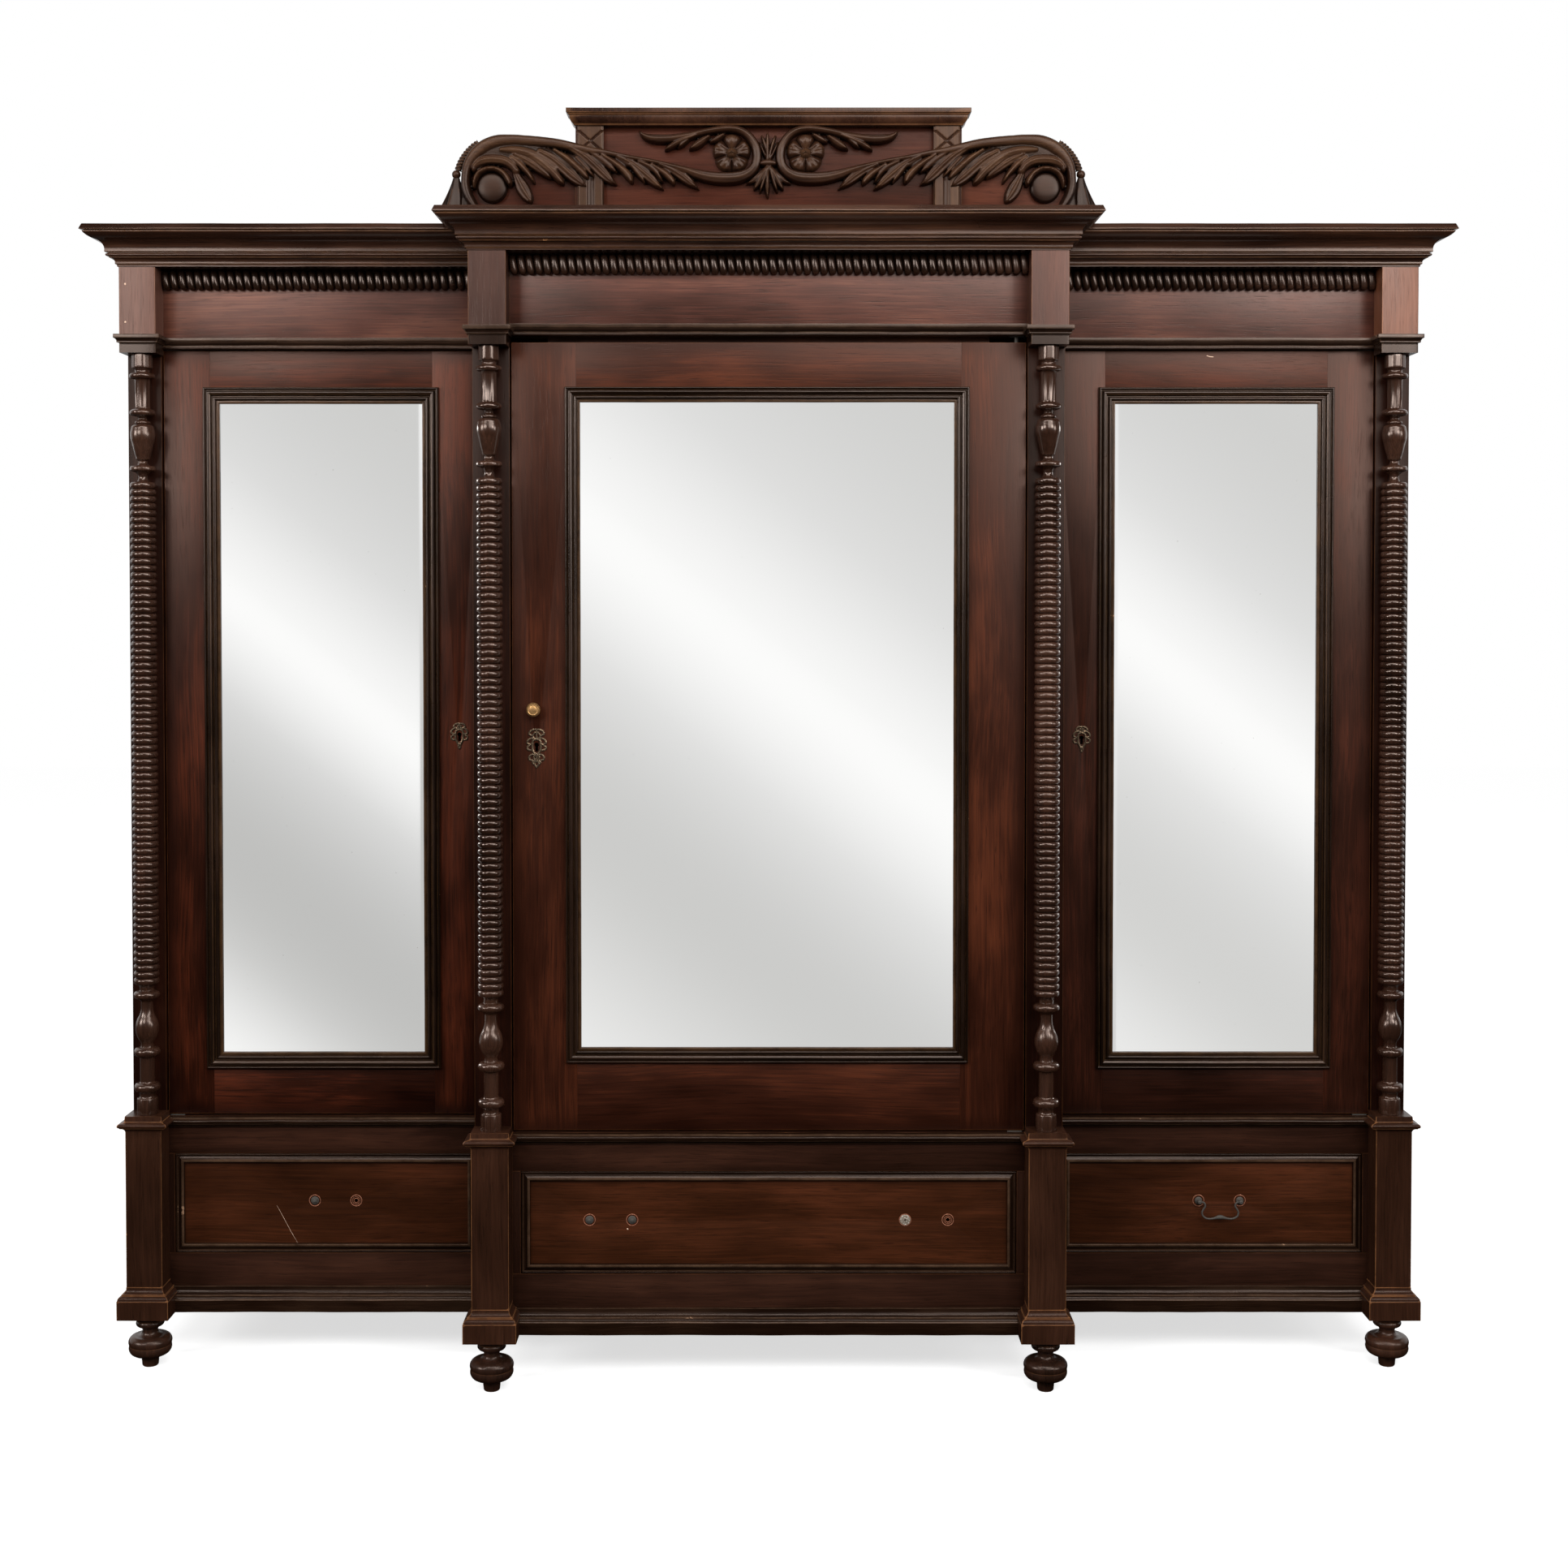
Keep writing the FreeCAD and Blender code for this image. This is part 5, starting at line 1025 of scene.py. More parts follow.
@dataclass(frozen=True)
class Boards:
    """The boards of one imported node, copied with their arrises eased and their grain laid."""

    node: str
    finish: WoodFinish
    ease: float = 0.9
    soil_as_one: bool = False

    def build(self, wardrobe: "Wardrobe") -> None:
        """Make the node's boards into one piece that replaces it.

        Args:
            wardrobe: the whole wardrobe, which gives the imported nodes and their bodies.
        """
        source = wardrobe.frame["nodes"][self.node]
        points, faces, grains, lows, highs = [], {}, [], [], []
        count = 0
        whole_low, whole_high = box_of(self.node)
        for index, shell in enumerate(shells_of(source)):
            low, high = shell.reshape(-1, 3).min(axis=0), shell.reshape(-1, 3).max(axis=0)
            places, rows = self._eased(shell)
            turned = np.roll(places, 2 - int(np.argmax(high - low)), axis=1)
            shift = np.array([37.0, 61.0, 443.0]) * (index + 1 + len(self.node))
            points.append(places)
            grains.append(turned + shift)
            lows.append(np.broadcast_to(whole_low if self.soil_as_one else low, places.shape))
            highs.append(np.broadcast_to(whole_high if self.soil_as_one else high, places.shape))
            for row in rows:
                faces.setdefault(len(row), []).append([corner + count for corner in row])
            count += len(places)
        surface = Surface(np.vstack(points), [np.array(rows) for rows in faces.values()], np.vstack(grains),
                          np.full(count, 20.0))
        piece = make_piece(f"{self.node}_boards", surface, self.finish, wardrobe.body_of(self.node),
                           (self.node,), crease=30)
        for name, rows in (("low", lows), ("high", highs)):
            values = piece.data.attributes.new(name, "FLOAT_VECTOR", "POINT")
            values.data.foreach_set("vector", (np.vstack(rows) * MM).astype(np.float32).ravel())

    def _eased(self, shell: Array) -> tuple[Array, list[list[int]]]:
        """Merge one solid's triangles into flat faces and ease its sharp edges.

        Args:
            shell: the solid's triangles, as rows of three corners.

        Returns:
            The points, and the faces as rows of their numbers.
        """
        work = bmesh.new()
        unique, number = np.unique(np.round(shell.reshape(-1, 3), 3), axis=0, return_inverse=True)
        corners = [work.verts.new(place) for place in unique.tolist()]
        for a, b, c in number.reshape(-1, 3).tolist():
            if len({a, b, c}) == 3 and work.faces.get((corners[a], corners[b], corners[c])) is None:
                work.faces.new((corners[a], corners[b], corners[c]))
        bmesh.ops.dissolve_limit(work, angle_limit=math.radians(1.0), verts=work.verts, edges=work.edges)
        bmesh.ops.recalc_face_normals(work, faces=work.faces)
        sharp = [edge for edge in work.edges
                 if len(edge.link_faces) == 2 and edge.calc_face_angle(0.0) > math.radians(40)]
        bmesh.ops.bevel(work, geom=sharp, offset=self.ease, segments=2, profile=0.6, affect="EDGES",
                        clamp_overlap=True)
        work.verts.index_update()
        places = np.array([vert.co[:] for vert in work.verts])
        rows = [[vert.index for vert in face.verts] for face in work.faces]
        work.free()
        return places, rows


# The sub-assemblies

@dataclass(frozen=True)
class Section:
    """A moulding's section in shares, with its projection and its height in mm."""

    steps: tuple[Any, ...]
    out: float
    up: float

    def outline(self, base: float = 0.0, round_off: float = 0.5) -> Outline:
        """The section drawn to size."""
        return Outline.drawn(self.steps, self.out, self.up, base, round_off)


@dataclass(frozen=True)
class Cornice:
    """The cornice: two side lengths and a middle one that breaks forward, each with its returns."""

    half_width: float = 1165.0
    half_centre: float = 522.0
    back: float = 352.0
    side_face: float = -178.0
    centre_face: float = -298.0
    side_bottom: float = 1992.0
    centre_bottom: float = 2001.0
    inside: float = 50.0
    section: Section = Section((
        (0.04, 0), (0.04, 0.05), (0.09, 0.055), (0.09, 0.09), ((0.12, 0.17), (0.24, 0.205)), (0.24, 0.235),
        (0.29, 0.24), ((0.335, 0.275), (0.29, 0.31)), (0.27, 0.315), (0.27, 0.34), (0.36, 0.345), (0.36, 0.37),
        ((0.42, 0.56), (0.60, 0.65)), ((0.82, 0.73), (0.91, 0.80)), (0.91, 0.825), (0.87, 0.83), (0.87, 0.845),
        (1, 0.855), (0.92, 1)), 54, 68)

    def build(self, wardrobe: "Wardrobe") -> None:
        """Build the seven lengths as three pieces.

        Args:
            wardrobe: the whole wardrobe, which takes the pieces.
        """
        drawn = self.section.outline()
        closed = Outline(np.vstack([[-self.inside, 0], drawn.points, [-self.inside, self.section.up]]),
                         np.concatenate([[30.0], drawn.edge, [30.0]]))
        for side, name in SIDES:
            way = LEFT if side < 0 else RIGHT
            back_end, corner, inner = (np.array([side * x, y, self.side_bottom]) for x, y in (
                (self.half_width, self.back), (self.half_width, self.side_face), (self.half_centre, self.side_face)))
            lengths = [mitred_length(closed, back_end, corner, way, way + FRONT, UP, seed=1 + side),
                       mitred_length(closed, corner, inner, way + FRONT, FRONT, UP, seed=4 + side)]
            wardrobe.add(f"{name}_cornice", join(lengths), CORNICE_FINISH, "cornice_mouldings")
        ends, corners = ([np.array([side * self.half_centre, y, self.centre_bottom]) for side in (-1, 1)]
                         for y in (self.side_face + 1, self.centre_face))
        lengths = [mitred_length(closed, ends[0], corners[0], LEFT, LEFT + FRONT, UP, seed=7),
                   mitred_length(closed, corners[0], corners[1], LEFT + FRONT, RIGHT + FRONT, UP, seed=8),
                   mitred_length(closed, corners[1], ends[1], RIGHT + FRONT, RIGHT, UP, seed=9)]
        wardrobe.add("centre_cornice", join(lengths), CORNICE_FINISH, "cornice_mouldings")


@dataclass(frozen=True)
class FlatMouldings:
    """The straight mouldings between the posts: plinth, waist and architrave.

    A span is a length's two ends across, the y of the face behind it, and how much higher than its
    neighbours a moulding that rises in the middle lies there.
    """

    spans: tuple[tuple[float, float, float, float], ...] = (
        (-1100, -522, -128, 0), (-456, 456, -248, 9), (522, 1100, -128, 0))
    plinth: Section = Section((
        (0, 0), (1, 0), (1, 0.50), (0.93, 0.53), ((0.86, 0.60), (0.66, 0.64)), (0.66, 0.68),
        ((0.42, 0.74), (0.24, 0.88)), (0.24, 1), (0, 1)), 18, 44)
    waist: Section = Section((
        (0, 0), (0.35, 0), ((0.5, 0.22), (0.78, 0.30)), (0.78, 0.38), ((1.02, 0.60), (0.78, 0.82)),
        (0.70, 0.84), (0.70, 1), (0, 1)), 17, 18)
    architrave: Section = Section((
        (0, 0), (0.50, 0), ((0.62, 0.10), (0.50, 0.20)), (0.50, 0.34), ((0.70, 0.42), (0.86, 0.66)),
        (1, 0.68), (1, 1), (0, 1)), 12, 20)

    def build(self, wardrobe: "Wardrobe") -> None:
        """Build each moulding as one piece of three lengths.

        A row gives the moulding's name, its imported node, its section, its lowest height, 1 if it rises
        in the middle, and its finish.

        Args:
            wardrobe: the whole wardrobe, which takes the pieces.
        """
        rows = (("plinth", "plinth_mouldings", self.plinth, 92, 0, EDGE_WORN_EBONISED),
                ("waist", "waist_and_architrave_mouldings", self.waist, 431, 0, EDGE_WORN_EBONISED),
                ("architrave", "waist_and_architrave_mouldings", self.architrave, 1850, 1, MOULDED_EBONISED))
        for name, node, section, bottom, rises, finish in rows:
            outline = section.outline()
            lengths = [mitred_length(outline, np.array([low, face, bottom + rises * rise]),
                                     np.array([high, face, bottom + rises * rise]), FRONT, FRONT, UP,
                                     step=14, wobble=0.45, seed=low / 97)
                       for low, high, face, rise in self.spans]
            wardrobe.add(f"{name}_moulding", join(lengths), finish, node)


@dataclass(frozen=True)
class Bobbins:
    """Split turnings under the cornice: rings that lean a little, as a rope-turner's do.

    Ring height over the groove is (1 - |s|^2.1)^0.5, where s runs from -1 to 1 over each pitch. A ring
    is moved along by the lean times its height above the middle. At an angle a from the middle of the
    section it stands out by the depth times cos(a)^0.3.
    """

    depth: float = 17.0
    groove: float = 9.5
    height: float = 37.0
    pitch: float = 14.7
    lean: float = -0.11
    per_ring: int = 9
    around: int = 15

    def build(self, wardrobe: "Wardrobe") -> None:
        """Build the three runs of rings as three pieces.

        A run is its name, its two ends across, the y of the face behind it, and its lowest height.

        Args:
            wardrobe: the whole wardrobe, which takes the pieces.
        """
        runs = (("left", -1100, -522, -128, 1956), ("centre", -456, 456, -248, 1965), ("right", 522, 1100, -128, 1956))
        for name, low, high, face, bottom in runs:
            rings = round((high - low) / self.pitch)
            step = (high - low) / rings
            along = np.linspace(0, high - low, rings * self.per_ring + 1)[:, None]
            angle = np.linspace(-math.pi / 2, math.pi / 2, self.around)[None, :]
            crown = np.abs(((along / step) % 1.0) * 2 - 1)
            rise = np.sqrt(np.clip(1 - crown ** 2.1, 0, 1))
            radius = 1 - (self.groove / self.depth) * (1 - rise)
            leaning = along + self.lean * self.height * np.sin(angle) * 0.5
            x = np.clip(low + leaning, low, high)
            y = face - self.depth * radius * np.clip(np.cos(angle), 0, 1) ** 0.3
            z = bottom + self.height / 2 * (1 + (0.1 + 0.9 * radius) * np.sin(angle))
            points = np.stack([x + 0 * y, y, z + 0 * x], axis=-1).reshape(-1, 3)
            edge = np.broadcast_to((1 - rise) * 9 + 1.6, y.shape).ravel()
            run = Surface(points, tube_faces(len(along), self.around), points[:, [2, 1, 0]], edge)
            wardrobe.add(f"{name}_bobbins", run, BOBBIN_FINISH, "bobbin_mouldings", crease=60)


@dataclass(frozen=True)
class Posts:
    """The frieze blocks with their abaci, and the pedestals with their caps and plinths."""

    block_steps: tuple[Any, ...] = (
        (0, 1838.5), (0, 1856), (4, 1856.4), ((4.6, 1861), (8, 1864)), (8.6, 1864), (8.6, 1871), (0, 1871.6))
    pedestal_steps: tuple[Any, ...] = (
        (14, 92), (14, 126), (13, 128), ((10.5, 133), (7, 134)), (7, 137), ((2.5, 140), (0.6, 148)), (0, 148),
        (0, 431), ((3, 437), (8.5, 439)), (8.5, 440.5), ((12.2, 444), (8.5, 448)), (6, 448.2), (1.4, 450), (0.6, 460))

    def build(self, wardrobe: "Wardrobe") -> None:
        """Build four frieze blocks, their four abaci and four pedestals.

        A row gives a pair of posts: its span to the right of the middle, the y of its front and of its
        back, its block's top and its seed.

        Args:
            wardrobe: the whole wardrobe, which takes the pieces.
        """
        middle, lower = Outline.drawn(self.block_steps), Outline.drawn(self.pedestal_steps)
        blocks, abaci, pedestals = [], [], []
        for low, high, front, back, top, seed in (
                (1100, 1165, -178, -128, 1992, 2.3), (456, 522, -298, -248, 2001, 5.9)):
            upper = Outline.drawn(((0, 1871.5), (0, 1900), (0, 1950), (0, top)))
            for side, span in ((-1, (-high, -low)), (1, (low, high))):
                blocks.append(moulded_post(span, front, back, upper, side * seed))
                abaci.append(moulded_post(span, front, back, middle, side * seed))
                pedestals.append(moulded_post(span, front, back, lower, side * seed + 1))
        wardrobe.add("frieze_block_abaci", join(abaci), MOULDED_EBONISED, "frieze_blocks")
        # Each block gets its own copy of the finish: painted sheen on the outer two and painted shade on the left inner
        # one.
        places = (("left_outer", PAINTED_SHEEN_BLOCK), ("right_outer", PAINTED_SHEEN_ORANGE_BLOCK), ("left_inner", PAINTED_SHADE_BLOCK),
                  ("right_inner", BLOCK_FINISH))
        for (name, finish), surface in zip(places, blocks):
            wardrobe.add(f"{name}_frieze_block", surface, finish, "frieze_blocks")
        wardrobe.add("pedestal_blocks", join(pedestals), PEDESTAL_FINISH, "pedestals")


@dataclass(frozen=True)
class Columns:
    """Four turned columns: vases at both ends of a long run of rings, and a fluted neck near the top."""

    radius: float = 23.0
    bottom: float = 460.0
    top: float = 1838.0
    pitch: float = 12.5
    groove: float = 5.6
    segments: int = 40
    foot: tuple[Any, ...] = (
        (0.78, 0), (0.80, 0.001), (0.80, 0.020), (0.76, 0.0215), (0.64, 0.022), ((0.60, 0.026), (0.74, 0.030)),
        (0.80, 0.030), ((1.02, 0.036), (0.80, 0.041)), (0.62, 0.0415), (0.57, 0.043), (0.57, 0.075), (0.62, 0.0765),
        (0.80, 0.077), ((1.02, 0.083), (0.80, 0.088)), (0.52, 0.0885), (0.48, 0.093), (0.52, 0.096),
        ((0.87, 0.108), (0.72, 0.127)), ((0.54, 0.134), (0.47, 0.142)), (0.47, 0.149), (0.60, 0.151),
        (0.72, 0.153), ((1.02, 0.158), (0.72, 0.163)), (0.56, 0.164), (0.56, 0.168), (0.72, 0.172))
    head: tuple[Any, ...] = (
        (0.72, 0.8330), (0.50, 0.8335), ((0.37, 0.8370), (0.38, 0.8420)), ((0.58, 0.8452), (0.90, 0.8472)),
        (1.0, 0.8485), (1.0, 0.8515), (0.92, 0.8535), ((0.5, 0.8553), (0.35, 0.8580)), (0.35, 0.8605), (0.42, 0.8612),
        (0.53, 0.8630), (0.54, 0.8650), ((0.68, 0.8735), (0.84, 0.8850)), ((0.95, 0.8945), (0.88, 0.9025)),
        ((0.74, 0.9072), (0.54, 0.9082)), (0.50, 0.9084), ((0.60, 0.9105), (0.50, 0.9128)), (0.38, 0.9135),
        (0.32, 0.9155), ((0.36, 0.9175), (0.62, 0.9190)), (0.84, 0.9200), ((0.98, 0.9228), (0.92, 0.9262)),
        (0.78, 0.9280), (0.62, 0.9290), (0.585, 0.9310), (0.585, 0.9655), (0.62, 0.9672), (0.82, 0.9680),
        ((0.99, 0.9708), (0.92, 0.9742)), (0.62, 0.9755), ((0.56, 0.9780), (0.70, 0.9812)), (0.78, 0.9822),
        (0.78, 0.9995), (0.70, 1))

    def build(self, wardrobe: "Wardrobe") -> None:
        """Build four columns as four pieces, each pair at its own x and y.

        Args:
            wardrobe: the whole wardrobe, which takes the pieces.
        """
        outline = self._outline()
        for place, x, y in (("outer", 1131, -154), ("inner", 489, -274)):
            for side, name in SIDES:
                surface = turned_surface(outline, (side * x, y, 0), self.segments, self._cut)
                wardrobe.add(f"{name}_{place}_column", surface, TURNED_EBONISED, "turned_columns", crease=50)

    def _outline(self) -> Outline:
        """Foot, rings and head as one outline. A ring's rise over its groove is a low half ellipse.

        Returns:
            The whole column's outline.
        """
        height = self.top - self.bottom
        foot = Outline.drawn(self.foot, self.radius, height, self.bottom, 0.4)
        head = Outline.drawn(self.head, self.radius, height, self.bottom, 0.4)
        start, end = foot.points[-1, 1], head.points[0, 1]
        count = round((end - start) / self.pitch)
        step = (end - start) / count
        share = np.array([0.06, 0.14, 0.28, 0.5, 0.72, 0.86, 0.94, 1.0])
        rise = np.sqrt(np.clip(1 - np.abs(2 * share - 1) ** 2.3, 0, 1))
        radii = self.radius - self.groove * (1 - np.tile(rise, count))
        heights = start + (np.repeat(np.arange(count), len(share)) + np.tile(share, count)) * step
        edge = 1.5 + 6 * (1 - np.tile(rise, count))
        points = np.vstack([foot.points, np.stack([radii, heights], axis=1)[:-1], head.points])
        return Outline(points, np.concatenate([foot.edge, edge[:-1], head.edge]))

    def _cut(self, radius: Array, along: Array, angle: Array) -> Array:
        """Flute the upper neck and cut both collars to eight flats.

        A flute takes away up to 0.13 of the radius, as the square of a sine.

        Args:
            radius: the turned radius at each point.
            along: each point's height.
            angle: each point's turn about the axis.

        Returns:
            The new radius.
        """
        share = (along - self.bottom) / (self.top - self.bottom)
        neck = (share > 0.929) & (share < 0.962)
        fluted = radius * (1 - 0.13 * np.sin(angle * 8) ** 2 * neck)
        collar = (share > 0.9815) | (share < 0.0208)
        return np.where(collar, radius * 1.05 * flats(angle, 8), fluted)


@dataclass(frozen=True)
class Feet:
    """Eight bun feet: a peg, a flattened bun and a short neck under the plinth."""

    radius: float = 38.0
    height: float = 92.0
    steps: tuple[Any, ...] = (
        (0.34, 0), (0.38, 0.02), (0.42, 0.20), (0.46, 0.215), (0.64, 0.225), ((0.98, 0.31), (0.98, 0.42)),
        (1.0, 0.44), ((0.96, 0.56), (0.64, 0.605)), (0.52, 0.61), (0.46, 0.62), ((0.36, 0.70), (0.45, 0.78)),
        (0.50, 0.79), ((0.66, 0.84), (0.62, 0.90)), (0.66, 0.92), (0.66, 1))

    def build(self, wardrobe: "Wardrobe") -> None:
        """Build all eight feet as one piece: four at the front and four under the back corners.

        Args:
            wardrobe: the whole wardrobe, which takes the pieces.
        """
        outline = Outline.drawn(self.steps, self.radius, self.height)
        places = [(side * x, y, 0) for side in (-1, 1)
                  for x, y in ((1128, -158), (489, -278), (1128, 292), (489, 292))]
        wardrobe.add("turned_feet", join([turned_surface(outline, place, 44) for place in places]), FOOT_FINISH,
                     "bun_feet")


@dataclass(frozen=True)
class FrontMouldings:
    """The mitred mouldings round the mirrors and round the drawer fronts."""

    door_steps: tuple[Any, ...] = (
        (0, 0), (0, 0.60), (0.02, 0.70), ((0.07, 0.90), (0.13, 0.72)), (0.15, 0.30), (0.20, 0.30), (0.22, 0.62),
        ((0.32, 0.98), (0.43, 0.84)), ((0.48, 0.74), (0.50, 0.52)), (0.51, 0.22), (0.57, 0.22), (0.59, 0.50),
        ((0.68, 0.78), (0.78, 0.56)), (0.80, 0.22), (0.86, 0.22), (0.87, 0.46), (0.98, 0.40), (1, 0.34), (1, 0))
    drawer_steps: tuple[Any, ...] = (
        (0, 0), (0, 0.60), ((0.08, 0.80), (0.18, 0.62)), (0.20, 0.36), (0.28, 0.36), ((0.48, 0.52), (0.66, 0.80)),
        (0.70, 0.86), (0.72, 1), (0.92, 1), (0.96, 0.88), (1, 0.30), (1, 0))
    door_thickness: float = 9.0
    drawer_thickness: float = 7.5

    def build(self, wardrobe: "Wardrobe") -> None:
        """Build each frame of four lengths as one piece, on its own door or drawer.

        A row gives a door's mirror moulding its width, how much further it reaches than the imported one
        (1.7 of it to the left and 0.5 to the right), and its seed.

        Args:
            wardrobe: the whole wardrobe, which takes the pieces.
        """
        for name, width, wider, seed in (("left", 30, 0, 3.1), ("centre", 27, 4.5, 7.7), ("right", 30, 0, 12.9)):
            rows = (("door", "mirror", self.door_steps, width, self.door_thickness, wider, seed,
                     MIRROR_MOULDING_FINISH),
                    ("drawer", "panel", self.drawer_steps, 16, self.drawer_thickness, 0, seed + 50,
                     EDGE_WORN_EBONISED))
            for front, kind, steps, across, thickness, more, own_seed, finish in rows:
                low, high = box_of(f"{name}_{front}_moulding")
                low, high = low - np.array([1.7 * more, 0, 0]), high + np.array([0.5 * more, 0, 0])
                surface = frame_of_lengths(Outline.drawn(steps, across, thickness, 0, 0.35), low[[0, 2]],
                                           high[[0, 2]], high[1], own_seed)
                wardrobe.add(f"{name}_{kind}_moulding", surface, finish, f"{name}_{front}_moulding",
                             f"{name}_{front}")


# Carving

@dataclass(frozen=True)
class Stroke:
    """One gouged form: (x, z, half width) along its middle, and how high it stands at each end."""

    line: tuple[tuple[float, float, float], ...]
    root: float = 9.0
    tip: float = 6.0
    # worn is read at the stroke's crest as its distance in mm from an arris. A small value draws a light line there
    # that is rubbed wear and also a painted highlight.
    worn: float = 3.0
    ribs: float = 0.0


@dataclass
class Relief:
    """Carved strokes as one height over a plane that looks to -Y, cut off cleanly at its outline.

    Inside a stroke u is the distance from its middle line over its half width, and its height is
    H * (1 - u^2.6)^0.5, with H going from root to tip. Where strokes overlap the higher one shows, so a
    crease runs between them. All stand on a ground that rises steeply from the outline.
    """

    strokes: Sequence[Stroke]
    pitch: float
    wall: float
    ground: float
    shoulder: float
    keyhole: tuple[float, float] | None = None

    def surface(self, plane: float) -> Surface:
        """Work the carving out on a grid and close it with a wall and a back on the plane.

        Args:
            plane: the y of the plane.

        Returns:
            A closed surface.
        """
        lines = [smooth_path(stroke.line, 5) for stroke in self.strokes]
        low = np.min([(line[:, :2] - line[:, 2:]).min(axis=0) for line in lines], axis=0) - 4 * self.pitch
        high = np.max([(line[:, :2] + line[:, 2:]).max(axis=0) for line in lines], axis=0) + 4 * self.pitch
        xs, zs = (np.arange(low[i], high[i], self.pitch) for i in (0, 1))
        outside = np.full((len(xs), len(zs)), 60.0)
        height, edge = np.zeros_like(outside), np.full_like(outside, 12.0)
        for stroke, line in zip(self.strokes, lines):
            self._lay(stroke, line, xs, zs, outside, height, edge)
        if self.keyhole is not None:
            outside = np.maximum(outside, self._keyhole_inside(xs, zs))
        return self._closed(xs, zs, outside, height, edge, plane)

    def _lay(self, stroke: Stroke, line: Array, xs: Array, zs: Array, outside: Array, height: Array,
             edge: Array) -> None:
        """Lay one stroke into the grids, over the part of them that it reaches.

        Args:
            stroke: the stroke.
            line: its smoothed middle line.
            xs: the grid's places across, in mm.
            zs: the grid's heights, in mm.
            outside: how far each grid point is outside the outline, and below 0 inside it.
            height: how high the carving stands over its ground at each grid point.
            edge: what the finish reads there as the distance from an arris.
        """
        reach = line[:, 2].max() + 14
        i = slice(*np.searchsorted(xs, [line[:, 0].min() - reach, line[:, 0].max() + reach]))
        j = slice(*np.searchsorted(zs, [line[:, 1].min() - reach, line[:, 1].max() + reach]))
        x, z = np.meshgrid(xs[i], zs[j], indexing="ij")
        best = np.full(x.shape, 1e3)
        across, place, side = np.full(x.shape, 9.0), np.zeros(x.shape), np.zeros(x.shape)
        steps = len(line) - 1
        for index in range(steps):
            (ax, az, aw), (bx, bz, bw) = line[index], line[index + 1]
            dx, dz = bx - ax, bz - az
            share = np.clip(((x - ax) * dx + (z - az) * dz) / (dx * dx + dz * dz + 1e-9), 0, 1)
            away = np.hypot(x - ax - share * dx, z - az - share * dz)
            half = np.maximum(aw + share * (bw - aw), 0.3)
            nearer = away - half < best
            best = np.where(nearer, away - half, best)
            across = np.where(nearer, away / half, across)
            place = np.where(nearer, (index + share) / steps, place)
            side = np.where(nearer, np.sign((x - ax) * dz - (z - az) * dx), side)
        crown = np.sqrt(np.clip(1 - across ** 2.6, 0, 1))
        tall = (stroke.root + (stroke.tip - stroke.root) * place) * crown
        if stroke.ribs:
            tall += 1.4 * stroke.ribs * (np.cos(across * side * math.pi * 2.6) - 1) * crown
        higher = tall > height[i, j]
        height[i, j] = np.where(higher, tall, height[i, j])
        # The crest reads as near an arris and takes the light line, which is rubbed wear and painted highlight. The
        # flanks, the creases and the ground read as far and are darkened.
        edge[i, j] = np.where(higher, stroke.worn + 8 * across ** 2, edge[i, j])
        outside[i, j] = np.minimum(outside[i, j], best)

    def _keyhole_inside(self, xs: Array, zs: Array) -> Array:
        """How deep a point is in the keyhole: a circle of radius 4 over a slot 5 wide and 12 deep.

        Args:
            xs: the grid's places across, in mm.
            zs: the grid's heights, in mm.

        Returns:
            The depth at each grid point, below 0 outside the keyhole.
        """
        x, z = np.meshgrid(xs - self.keyhole[0], zs - self.keyhole[1], indexing="ij")
        ring = 4.0 - np.hypot(x, z)
        slot = np.minimum(2.5 - np.abs(x), 6.0 - np.abs(z + 6.0))
        return np.maximum(ring, slot)

    def _closed(self, xs: Array, zs: Array, outside: Array, height: Array, edge: Array,
                plane: float) -> Surface:
        """Keep the cells that reach inside, pull their outer points on to the outline, and close it.

        Args:
            xs: the grid's places across, in mm.
            zs: the grid's heights, in mm.
            outside: how far each grid point is outside the outline, and below 0 inside it.
            height: how high the carving stands over its ground at each grid point.
            edge: what the finish reads there as the distance from an arris.
            plane: the y of the plane.

        Returns:
            A closed surface.
        """
        inside = outside < 0
        cell = inside[:-1, :-1] | inside[1:, :-1] | inside[1:, 1:] | inside[:-1, 1:]
        slope_x, slope_z = np.gradient(outside, self.pitch)
        size = np.maximum(np.hypot(slope_x, slope_z), 0.4)
        pull = np.clip(outside, 0, self.pitch * 1.5)
        x = xs[:, None] - pull * slope_x / size
        z = zs[None, :] - pull * slope_z / size
        rise = self.wall + (self.ground - self.wall) * smooth_step(0, self.shoulder, -outside)
        top = np.where(inside, rise + height * smooth_step(-0.2, 2.2, -outside), self.wall)
        rows, columns = outside.shape
        a = (np.arange(rows - 1)[:, None] * columns + np.arange(columns - 1)[None, :])[cell]
        quads = np.stack([a, a + columns, a + columns + 1, a + 1], axis=1)
        used, number = np.unique(quads, return_inverse=True)
        quads = number.reshape(quads.shape)
        count = len(used)
        flat = np.stack([x.ravel()[used], plane - top.ravel()[used], z.ravel()[used]], axis=1)
        behind = flat * np.array([1, 0, 1]) + np.array([0, plane, 0])
        sides = np.concatenate([quads[:, [0, 1]], quads[:, [1, 2]], quads[:, [2, 3]], quads[:, [3, 0]]])
        key = np.sort(sides, axis=1) @ np.array([count, 1])
        _, first, times = np.unique(key, return_index=True, return_counts=True)
        rim = sides[first[times == 1]]
        wall = np.stack([rim[:, 1], rim[:, 0], rim[:, 0] + count, rim[:, 1] + count], axis=1)
        points = np.vstack([flat, behind])
        worn = np.concatenate([edge.ravel()[used], np.full(count, 12.0)])
        return Surface(points, [quads, quads[:, ::-1] + count, wall], points[:, [2, 1, 0]], worn)


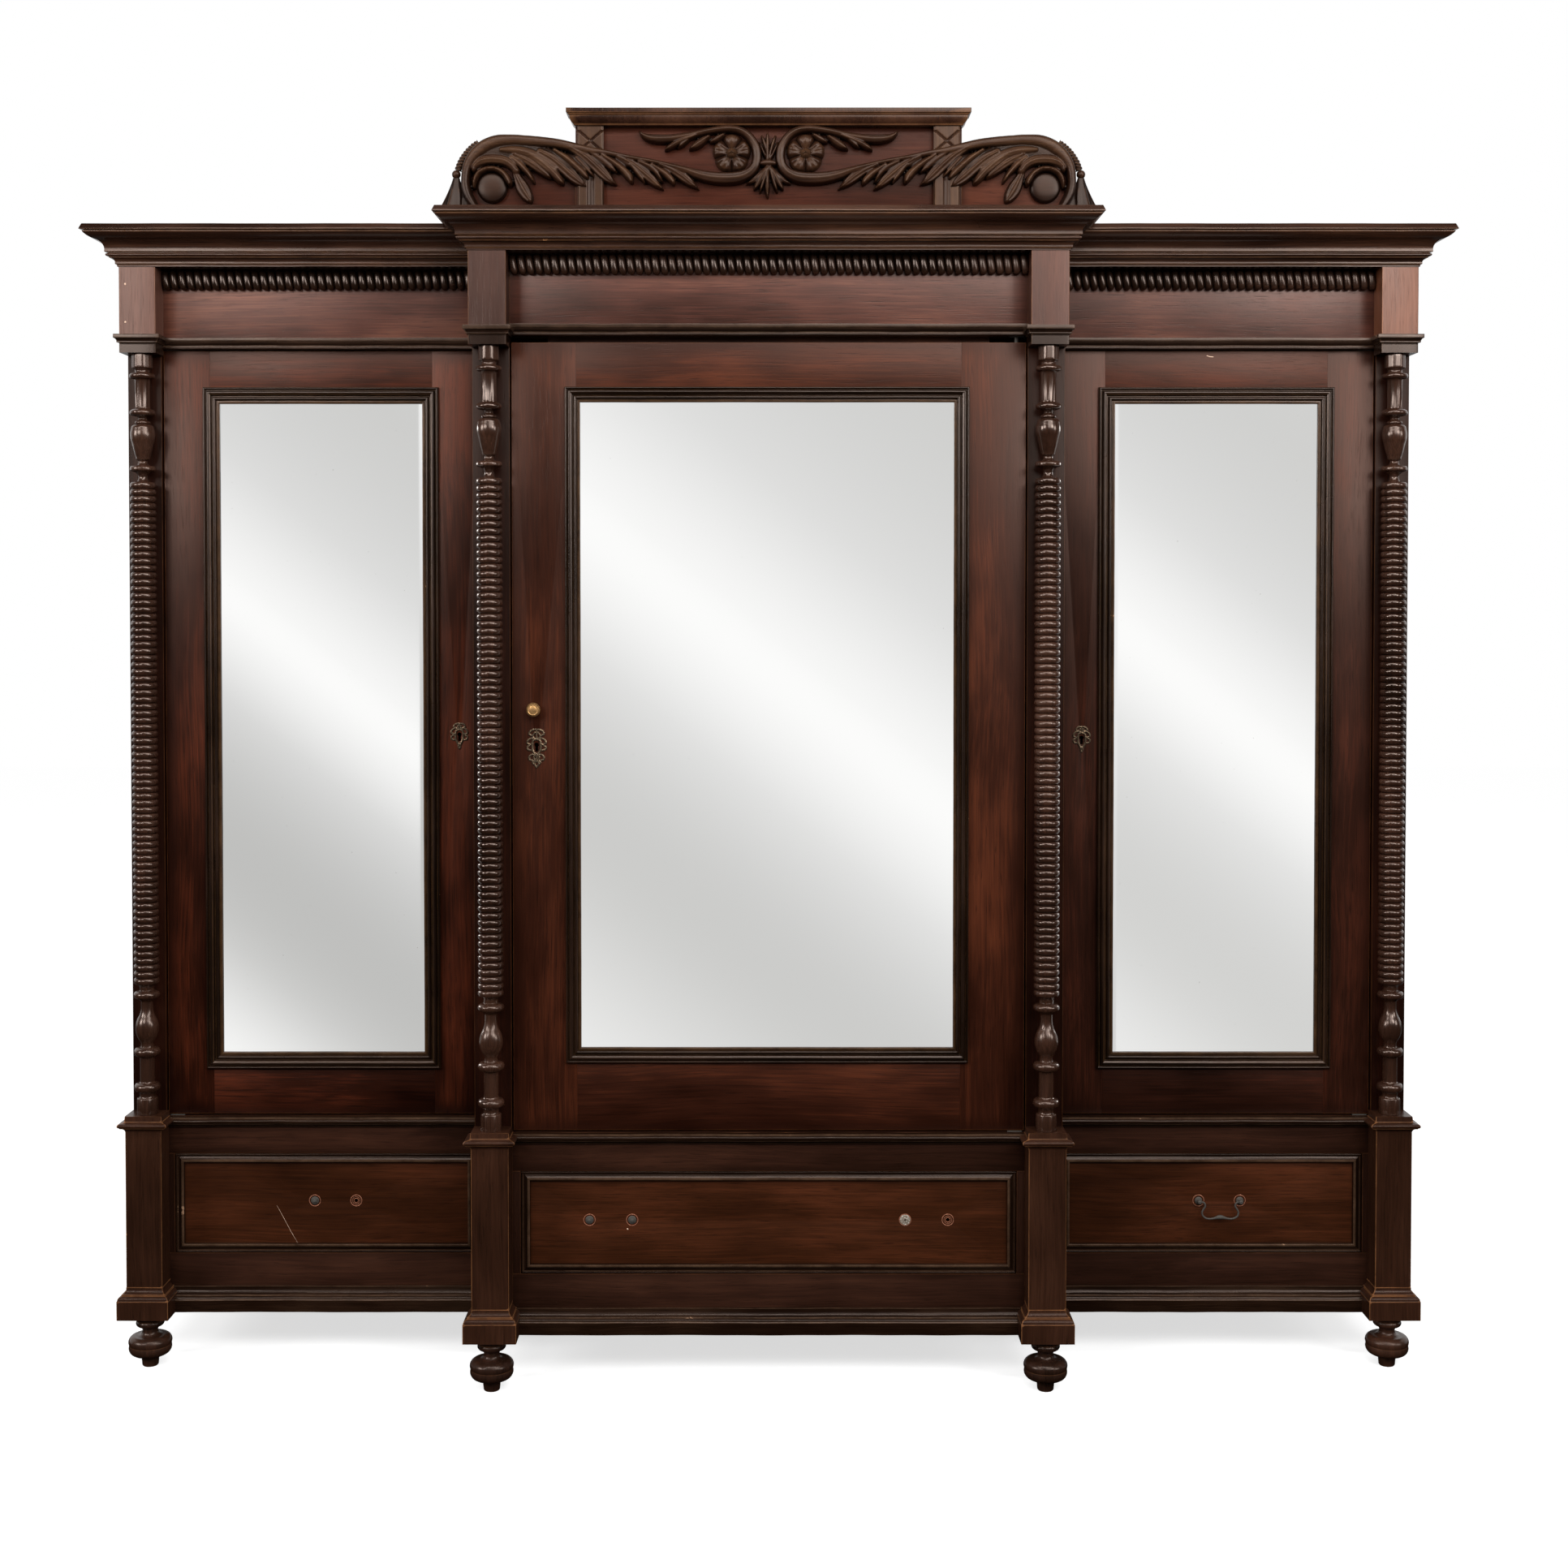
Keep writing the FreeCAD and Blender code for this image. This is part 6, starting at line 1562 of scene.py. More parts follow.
ACANTHUS_SCROLL = (
    Stroke(((517, 2158, 12), (497, 2176, 16), (470, 2184, 19), (445, 2183, 22), (420, 2177, 22), (395, 2171, 21),
            (370, 2164, 20), (345, 2161, 18), (320, 2162, 15), (295, 2165, 12), (270, 2163, 10), (245, 2161, 8),
            (220, 2154, 7), (195, 2150, 6), (170, 2147, 5)), 8, 7, 9.0),
    Stroke(((512, 2080, 6), (521, 2092, 8.3), (529, 2107, 8.8), (533, 2123, 8.8), (533, 2140, 8.6), (530, 2156, 9.4),
            (522, 2171, 11), (510, 2184, 12.5), (495, 2194.5, 12.5), (475, 2201.5, 11.8), (450, 2203.3, 10.4),
            (430, 2202.3, 10.2), (400, 2200, 10), (370, 2196.5, 9.5), (340, 2190, 9), (310, 2184, 7.4),
            (280, 2179.5, 6.4),
            (250, 2173, 6)), 17, 10, 3.4),
    Stroke(((300, 2183, 6), (250, 2173.5, 5.6), (200, 2164.5, 5.4), (150, 2152, 6.8), (125, 2143.5, 9.5),
            (100, 2138, 11), (75, 2136.5, 11.6), (55, 2138, 11.4), (42, 2142, 10.5), (32, 2148, 9.4), (24, 2158, 8.8),
            (20.5, 2172, 8.6), (21.5, 2187, 8.4), (27, 2200, 8), (36, 2211.5, 7.6), (48, 2219.5, 7.2), (62, 2223, 6.6),
            (80, 2223, 6.6), (110, 2218.5, 6.4), (140, 2211.5, 7), (170, 2206.5, 8), (195, 2205.5, 8.6), (212, 2208, 7),
            (222, 2213, 4), (227, 2219, 1.4)), 10, 8, 2.0, 0.3),
    Stroke(((470, 2185, 4), (450, 2185, 7.5), (430, 2182, 9), (410, 2175, 9.5), (392, 2165, 9), (376, 2154, 7)),
           13, 10, 3.0, 0.3),
    Stroke(((519, 2149, 4), (516.5, 2157, 6.5), (508, 2164.5, 8.2), (495, 2168.3, 9), (480, 2168.8, 9.2),
            (465, 2166.5, 9), (452, 2159, 8.4), (444, 2149, 7)), 13, 12, 2.0, 0.5),
    Stroke(((452, 2172, 5), (440, 2163, 6.4), (430, 2153, 6), (421, 2142.5, 5), (415, 2133, 3.6), (412.5, 2128.5, 1.6)),
           10, 15, 1.3, 0.5),
    Stroke(((446, 2146, 6), (439, 2131, 9.5), (432.5, 2118, 12.4), (426, 2107, 10.6), (421, 2099, 6),
            (419, 2093.5, 1.5)), 9, 9, 1.9, 1.1),
    Stroke(((519, 2121, 3), (517.5, 2132, 4.8), (511.5, 2144, 5.4), (500, 2151.2, 5.4), (487, 2153, 5.4),
            (475, 2150.5, 5.4), (465, 2143.5, 5.6), (458.5, 2134.5, 6.2), (455, 2127, 4.6), (456, 2123.5, 2)),
           8, 18, 1.4, 0.5),
    Stroke(((448, 2178, 4), (432, 2171, 7), (416, 2162, 9), (402, 2152, 8.6), (391, 2143.5, 6), (383.5, 2137, 2)),
           11, 7, 2.4, 0.6),
    Stroke(((428, 2181, 5), (407, 2170, 8.5), (389, 2156, 9), (375, 2142.5, 8), (366.5, 2132.5, 6.4),
            (362, 2127.5, 2.8)), 11, 13, 1.4, 0.6),
    Stroke(((402, 2182, 6), (382, 2171, 9), (364, 2157, 11), (347, 2142, 11.4), (333, 2130.5, 8.4), (321, 2122, 1.8)),
           12, 7, 2.6, 0.9),
    Stroke(((376, 2185, 4), (354, 2170, 5.6), (337, 2155.5, 6.4), (325, 2144, 6.4),
            (319, 2136.5, 3.6)), 13, 15, 1.3, 0.3),
    Stroke(((338, 2172, 3), (324, 2157, 4), (313, 2145, 3.8), (307, 2138, 1.4)), 10, 8, 1.6),
    Stroke(((350, 2190, 6), (327, 2177, 9), (307, 2160, 11), (291, 2144.5, 11), (279, 2133, 7), (268.5, 2126, 1.6)),
           12, 7, 2.6, 0.9),
    Stroke(((318, 2184, 4), (295, 2170, 6), (278, 2156, 6), (268, 2147, 2)), 10, 8, 2.4),
    Stroke(((293, 2177, 4), (272, 2163.5, 5.8), (256, 2151, 7), (246, 2140, 7.4),
            (241.5, 2130.5, 4)), 11, 15, 1.3, 0.4),
    Stroke(((243, 2160, 3.5), (230, 2145, 5), (223, 2136, 4), (218.5, 2128.5, 1.5)), 10, 9, 1.5),
    Stroke(((266, 2174, 5), (242, 2162.5, 8), (223, 2148.5, 9.6), (207, 2135, 9), (195.5, 2124.5, 5.6),
            (186, 2117.5, 1.5)),
           11, 8, 1.6, 0.8),
    Stroke(((228, 2165, 4), (209, 2156.5, 5.4), (196, 2144.5, 5), (187.5, 2131, 2)), 11, 8, 1.8),
    Stroke(((206, 2160, 4), (190, 2150, 6), (177.5, 2140.5, 6.8), (169.5, 2132, 5.6), (167, 2126.5, 2.6)), 10, 14, 1.3,
           0.3),
    Stroke(((192, 2160, 4), (171, 2151.5, 7.6), (153.5, 2141, 9.2), (141, 2131.5, 8), (131, 2123.5, 4.4),
            (123, 2117.8, 1.2)), 10, 7, 2.2, 0.8),
    Stroke(((128, 2211.5, 3.6), (148, 2204.5, 6), (163, 2197.5, 6.2), (175, 2190.5, 5),
            (181.5, 2186, 2)), 9, 8, 1.5, 0.4),
    Stroke(((142, 2203, 3), (152, 2196, 4.4), (159, 2190, 1.4)), 8, 7, 2.0),
    Stroke(((106, 2209, 4), (117, 2201.5, 7), (128, 2194, 6.8), (138.5, 2187.5, 2)), 9, 9, 1.5, 0.4),
    Stroke(((80, 2212, 3.6), (91, 2205.5, 5.8), (101, 2200.5, 3)), 9, 7, 1.8),
)
VOLUTE_EYE = (Stroke(((487, 2120.5, 26.5), (487.5, 2120.5, 26.5)), 5, 5, 3.4),)


def mirrored_strokes(strokes: Sequence[Stroke]) -> tuple[Stroke, ...]:
    """The strokes and their mirror images, for a carving on the middle line."""
    return tuple(strokes) + tuple(
        replace(stroke, line=tuple((-x, z, width) for x, z, width in stroke.line)) for stroke in strokes)


PALMETTES = mirrored_strokes((
    Stroke(((1, 2172, 3.4), (4, 2186, 3.4), (8, 2200, 3.4), (12, 2211, 1.8)), 8, 6, 1.8),
    Stroke(((2, 2170, 3.2), (8, 2181, 3.0), (13, 2192, 2.8), (16, 2200, 1.5)), 7, 5, 2.4),
    Stroke(((3, 2155, 4.5), (14, 2144, 5.6), (25, 2134, 5.6), (38, 2127.5, 1.6)), 9, 5, 2.2, 0.4),
    Stroke(((3, 2155, 4.5), (13, 2139, 5.6), (20, 2126, 5.4), (25, 2117.5, 1.8)), 10, 8, 1.6, 0.4),
    Stroke(((2, 2155, 4.0), (7, 2138, 4.0), (11.5, 2124, 4.0), (15, 2113, 1.6)), 11, 9, 1.4, 0.3),
)) + (
    Stroke(((-2, 2170, 3.8), (-2, 2186, 3.8), (-2, 2202, 4.0), (-2, 2216, 1.8)), 10, 8, 1.5),
    Stroke(((-1, 2155, 4.0), (-2, 2136, 4.4), (-2.5, 2119, 5.0), (-2, 2104, 2.0)), 12, 12, 1.4, 0.5),
    Stroke(((-12, 2162, 5.0), (-5, 2163, 7.0), (3, 2163, 7.0), (10, 2162, 5.0)), 12, 12, 1.8),
)


@dataclass(frozen=True)
class CrestCarving:
    """The carved crest: acanthus scrolls with volutes, rosettes, palmettes, tassels and pilasters."""

    board_front: float = -228.0
    rosette_x: float = 65.0
    rosette_z: float = 2181.0
    rosette_radius: float = 34.0
    cap: tuple[Any, ...] = (
        (0, 0), (0.10, 0.02), (0.16, 0.10), ((0.40, 0.22), (0.62, 0.60)), (0.80, 0.62), (0.82, 0.70), (1, 0.72), (1, 1))

    def build(self, wardrobe: "Wardrobe") -> None:
        """Build every carved piece of the crest.

        Args:
            wardrobe: the whole wardrobe, which takes the pieces.
        """
        scroll = Relief(ACANTHUS_SCROLL, pitch=1.4, wall=8.5, ground=11.5, shoulder=3.0)
        volute = Relief(VOLUTE_EYE, pitch=1.4, wall=9, ground=10, shoulder=3.0)
        right = join([scroll.surface(self.board_front), volute.surface(self.board_front)])
        wardrobe.add("right_scroll_carving", right, CARVED_FINISH, "crest_scrolls", crease=70)
        wardrobe.add("left_scroll_carving", right.mirrored(), CARVED_FINISH, "crest_scrolls", crease=70)
        palmettes = Relief(PALMETTES, pitch=1.0, wall=7, ground=9, shoulder=2.0).surface(self.board_front)
        flowers = [self._rosette(side) for side in (-1, 1)]
        make_piece("rosettes_and_palmettes", join([palmettes, *flowers]), CARVED_FINISH, "root",
                   ("crest_rosettes_and_palmettes",), crease=70)
        for side, name in SIDES:
            make_piece(f"{name}_rope_and_tassel", self._rope(side), CARVED_FINISH, "root", crease=70)
        wardrobe.add("fluted_pilasters", join([self._pilaster(side) for side in (-1, 1)]), CARVED_FINISH,
                     "crest_pilasters", crease=40)
        outline = Outline.drawn(self.cap, across=14, along=28, base=2228, round_off=0.5)
        cap = moulded_post((-341, 341), y_front=-244, y_back=-208, outline=outline, seed=4.4)
        wardrobe.add("crest_cap_moulding", cap, CORNICE_FINISH, "crest_cap")

    def _rosette(self, side: int) -> Surface:
        """A five-petalled flower, in shares p of its reach and t round it.

        Its reach is R(0.88 + 0.12 cos^0.6) of the place across each petal. Its height is a cupped petal,
        creased between petals and ribbed along them, round a domed bud of four lobes.

        Args:
            side: -1 for the left one and 1 for the right one.

        Returns:
            A closed surface.
        """
        around, bud_radius = 120, 9.0
        share = np.concatenate([[0.0], np.linspace(0.04, 1, 26)])[:, None]
        turn = 2 * math.pi * np.arange(around)[None, :] / around
        place = ((turn * 5 / (2 * math.pi) + 0.25) % 1.0 - 0.5) * 2
        radius = share * (self.rosette_radius * (0.88 + 0.12 * np.cos(place * math.pi / 2) ** 0.6))
        cup = 5.5 + 8.5 * np.sin(math.pi * share ** 1.25 * 0.86) ** 0.9
        crease = 1 - 0.42 * np.abs(place) ** 5 * smooth_step(0.2, 0.6, share)
        ribs = 0.7 * np.cos(place * math.pi * 3.5) * smooth_step(0.35, 0.8, share)
        bud = 8 + (11.5 + 0.9 * np.cos(4 * turn)) * np.sqrt(np.clip(1 - (radius / bud_radius) ** 2, 0, 1))
        height = np.where(radius < bud_radius, np.maximum(bud, 7), cup * crease + ribs)
        height = 5 + (height - 5) * smooth_step(1.0, 0.90, share)
        front = np.stack([side * self.rosette_x + radius * np.cos(turn), self.board_front - height,
                          self.rosette_z + radius * np.sin(turn)], axis=-1)
        behind = front[-1:] * np.array([1, 0, 1]) + np.array([0, self.board_front, 0])
        points = np.vstack([front, behind]).reshape(-1, 3)
        sides, caps = tube_faces(share.size + 1, around)
        # Low edge values on the bud and on the petal middles give a light line that is rubbed wear and painted
        # highlight. High values darken the creases between the petals.
        edge = np.where(radius < bud_radius, 1.3, 2.2 + 8 * np.abs(place) ** 3)
        edge = np.vstack([edge, edge[-1:] + 9]).ravel()
        return Surface(points, [sides, caps[1:]], points[:, [2, 1, 0]], edge)

    def _rope(self, side: int) -> Surface:
        """A twisted rope down the scroll's outer edge, a bead, and a skirted tassel under it.

        The rope's radius is R(1 + 0.13 cos(3a + 2 pi s / 6)) at angle a and s mm along. The tassel's is
        R t^1.2, folded by a cosine of the angle that deepens downwards, and flat from front to back.

        Args:
            side: -1 for the left one and 1 for the right one.

        Returns:
            The rope, the bead and the tassel as one surface.
        """
        around = 24
        line = smooth_path([(510, 2199), (520, 2192), (531, 2181), (541, 2166), (547, 2151)], 24)
        path = np.stack([line[:, 0], np.full(len(line), self.board_front - 8.0), line[:, 1]], axis=1)
        rope = swept_rod(path, np.full(len(path), 6.0), around)
        angle = np.tile(2 * math.pi * np.arange(around) / around, len(path))
        change = 1 + 0.13 * np.cos(3 * angle + 2 * math.pi * np.repeat(distances(path), around) / 6)
        middle = np.repeat(path, around, axis=0)
        points = middle + (rope.points - middle) * change[:, None]
        # The strand crests read as arrises and take a light line that is rubbed wear and painted highlight. The grooves
        # between the strands are darkened.
        twisted = Surface(points, rope.faces, points[:, [2, 1, 0]], np.where(change > 1.05, 1.6, 9.0))
        height = np.sin(np.linspace(-1, 1, 13) * math.pi / 2)
        ball = np.stack([np.full(13, 550.0), np.full(13, self.board_front - 9.0), 2143.5 + 7.8 * height], axis=1)
        bead = swept_rod(ball, 7.8 * np.sqrt(np.clip(1 - height ** 2, 0.01, 1)), around)
        whole = join([twisted, bead, self._tassel()])
        return whole if side > 0 else whole.mirrored()

    def _tassel(self) -> Surface:
        """The tassel's skirt, in shares t down from the bead and turns a about its middle.

        Returns:
            A closed surface, on the right side.
        """
        rows, around = 24, 56
        t = np.linspace(0, 1, rows)[:, None]
        a = 2 * math.pi * np.arange(around)[None, :] / around
        folds = 1 + 0.16 * t * np.cos(7 * a + 1.1) - 0.34 * smooth_step(0.35, 1.0, t) * np.exp(
            -((a - 4.15) / 0.30) ** 2)
        radius = (6.0 + 20.5 * t ** 1.15) * folds
        x = 550 - 0.5 * t + radius * np.cos(a)
        y = self.board_front - 9.0 + 0.55 * radius * np.sin(a)
        z = 2137 - 55 * t + 1.2 * t * np.cos(5 * a) + 0 * radius
        points = np.stack([x, y, z], axis=-1).reshape(-1, 3)
        # The ridges of the folds take a light line that is rubbed wear and painted highlight. The rest of the skirt is
        # darkened.
        edge = np.broadcast_to(np.where(folds > 1.05, 1.8, 10.0), x.shape).ravel()
        return Surface(points, tube_faces(rows, around), points[:, [2, 1, 0]], edge)

    def _pilaster(self, side: int) -> Surface:
        """A pilaster with three flutes, and a block at its head cut with a cross of two grooves.

        A flute is a cosine hollow over a third of the width. The cross is where |u| and |v| are equal.

        Args:
            side: -1 for the left one and 1 for the right one.

        Returns:
            A closed surface.
        """
        u = np.linspace(-1, 1, 41)[:, None]
        z = np.linspace(2069.3, 2227.8, 115)[None, :]
        head = smooth_step(2176, 2178, z)
        inside = smooth_step(1.0, 0.86, np.abs(u))
        flutes = 3.6 * np.clip(np.cos(u * math.pi * 1.5 * 1.1), 0, 1) ** 0.7 * (np.abs(u) < 0.96)
        ends = smooth_step(2074, 2080, z) * smooth_step(2172, 2166, z)
        v = (z - 2202) / 20
        cross = 2.4 * np.clip(1 - np.abs(np.abs(u) - np.abs(v)) / 0.16, 0, 1) * (np.abs(v) < 0.9)
        depth = (1 - head) * flutes * ends + head * cross
        height = 12 * (0.86 + 0.14 * inside) - depth + head * 1.5
        x = side * 313.5 + 23 * u + 0 * z
        front = np.stack([x, self.board_front - height, z + 0 * u], axis=-1)
        rows, columns = x.shape
        flat = front.reshape(-1, 3)
        behind = flat * np.array([1, 0, 1]) + np.array([0, self.board_front, 0])
        count = len(flat)
        quads = grid_faces(rows, columns)
        rim = np.concatenate([np.arange(columns - 1), np.arange(rows - 1) * columns + columns - 1,
                              np.arange(rows * columns - 1, (rows - 1) * columns, -1),
                              np.arange(rows - 1, 0, -1) * columns])
        after = np.roll(rim, -1)
        wall = np.stack([rim, after, after + count, rim + count], axis=1)
        # The flat faces take a light line that is rubbed wear and painted highlight. The flutes and the grooves of the
        # cross are darkened.
        edge = np.where(depth.ravel() > 0.5, 6.0, 1.7)
        points = np.vstack([flat, behind])
        return Surface(points, [quads, quads[:, ::-1] + count, wall], points.copy(),
                       np.concatenate([edge, edge + 9]))


# Fittings

@dataclass(frozen=True)
class Fittings:
    """The knob, the pierced escutcheons, the bail handle on its posts and the old bolts."""

    knob: tuple[Any, ...] = (
        (9, 0), (9, 1.6), (6.4, 2.2), ((4.6, 5), (4.9, 8.2)), (5.8, 9.4), (6.0, 10.4), ((12.4, 14.6), (10.4, 20.8)),
        (9.6, 22), (8.9, 22.2), (7.8, 21.4), ((4, 22.6), (0.3, 22.9)))
    post: tuple[Any, ...] = (
        (7, 0), (7, 0.7), ((6.1, 1.9), (4.0, 2.3)), (3.0, 3.2), (2.8, 6.4), ((4.5, 9.0), (4.1, 11.8)),
        ((3.2, 13.6), (0.3, 14)))
    bolt: tuple[Any, ...] = (
        (7.4, 0), (7.4, 0.5), (6.8, 0.9), (5.2, 1.0), (5.2, 3.2), (4.6, 3.7), (2.7, 3.8), (2.7, 5.0), (2.2, 5.4),
        (0.3, 5.5))
    bright_bolt: tuple[Any, ...] = (
        (9.6, 0), (9.6, 0.6), ((9.0, 1.4), (7.2, 1.4)), (4.4, 1.0), (4.2, 3.4), (3.4, 4.0), (2.5, 3.9), (2.3, 0.3),
        (0.3, 0.3))
    ring_radius: float = 10.2
    holes: tuple[float, ...] = (-758.4, 319)
    bail: tuple[tuple[float, float], ...] = (
        (3.2, 0), (6.8, 0.6), (9.8, 3.4), (10.3, 8.2), (7.0, 13.6), (4.8, 19), (6.2, 25.4), (12.2, 29.8), (19.5, 31),
        (27, 29.9), (33, 28.4), (38, 27.8))

    def build(self, wardrobe: "Wardrobe") -> None:
        """Build each fitting on the door or drawer that carries it.

        Args:
            wardrobe: the whole wardrobe, which takes the pieces.
        """
        knob = turned_surface(Outline.drawn(self.knob, round_off=0.3), (-415, FACES["centre"], 1201), segments=48,
                              axis="y")
        wardrobe.add("turned_brass_knob", knob, WORN_BRASS, "centre_door_knob", "centre_door")
        self._escutcheons(wardrobe)
        self._handle(wardrobe)
        self._rings()
        rows = (("left", "nut", (-834.4,), self.bolt, self._nut, BLACKENED_IRON),
                ("centre", "nuts", (-319, -243), self.bolt, self._nut, BLACKENED_IRON),
                ("centre", "bright_nut", (243,), self.bright_bolt, None, BRIGHT_STEEL))
        for name, kind, places, steps, shape, finish in rows:
            bolts = [turned_surface(Outline.drawn(steps, round_off=0.2),
            (x, FACES[name], HANDLE_HEIGHT), 36, shape, "y")
                     for x in places]
            wardrobe.add(f"{name}_drawer_{kind}", join(bolts), finish, f"{name}_drawer_old_bolts", f"{name}_drawer",
                         crease=25)

    def _rings(self) -> None:
        """The thin rings that the lost rosettes left round bolts and posts, and finer ones round the empty holes.
        """
        rows = (("left", (-834.4, -758.4)), ("centre", (-319, -243, 243, 319)), ("right", (790.4, 866.4)))
        for name, places in rows:
            rings = [self._circle(x, FACES[name], radius, half) for x in places
                     for radius, half in ((self.ring_radius, 0.8), (6.9, 0.45), (4.2, 0.6))
                     if radius == self.ring_radius or x in self.holes]
            make_piece(f"{name}_drawer_rosette_rings", join(rings), RUBBED_COPPER, f"{name}_drawer",
                       crease=25)

    @staticmethod
    def _circle(x: float, face: float, radius: float, half: float) -> Surface:
        """One ring on a drawer's face, a little more than half out of it.

        Args:
            x: its middle across.
            face: the face's y.
            radius: its radius.
            half: half its thickness.

        Returns:
            A closed surface.
        """
        count = 42
        angle = np.linspace(0, 2.04 * math.pi, count)
        path = np.stack([x + radius * np.cos(angle), np.full(count, face - 0.1),
                         HANDLE_HEIGHT + radius * np.sin(angle)], axis=1)
        return swept_rod(path, np.full(count, half), segments=8)

    @staticmethod
    def _nut(radius: Array, along: Array, angle: Array) -> Array:
        """Six flats on the part between 0.95 and 3.6 mm from the face."""
        return np.where((along > 0.95) & (along < 3.6), radius * flats(angle, 6), radius)

    def _handle(self, wardrobe: "Wardrobe") -> None:
        """A bail that swings on two posts, thick in the middle of its grip.

        Args:
            wardrobe: the whole wardrobe, which takes the pieces.
        """
        outline, middle, half_span = Outline.drawn(self.post, round_off=0.2), 828.4, 38
        posts = [turned_surface(outline, (middle + side * half_span, FACES["right"], HANDLE_HEIGHT), 28, axis="y")
                 for side in (-1, 1)]
        wardrobe.add("bail_posts", join(posts), BLACKENED_IRON, "right_drawer_handle_posts", "right_drawer")
        half = [(across - half_span, HANDLE_HEIGHT - down) for across, down in self.bail]
        line = smooth_path(half + [(-x, z) for x, z in half[-2::-1]], 6)
        path = np.stack([middle + line[:, 0], np.full(len(line), FACES["right"] - 10.4), line[:, 1]], axis=1)
        radii = 1.7 + 2.3 * np.exp(-(line[:, 0] / 8.5) ** 2)
        wardrobe.add("bail_grip", swept_rod(path, radii, 16), BLACKENED_IRON, "right_drawer_bail_handle",
                     "bail_handle")

    def _escutcheons(self, wardrobe: "Wardrobe") -> None:
        """Cast plates of little scrolls round each keyhole. A line's shares are of the half plate.

        Args:
            wardrobe: the whole wardrobe, which takes the pieces.
        """
        side_lines = [
            [(0, 20, 1.5), (4.5, 20, 1.6), (9, 17.5, 1.5), (10, 13.5, 1.5), (6.5, 12.5, 1.4)],
            [(0, 18, 1.3), (0, 12, 1.5)], [(3, 16, 1.2), (4.5, 11, 1.4)],
            [(3, 11, 1.5), (8.5, 11.5, 1.5), (13.5, 8, 1.6), (14.6, 3, 1.6), (11.2, 1.2, 1.4)],
            [(11.4, -1.6, 1.4), (14.6, -3.6, 1.5), (13.6, -8.2, 1.6), (9.6, -9.6, 1.5)],
            [(0, 9.5, 1.8), (5.6, 7, 1.7), (7, 0, 1.7), (6.4, -8, 1.7), (3.4, -15, 1.8), (1.4, -19, 1.8)],
            [(7, 2, 1.6), (11, -0.2, 1.5)], [(0, -17, 2.2), (1.8, -21.5, 1.5), (0, -26, 1.3)]]
        centre_lines = [
            [(0, 27, 1.5), (5, 27, 1.7), (11, 24, 1.6), (13, 19, 1.6), (9.4, 17, 1.4)],
            [(0, 25, 1.3), (0, 12, 1.5)], [(3, 22, 1.3), (6.6, 16, 1.3), (4.4, 11, 1.5)],
            *[[(x * 1.12, z, width) for x, z, width in line] for line in side_lines[3:5]],
            [(0, 10.5, 1.8), (6, 7.5, 1.7), (7.5, 0, 1.7), (6.8, -9, 1.7), (4, -15, 1.8), (4.2, -18, 1.7)],
            [(7, 2, 1.6), (12, -0.2, 1.5)],
            [(4, -17, 1.5), (9, -17.5, 1.5), (13, -21.5, 1.6), (12, -26.5, 1.6), (8, -27, 1.3)],
            [(0, -16, 1.6), (4.6, -21, 1.5), (4, -27, 1.5), (6.8, -31, 1.5), (4.6, -34.5, 1.3)],
            [(0, -18, 1.5), (0, -30, 1.5)], [(3, -29, 1.3), (3.6, -34, 1.4), (0, -40, 1.3)]]
        rows = (("left", -565.5, 1149, side_lines), ("centre", -411, 1138, centre_lines),
                ("right", 572.5, 1143, side_lines))
        for name, x, z, lines in rows:
            strokes = [Stroke(tuple((x + side * across, z + up, width * 1.15) for across, up, width in line),
                              root=1.0, tip=0.8, worn=2.0) for line in lines for side in (-1, 1)]
            relief = Relief(strokes, pitch=0.45, wall=0.9, ground=1.2, shoulder=0.8, keyhole=(x, z))
            wardrobe.add(f"{name}_pierced_escutcheon", relief.surface(FACES[name]), ESCUTCHEON_IRON,
                         f"{name}_door_escutcheon", f"{name}_door", crease=60)


@dataclass(frozen=True)
class Marks:
    """Scratches, dents and plugged nail holes, as lines of bare wood that stand a little off the face.

    A row gives the piece's name, its body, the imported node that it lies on, the face's y, the line's
    half width, and each line's points as x and z.
    """

    rows: tuple[tuple[Any, ...], ...] = (
        ("block_plugs", "root", "frieze_blocks", -178, 2.2,
         (((-1155, 1961), (-1152, 1961)), ((-1155, 1893), (-1152, 1893)))),
        ("left_drawer_scratch", "left_drawer", "left_drawer_front", FACES["left"], 0.28,
         (((-904, 281), (-890, 255), (-878, 232), (-867, 213)),)),
        ("centre_drawer_dent", "centre_drawer", "centre_drawer_front", FACES["centre"], 1.6,
         (((-252.5, 275), (-250, 274)),)),
        ("right_door_scratches", "right_door", "right_door_frame", FACES["right"], 0.9,
         (((797.6, 1840), (803, 1838), (810, 1837.5)),)))

    def build(self, wardrobe: "Wardrobe") -> None:
        """Lay each row's lines as thin rods, of which a quarter of the width stands out.

        Args:
            wardrobe: the whole wardrobe; not used.
        """
        for name, body, node, face, radius, lines in self.rows:
            rods = []
            for line in lines:
                places = np.array(line, float)
                share = np.linspace(0, len(places) - 1, 4 * len(places) + 1)
                x, z = (np.interp(share, range(len(places)), places[:, column]) for column in (0, 1))
                path = np.stack([x, np.full(len(x), face + radius * 0.5), z], axis=1)
                rods.append(swept_rod(path, radius * np.sin(np.linspace(0.12, 0.88, len(x)) * math.pi) ** 0.4, 8))
            make_piece(name, join(rods), BARE_WOOD, body)


# Camera and studio

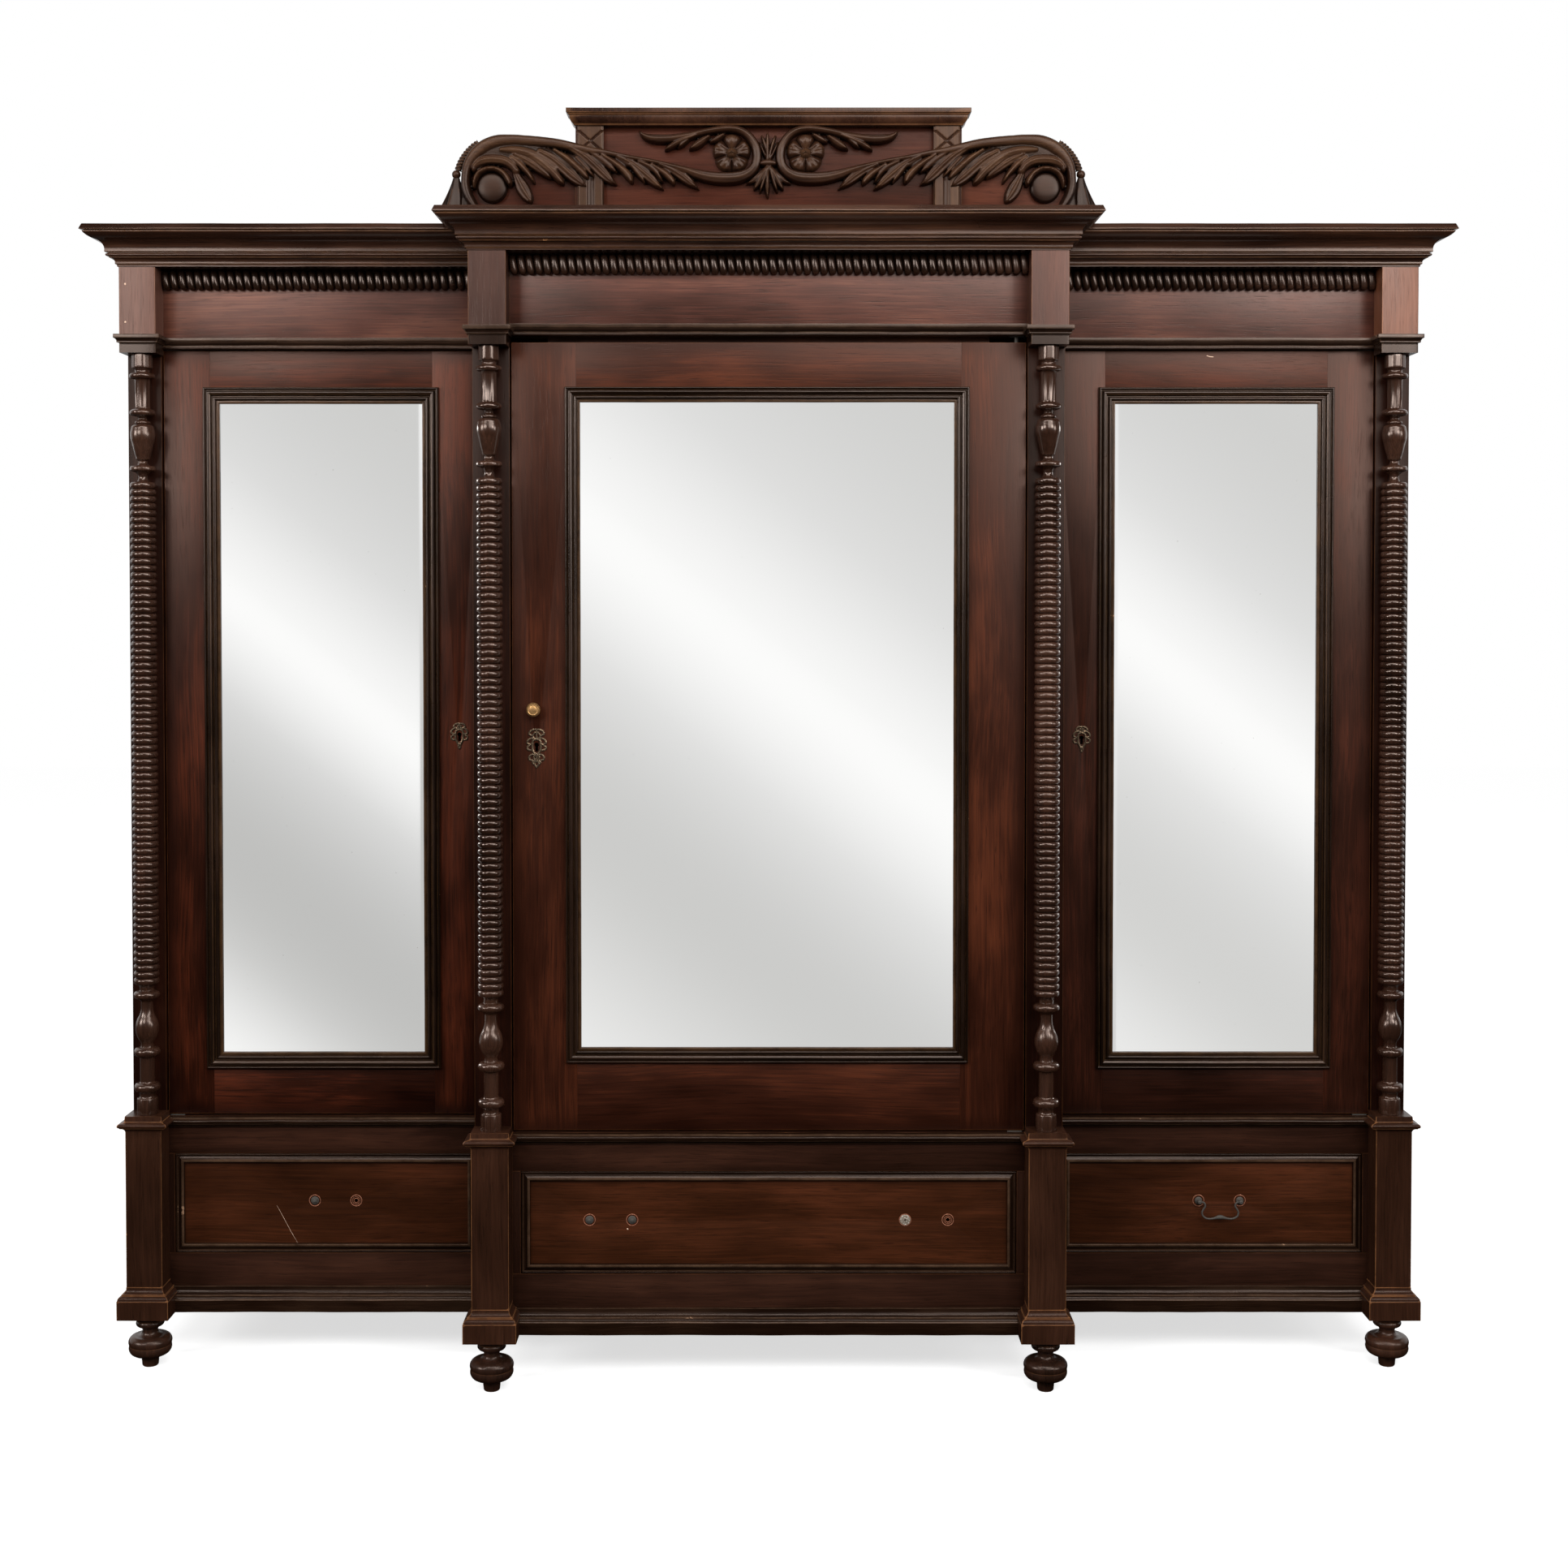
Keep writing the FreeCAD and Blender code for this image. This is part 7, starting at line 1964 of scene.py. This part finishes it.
@dataclass
class PhotographCamera:
    """The camera of the photograph, fitted to the wardrobe's own lines."""

    place: tuple[float, float, float] = (0.0, -3878.0, 1379.0)
    tilt_down: float = 1.4
    lens: float = 47.2
    shift_across: float = 0.0098
    shift_up: float = -0.0797

    def build(self) -> None:
        """Make the camera and make it the scene's own."""
        data = bpy.data.cameras.new("photograph_camera")
        data.lens = self.lens
        data.sensor_width = 36.0
        data.shift_x, data.shift_y = self.shift_across, self.shift_up
        camera = bpy.data.objects.new("photograph_camera", data)
        camera.location = np.array(self.place) * MM
        camera.rotation_euler = (math.radians(90 - self.tilt_down), 0.0, 0.0)
        bpy.context.scene.collection.objects.link(camera)
        bpy.context.scene.camera = camera


BAND_SLOPE = -0.80
BAND_STOPS: dict[str, tuple[tuple[float, str], ...]] = {
    "left": ((-760, "#ffffff"), (-560, "#c4c4c3"), (-330, "#bdbdbc"), (-120, "#d8d8d8"), (20, "#ffffff"),
             (120, "#ffffff"), (330, "#dadada"), (640, "#cdcdcc")),
    "centre": ((-900, "#f4f4f4"), (-620, "#d2d2d1"), (-380, "#c9c9c8"), (-150, "#e2e2e2"), (20, "#ffffff"),
               (150, "#ffffff"), (420, "#dcdcdc"), (800, "#cfcfce")),
    "right": ((-700, "#efefef"), (-520, "#d6d6d5"), (-330, "#d2d2d1"), (-130, "#e4e4e4"), (10, "#ffffff"),
              (120, "#ffffff"), (330, "#dddddd"), (640, "#d0d0cf")),
}
BAND_CENTRES = {"left": (-815.5, 1193.0), "centre": (0.0, 1190.0), "right": (815.5, 1140.0)}
ROOM_STOPS = ((0.0, "#c9c9c8"), (1.0, "#d6d6d6"), (0.3, "#bfbfbe"), (0.42, "#f2f2f2"), (0.52, "#ffffff"),
              (0.7, "#e2e2e2"))


@dataclass(frozen=True)
class CardFinish:
    """White card with soft slanting bands, as bright as the mirror that looks at it should seem."""

    mirror: str
    growth: float
    eye_height: float

    def material(self) -> Material:
        """The card's material: one ramp of greys along a slanting line, set in the mirror's own mm.

        Returns:
            The material.
        """
        (first, start), *inner, (last, end) = BAND_STOPS[self.mirror]
        middle_x, middle_z = BAND_CENTRES[self.mirror]
        level = (1 - 1 / self.growth) * self.eye_height - middle_z + BAND_SLOPE * middle_x
        shrink = 1 / (MM * self.growth)
        stops = [(0.0, start), (1.0, end), *(((mm - first) / (last - first), colour) for mm, colour in inner)]
        return banded_glow(f"{self.mirror}_card", 1.08, (-BAND_SLOPE * shrink, shrink),
                           (first - level, last - level), stops)


def stage_object(name: str, corners: Sequence[Sequence[float]], faces: Sequence[Sequence[int]],
                 made: Material) -> Object:
    """An object of the studio, from corners in metres, faces as rows of their numbers, and its material.

    Args:
        name: its name.
        corners: its corners, in metres.
        faces: each face's corner numbers.
        made: its material.

    Returns:
        The new object.
    """
    mesh = bpy.data.meshes.new(name)
    mesh.from_pydata(corners, [], faces)
    mesh.materials.append(made)
    thing = bpy.data.objects.new(name, mesh)
    bpy.context.scene.collection.objects.link(thing)
    return thing


def show_only(thing: Object, seers: bpy.types.Collection) -> None:
    """Let a thing be seen only as a reflection in a collection's objects, and light nothing else.

    Args:
        thing: the thing that is seen.
        seers: the objects whose reflections show it.
    """
    thing.visible_camera = thing.visible_diffuse = thing.visible_shadow = False
    thing.visible_transmission = thing.visible_volume_scatter = False
    thing.light_linking.receiver_collection = seers


def collection_of(name: str, members: Sequence[Object]) -> bpy.types.Collection:
    """A collection of objects, outside the scene's own.

    Args:
        name: its name.
        members: its objects.

    Returns:
        The new collection.
    """
    made = bpy.data.collections.new(name)
    for member in members:
        made.objects.link(member)
    return made


@dataclass
class Studio:
    """A white floor and soft plain light, with a card of soft bands for each mirror to look at."""

    floor_half: float = 14000.0
    world_level: float = 0.42
    room_half: float = 9000.0
    room_height: float = 7000.0
    room_back: float = 500.0
    card_front: float = -2320.0
    aim: tuple[float, float, float] = (0.0, 0.0, 1150.0)

    def build(self, wardrobe: "Wardrobe", camera: PhotographCamera) -> None:
        """Make the world, the floor, the lamps, the cards and the pale room.

        Args:
            wardrobe: the built wardrobe.
            camera: the photograph's camera.
        """
        self._world()
        self._floor()
        self._lamps()
        self._cards(wardrobe.mirrors, camera)
        self._room([*wardrobe.mirrors.values(), *wardrobe.metals])

    def _world(self) -> None:
        """Plain light from all round, which the camera, metal and glass see as white."""
        world = bpy.data.worlds.new("studio")
        bpy.context.scene.world = world
        world.use_nodes = True
        tree = world.node_tree
        rays = add_node(tree, "LightPath", {}).node.outputs
        seen = add_node(tree, "Math", {"operation": "MAXIMUM", 0: rays["Is Camera Ray"], 1: rays["Is Glossy Ray"]})
        seen = add_node(tree, "Math", {"operation": "MAXIMUM", 0: seen, 1: rays["Is Transmission Ray"]})
        level = add_node(tree, "Mix", {"data_type": "FLOAT", 0: seen, 2: self.world_level, 3: 1.0})
        feed(tree, tree.nodes["Background"], {"Strength": level, "Color": (1, 1, 1, 1)})

    def _floor(self) -> None:
        """A pale floor that the camera sees near white, dark in reflections, that keeps the shadow."""
        made, tree, shader = new_material("studio_floor")
        seen = add_node(tree, "LightPath", {}, "Is Camera Ray")
        glow = add_node(tree, "Math", {"operation": "MULTIPLY", 0: seen, 1: 0.66})
        paint = add_node(tree, "MapRange", {"To Min": 0.12, "To Max": 0.78, "Value": seen})
        feed(tree, shader, {"Roughness": 1.0, "Specular IOR Level": 0.0, "Base Color": paint,
                            "Emission Color": (1, 1, 1, 1), "Emission Strength": glow})
        half = self.floor_half * MM
        corners = [(-half, -half, 0), (half, -half, 0), (half, half, 0), (-half, half, 0)]
        floor = stage_object("studio_floor", corners, [(0, 1, 2, 3)], made)

    def _lamps(self) -> None:
        """A key lamp from each side for the turnings, and high soft lamps that the polish gives back."""
        rows = (("left_side_softbox", (-4800, -2700, 2500), (1400, 1400), 95.0),
                ("right_side_softbox", (4600, -3000, 2300), (1300, 1300), 48.0),
                ("left_front_softbox", (-2150, -3300, 2600), (1300, 900), 44.0),
                ("right_front_softbox", (2350, -3300, 2600), (1000, 900), 34.0),
                ("high_softbox", (1250, -3500, 2950), (2700, 1500), 62.0),
                ("top_softbox", (0, -1750, 3050), (3200, 500), 42.0))
        for name, place, (across, up), power in rows:
            data = bpy.data.lights.new(name, "AREA")
            data.shape, data.size, data.size_y, data.energy = "RECTANGLE", across * MM, up * MM, power
            lamp = bpy.data.objects.new(name, data)
            lamp.location = np.array(place) * MM
            x, y, z = np.array(self.aim) - np.array(place, float)
            lamp.rotation_euler = (math.atan2(math.hypot(x, y), -z), 0.0, math.atan2(y, x) - math.pi / 2)
            bpy.context.scene.collection.objects.link(lamp)

    def _room(self, seers: Sequence[Object]) -> None:
        """The pale room that mirrors and bright metal see past the cards, and that polished wood sees dark.

        It is open behind, where the white world shows at the edges of whatever is round.

        Args:
            seers: the mirrors and the bright metal pieces.
        """
        half, height = self.room_half * MM, self.room_height * MM
        corners = [(x * half, y, z) for z in (0.002, height) for y in (-half, self.room_back * MM) for x in (-1, 1)]
        faces = [(0, 1, 3, 2), (4, 6, 7, 5), (0, 4, 5, 1), (0, 2, 6, 4), (1, 5, 7, 3)]
        room = stage_object("pale_room", corners, faces,
                            banded_glow("pale_room", 1.0, (0.35, 1.0), (-4.0, 8.0), ROOM_STOPS))
        show_only(room, collection_of("mirrors_and_metal_only", seers))

    def _cards(self, mirrors: dict[str, Object], camera: PhotographCamera) -> None:
        """A banded card in front of each mirror, lit for the mirrors alone.

        The line from the camera to a point of the mirror goes on from there to the card, mirrored in
        Y, so the card is the mirror's own rectangle, larger by the length of the whole way over the
        way to the mirror. It is 4 per cent wider and 2 per cent taller still, so that its edge never
        shows.

        Args:
            mirrors: each door's name to its mirror.
            camera: the photograph's camera.
        """
        eye = np.array(camera.place)
        seers = collection_of("mirrors_only", list(mirrors.values()))
        for name, mirror in mirrors.items():
            low, high = box_of(mirror.name)
            growth = 1 + (low[1] - self.card_front) / (low[1] - eye[1])
            corners = [((x - eye[0]) * growth * 1.04 + eye[0], self.card_front, (z - eye[2]) * growth * 1.02 + eye[2])
                       for x, z in ((low[0], low[2]), (high[0], low[2]), (high[0], high[2]), (low[0], high[2]))]
            card = stage_object(f"{name}_card", (np.array(corners) * MM).tolist(), [(0, 1, 2, 3)],
                                CardFinish(name, growth, eye[2]).material())
            show_only(card, seers)


# The whole wardrobe

BOARD_PIECES = (
    Boards("framed_sides", STRIP_MAHOGANY), Boards("partitions", STRIP_MAHOGANY), Boards("back_boards", CARCASS_PINE),
    Boards("case_boards", CARCASS_PINE), Boards("pilaster_strips", STRIP_MAHOGANY), Boards("base_rails", RAIL_MAHOGANY),
    Boards("frieze_boards", FRIEZE_MAHOGANY), Boards("crest_board", PANEL_MAHOGANY), Boards("shelves", CARCASS_PINE),
    Boards("runners_and_cleats", CARCASS_PINE),
    *(Boards(f"{name}_door_frame", finish, 0.6, True)
      for name, finish in zip(PARTS, (LEFT_STILE, CENTRE_STILE, RIGHT_STILE))),
    *(Boards(f"{name}_drawer_front", DRAWER_MAHOGANY) for name in PARTS),
    *(Boards(f"{name}_drawer_box", CARCASS_PINE) for name in PARTS),
)
PLAIN_FINISHES: dict[str, Finish] = {
    "pivot_pins": BLACKENED_IRON, "door_stops_and_keeper": RAIL_PLAIN, "hanging_rail": RAIL_PLAIN,
    **{f"{name}_door_{part}": finish
       for part, finish in (("pivot_sockets", WORN_BRASS), ("lock", BLACKENED_IRON), ("lock_bolt", BLACKENED_IRON))
       for name in PARTS},
}


@dataclass
class Wardrobe:
    """Every sub-assembly of the wardrobe, built in order."""

    frame: dict[str, Any]
    mirrors: dict[str, Object] = field(default_factory=dict)
    metals: list[Object] = field(default_factory=list)

    def body_of(self, node: str) -> str:
        """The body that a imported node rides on."""
        return self.frame["nodes"][node].parent.name.split(":", 1)[1]

    def add(self, name: str, surface: Surface, finish: Finish, node: str, body: str = "root",
            crease: float = 38.0) -> None:
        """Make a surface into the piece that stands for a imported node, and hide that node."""
        make_piece(name, surface, finish, body, (node,), crease)

    def build(self) -> None:
        """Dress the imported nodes, add the pieces and gather what is made of metal."""
        for boards in BOARD_PIECES:
            boards.build(self)
        for name, finish in PLAIN_FINISHES.items():
            dress(self.frame["nodes"][name], finish)
        for side in PARTS:
            mirror = self.frame["nodes"][f"{side}_door_mirror"]
            dress(mirror, MirrorFinish(f"{side}_silvered_mirror"))
            self.mirrors[side] = mirror
        for assembly in (Posts(), Columns(), Feet(), Cornice(), FlatMouldings(), Bobbins(), FrontMouldings(),
                         CrestCarving(), Fittings(), Marks()):
            LOG.info("building %s", type(assembly).__name__)
            assembly.build(self)
        metal = {WORN_BRASS.name, BRIGHT_STEEL.name}
        self.metals = [piece for piece in bpy.data.objects if piece.type == "MESH" and piece.data.materials
                       and piece.data.materials[0] is not None and piece.data.materials[0].name in metal]


def main() -> None:
    """Load the frame, build the wardrobe round it and set the studio."""
    logging.basicConfig(level=logging.INFO, format="%(name)s: %(message)s")
    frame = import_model()
    bpy.context.scene.view_settings.view_transform = "Standard"
    wardrobe = Wardrobe(frame)
    wardrobe.build()
    camera = PhotographCamera()
    camera.build()
    Studio().build(wardrobe, camera)


if __name__ == "__main__":
    main()
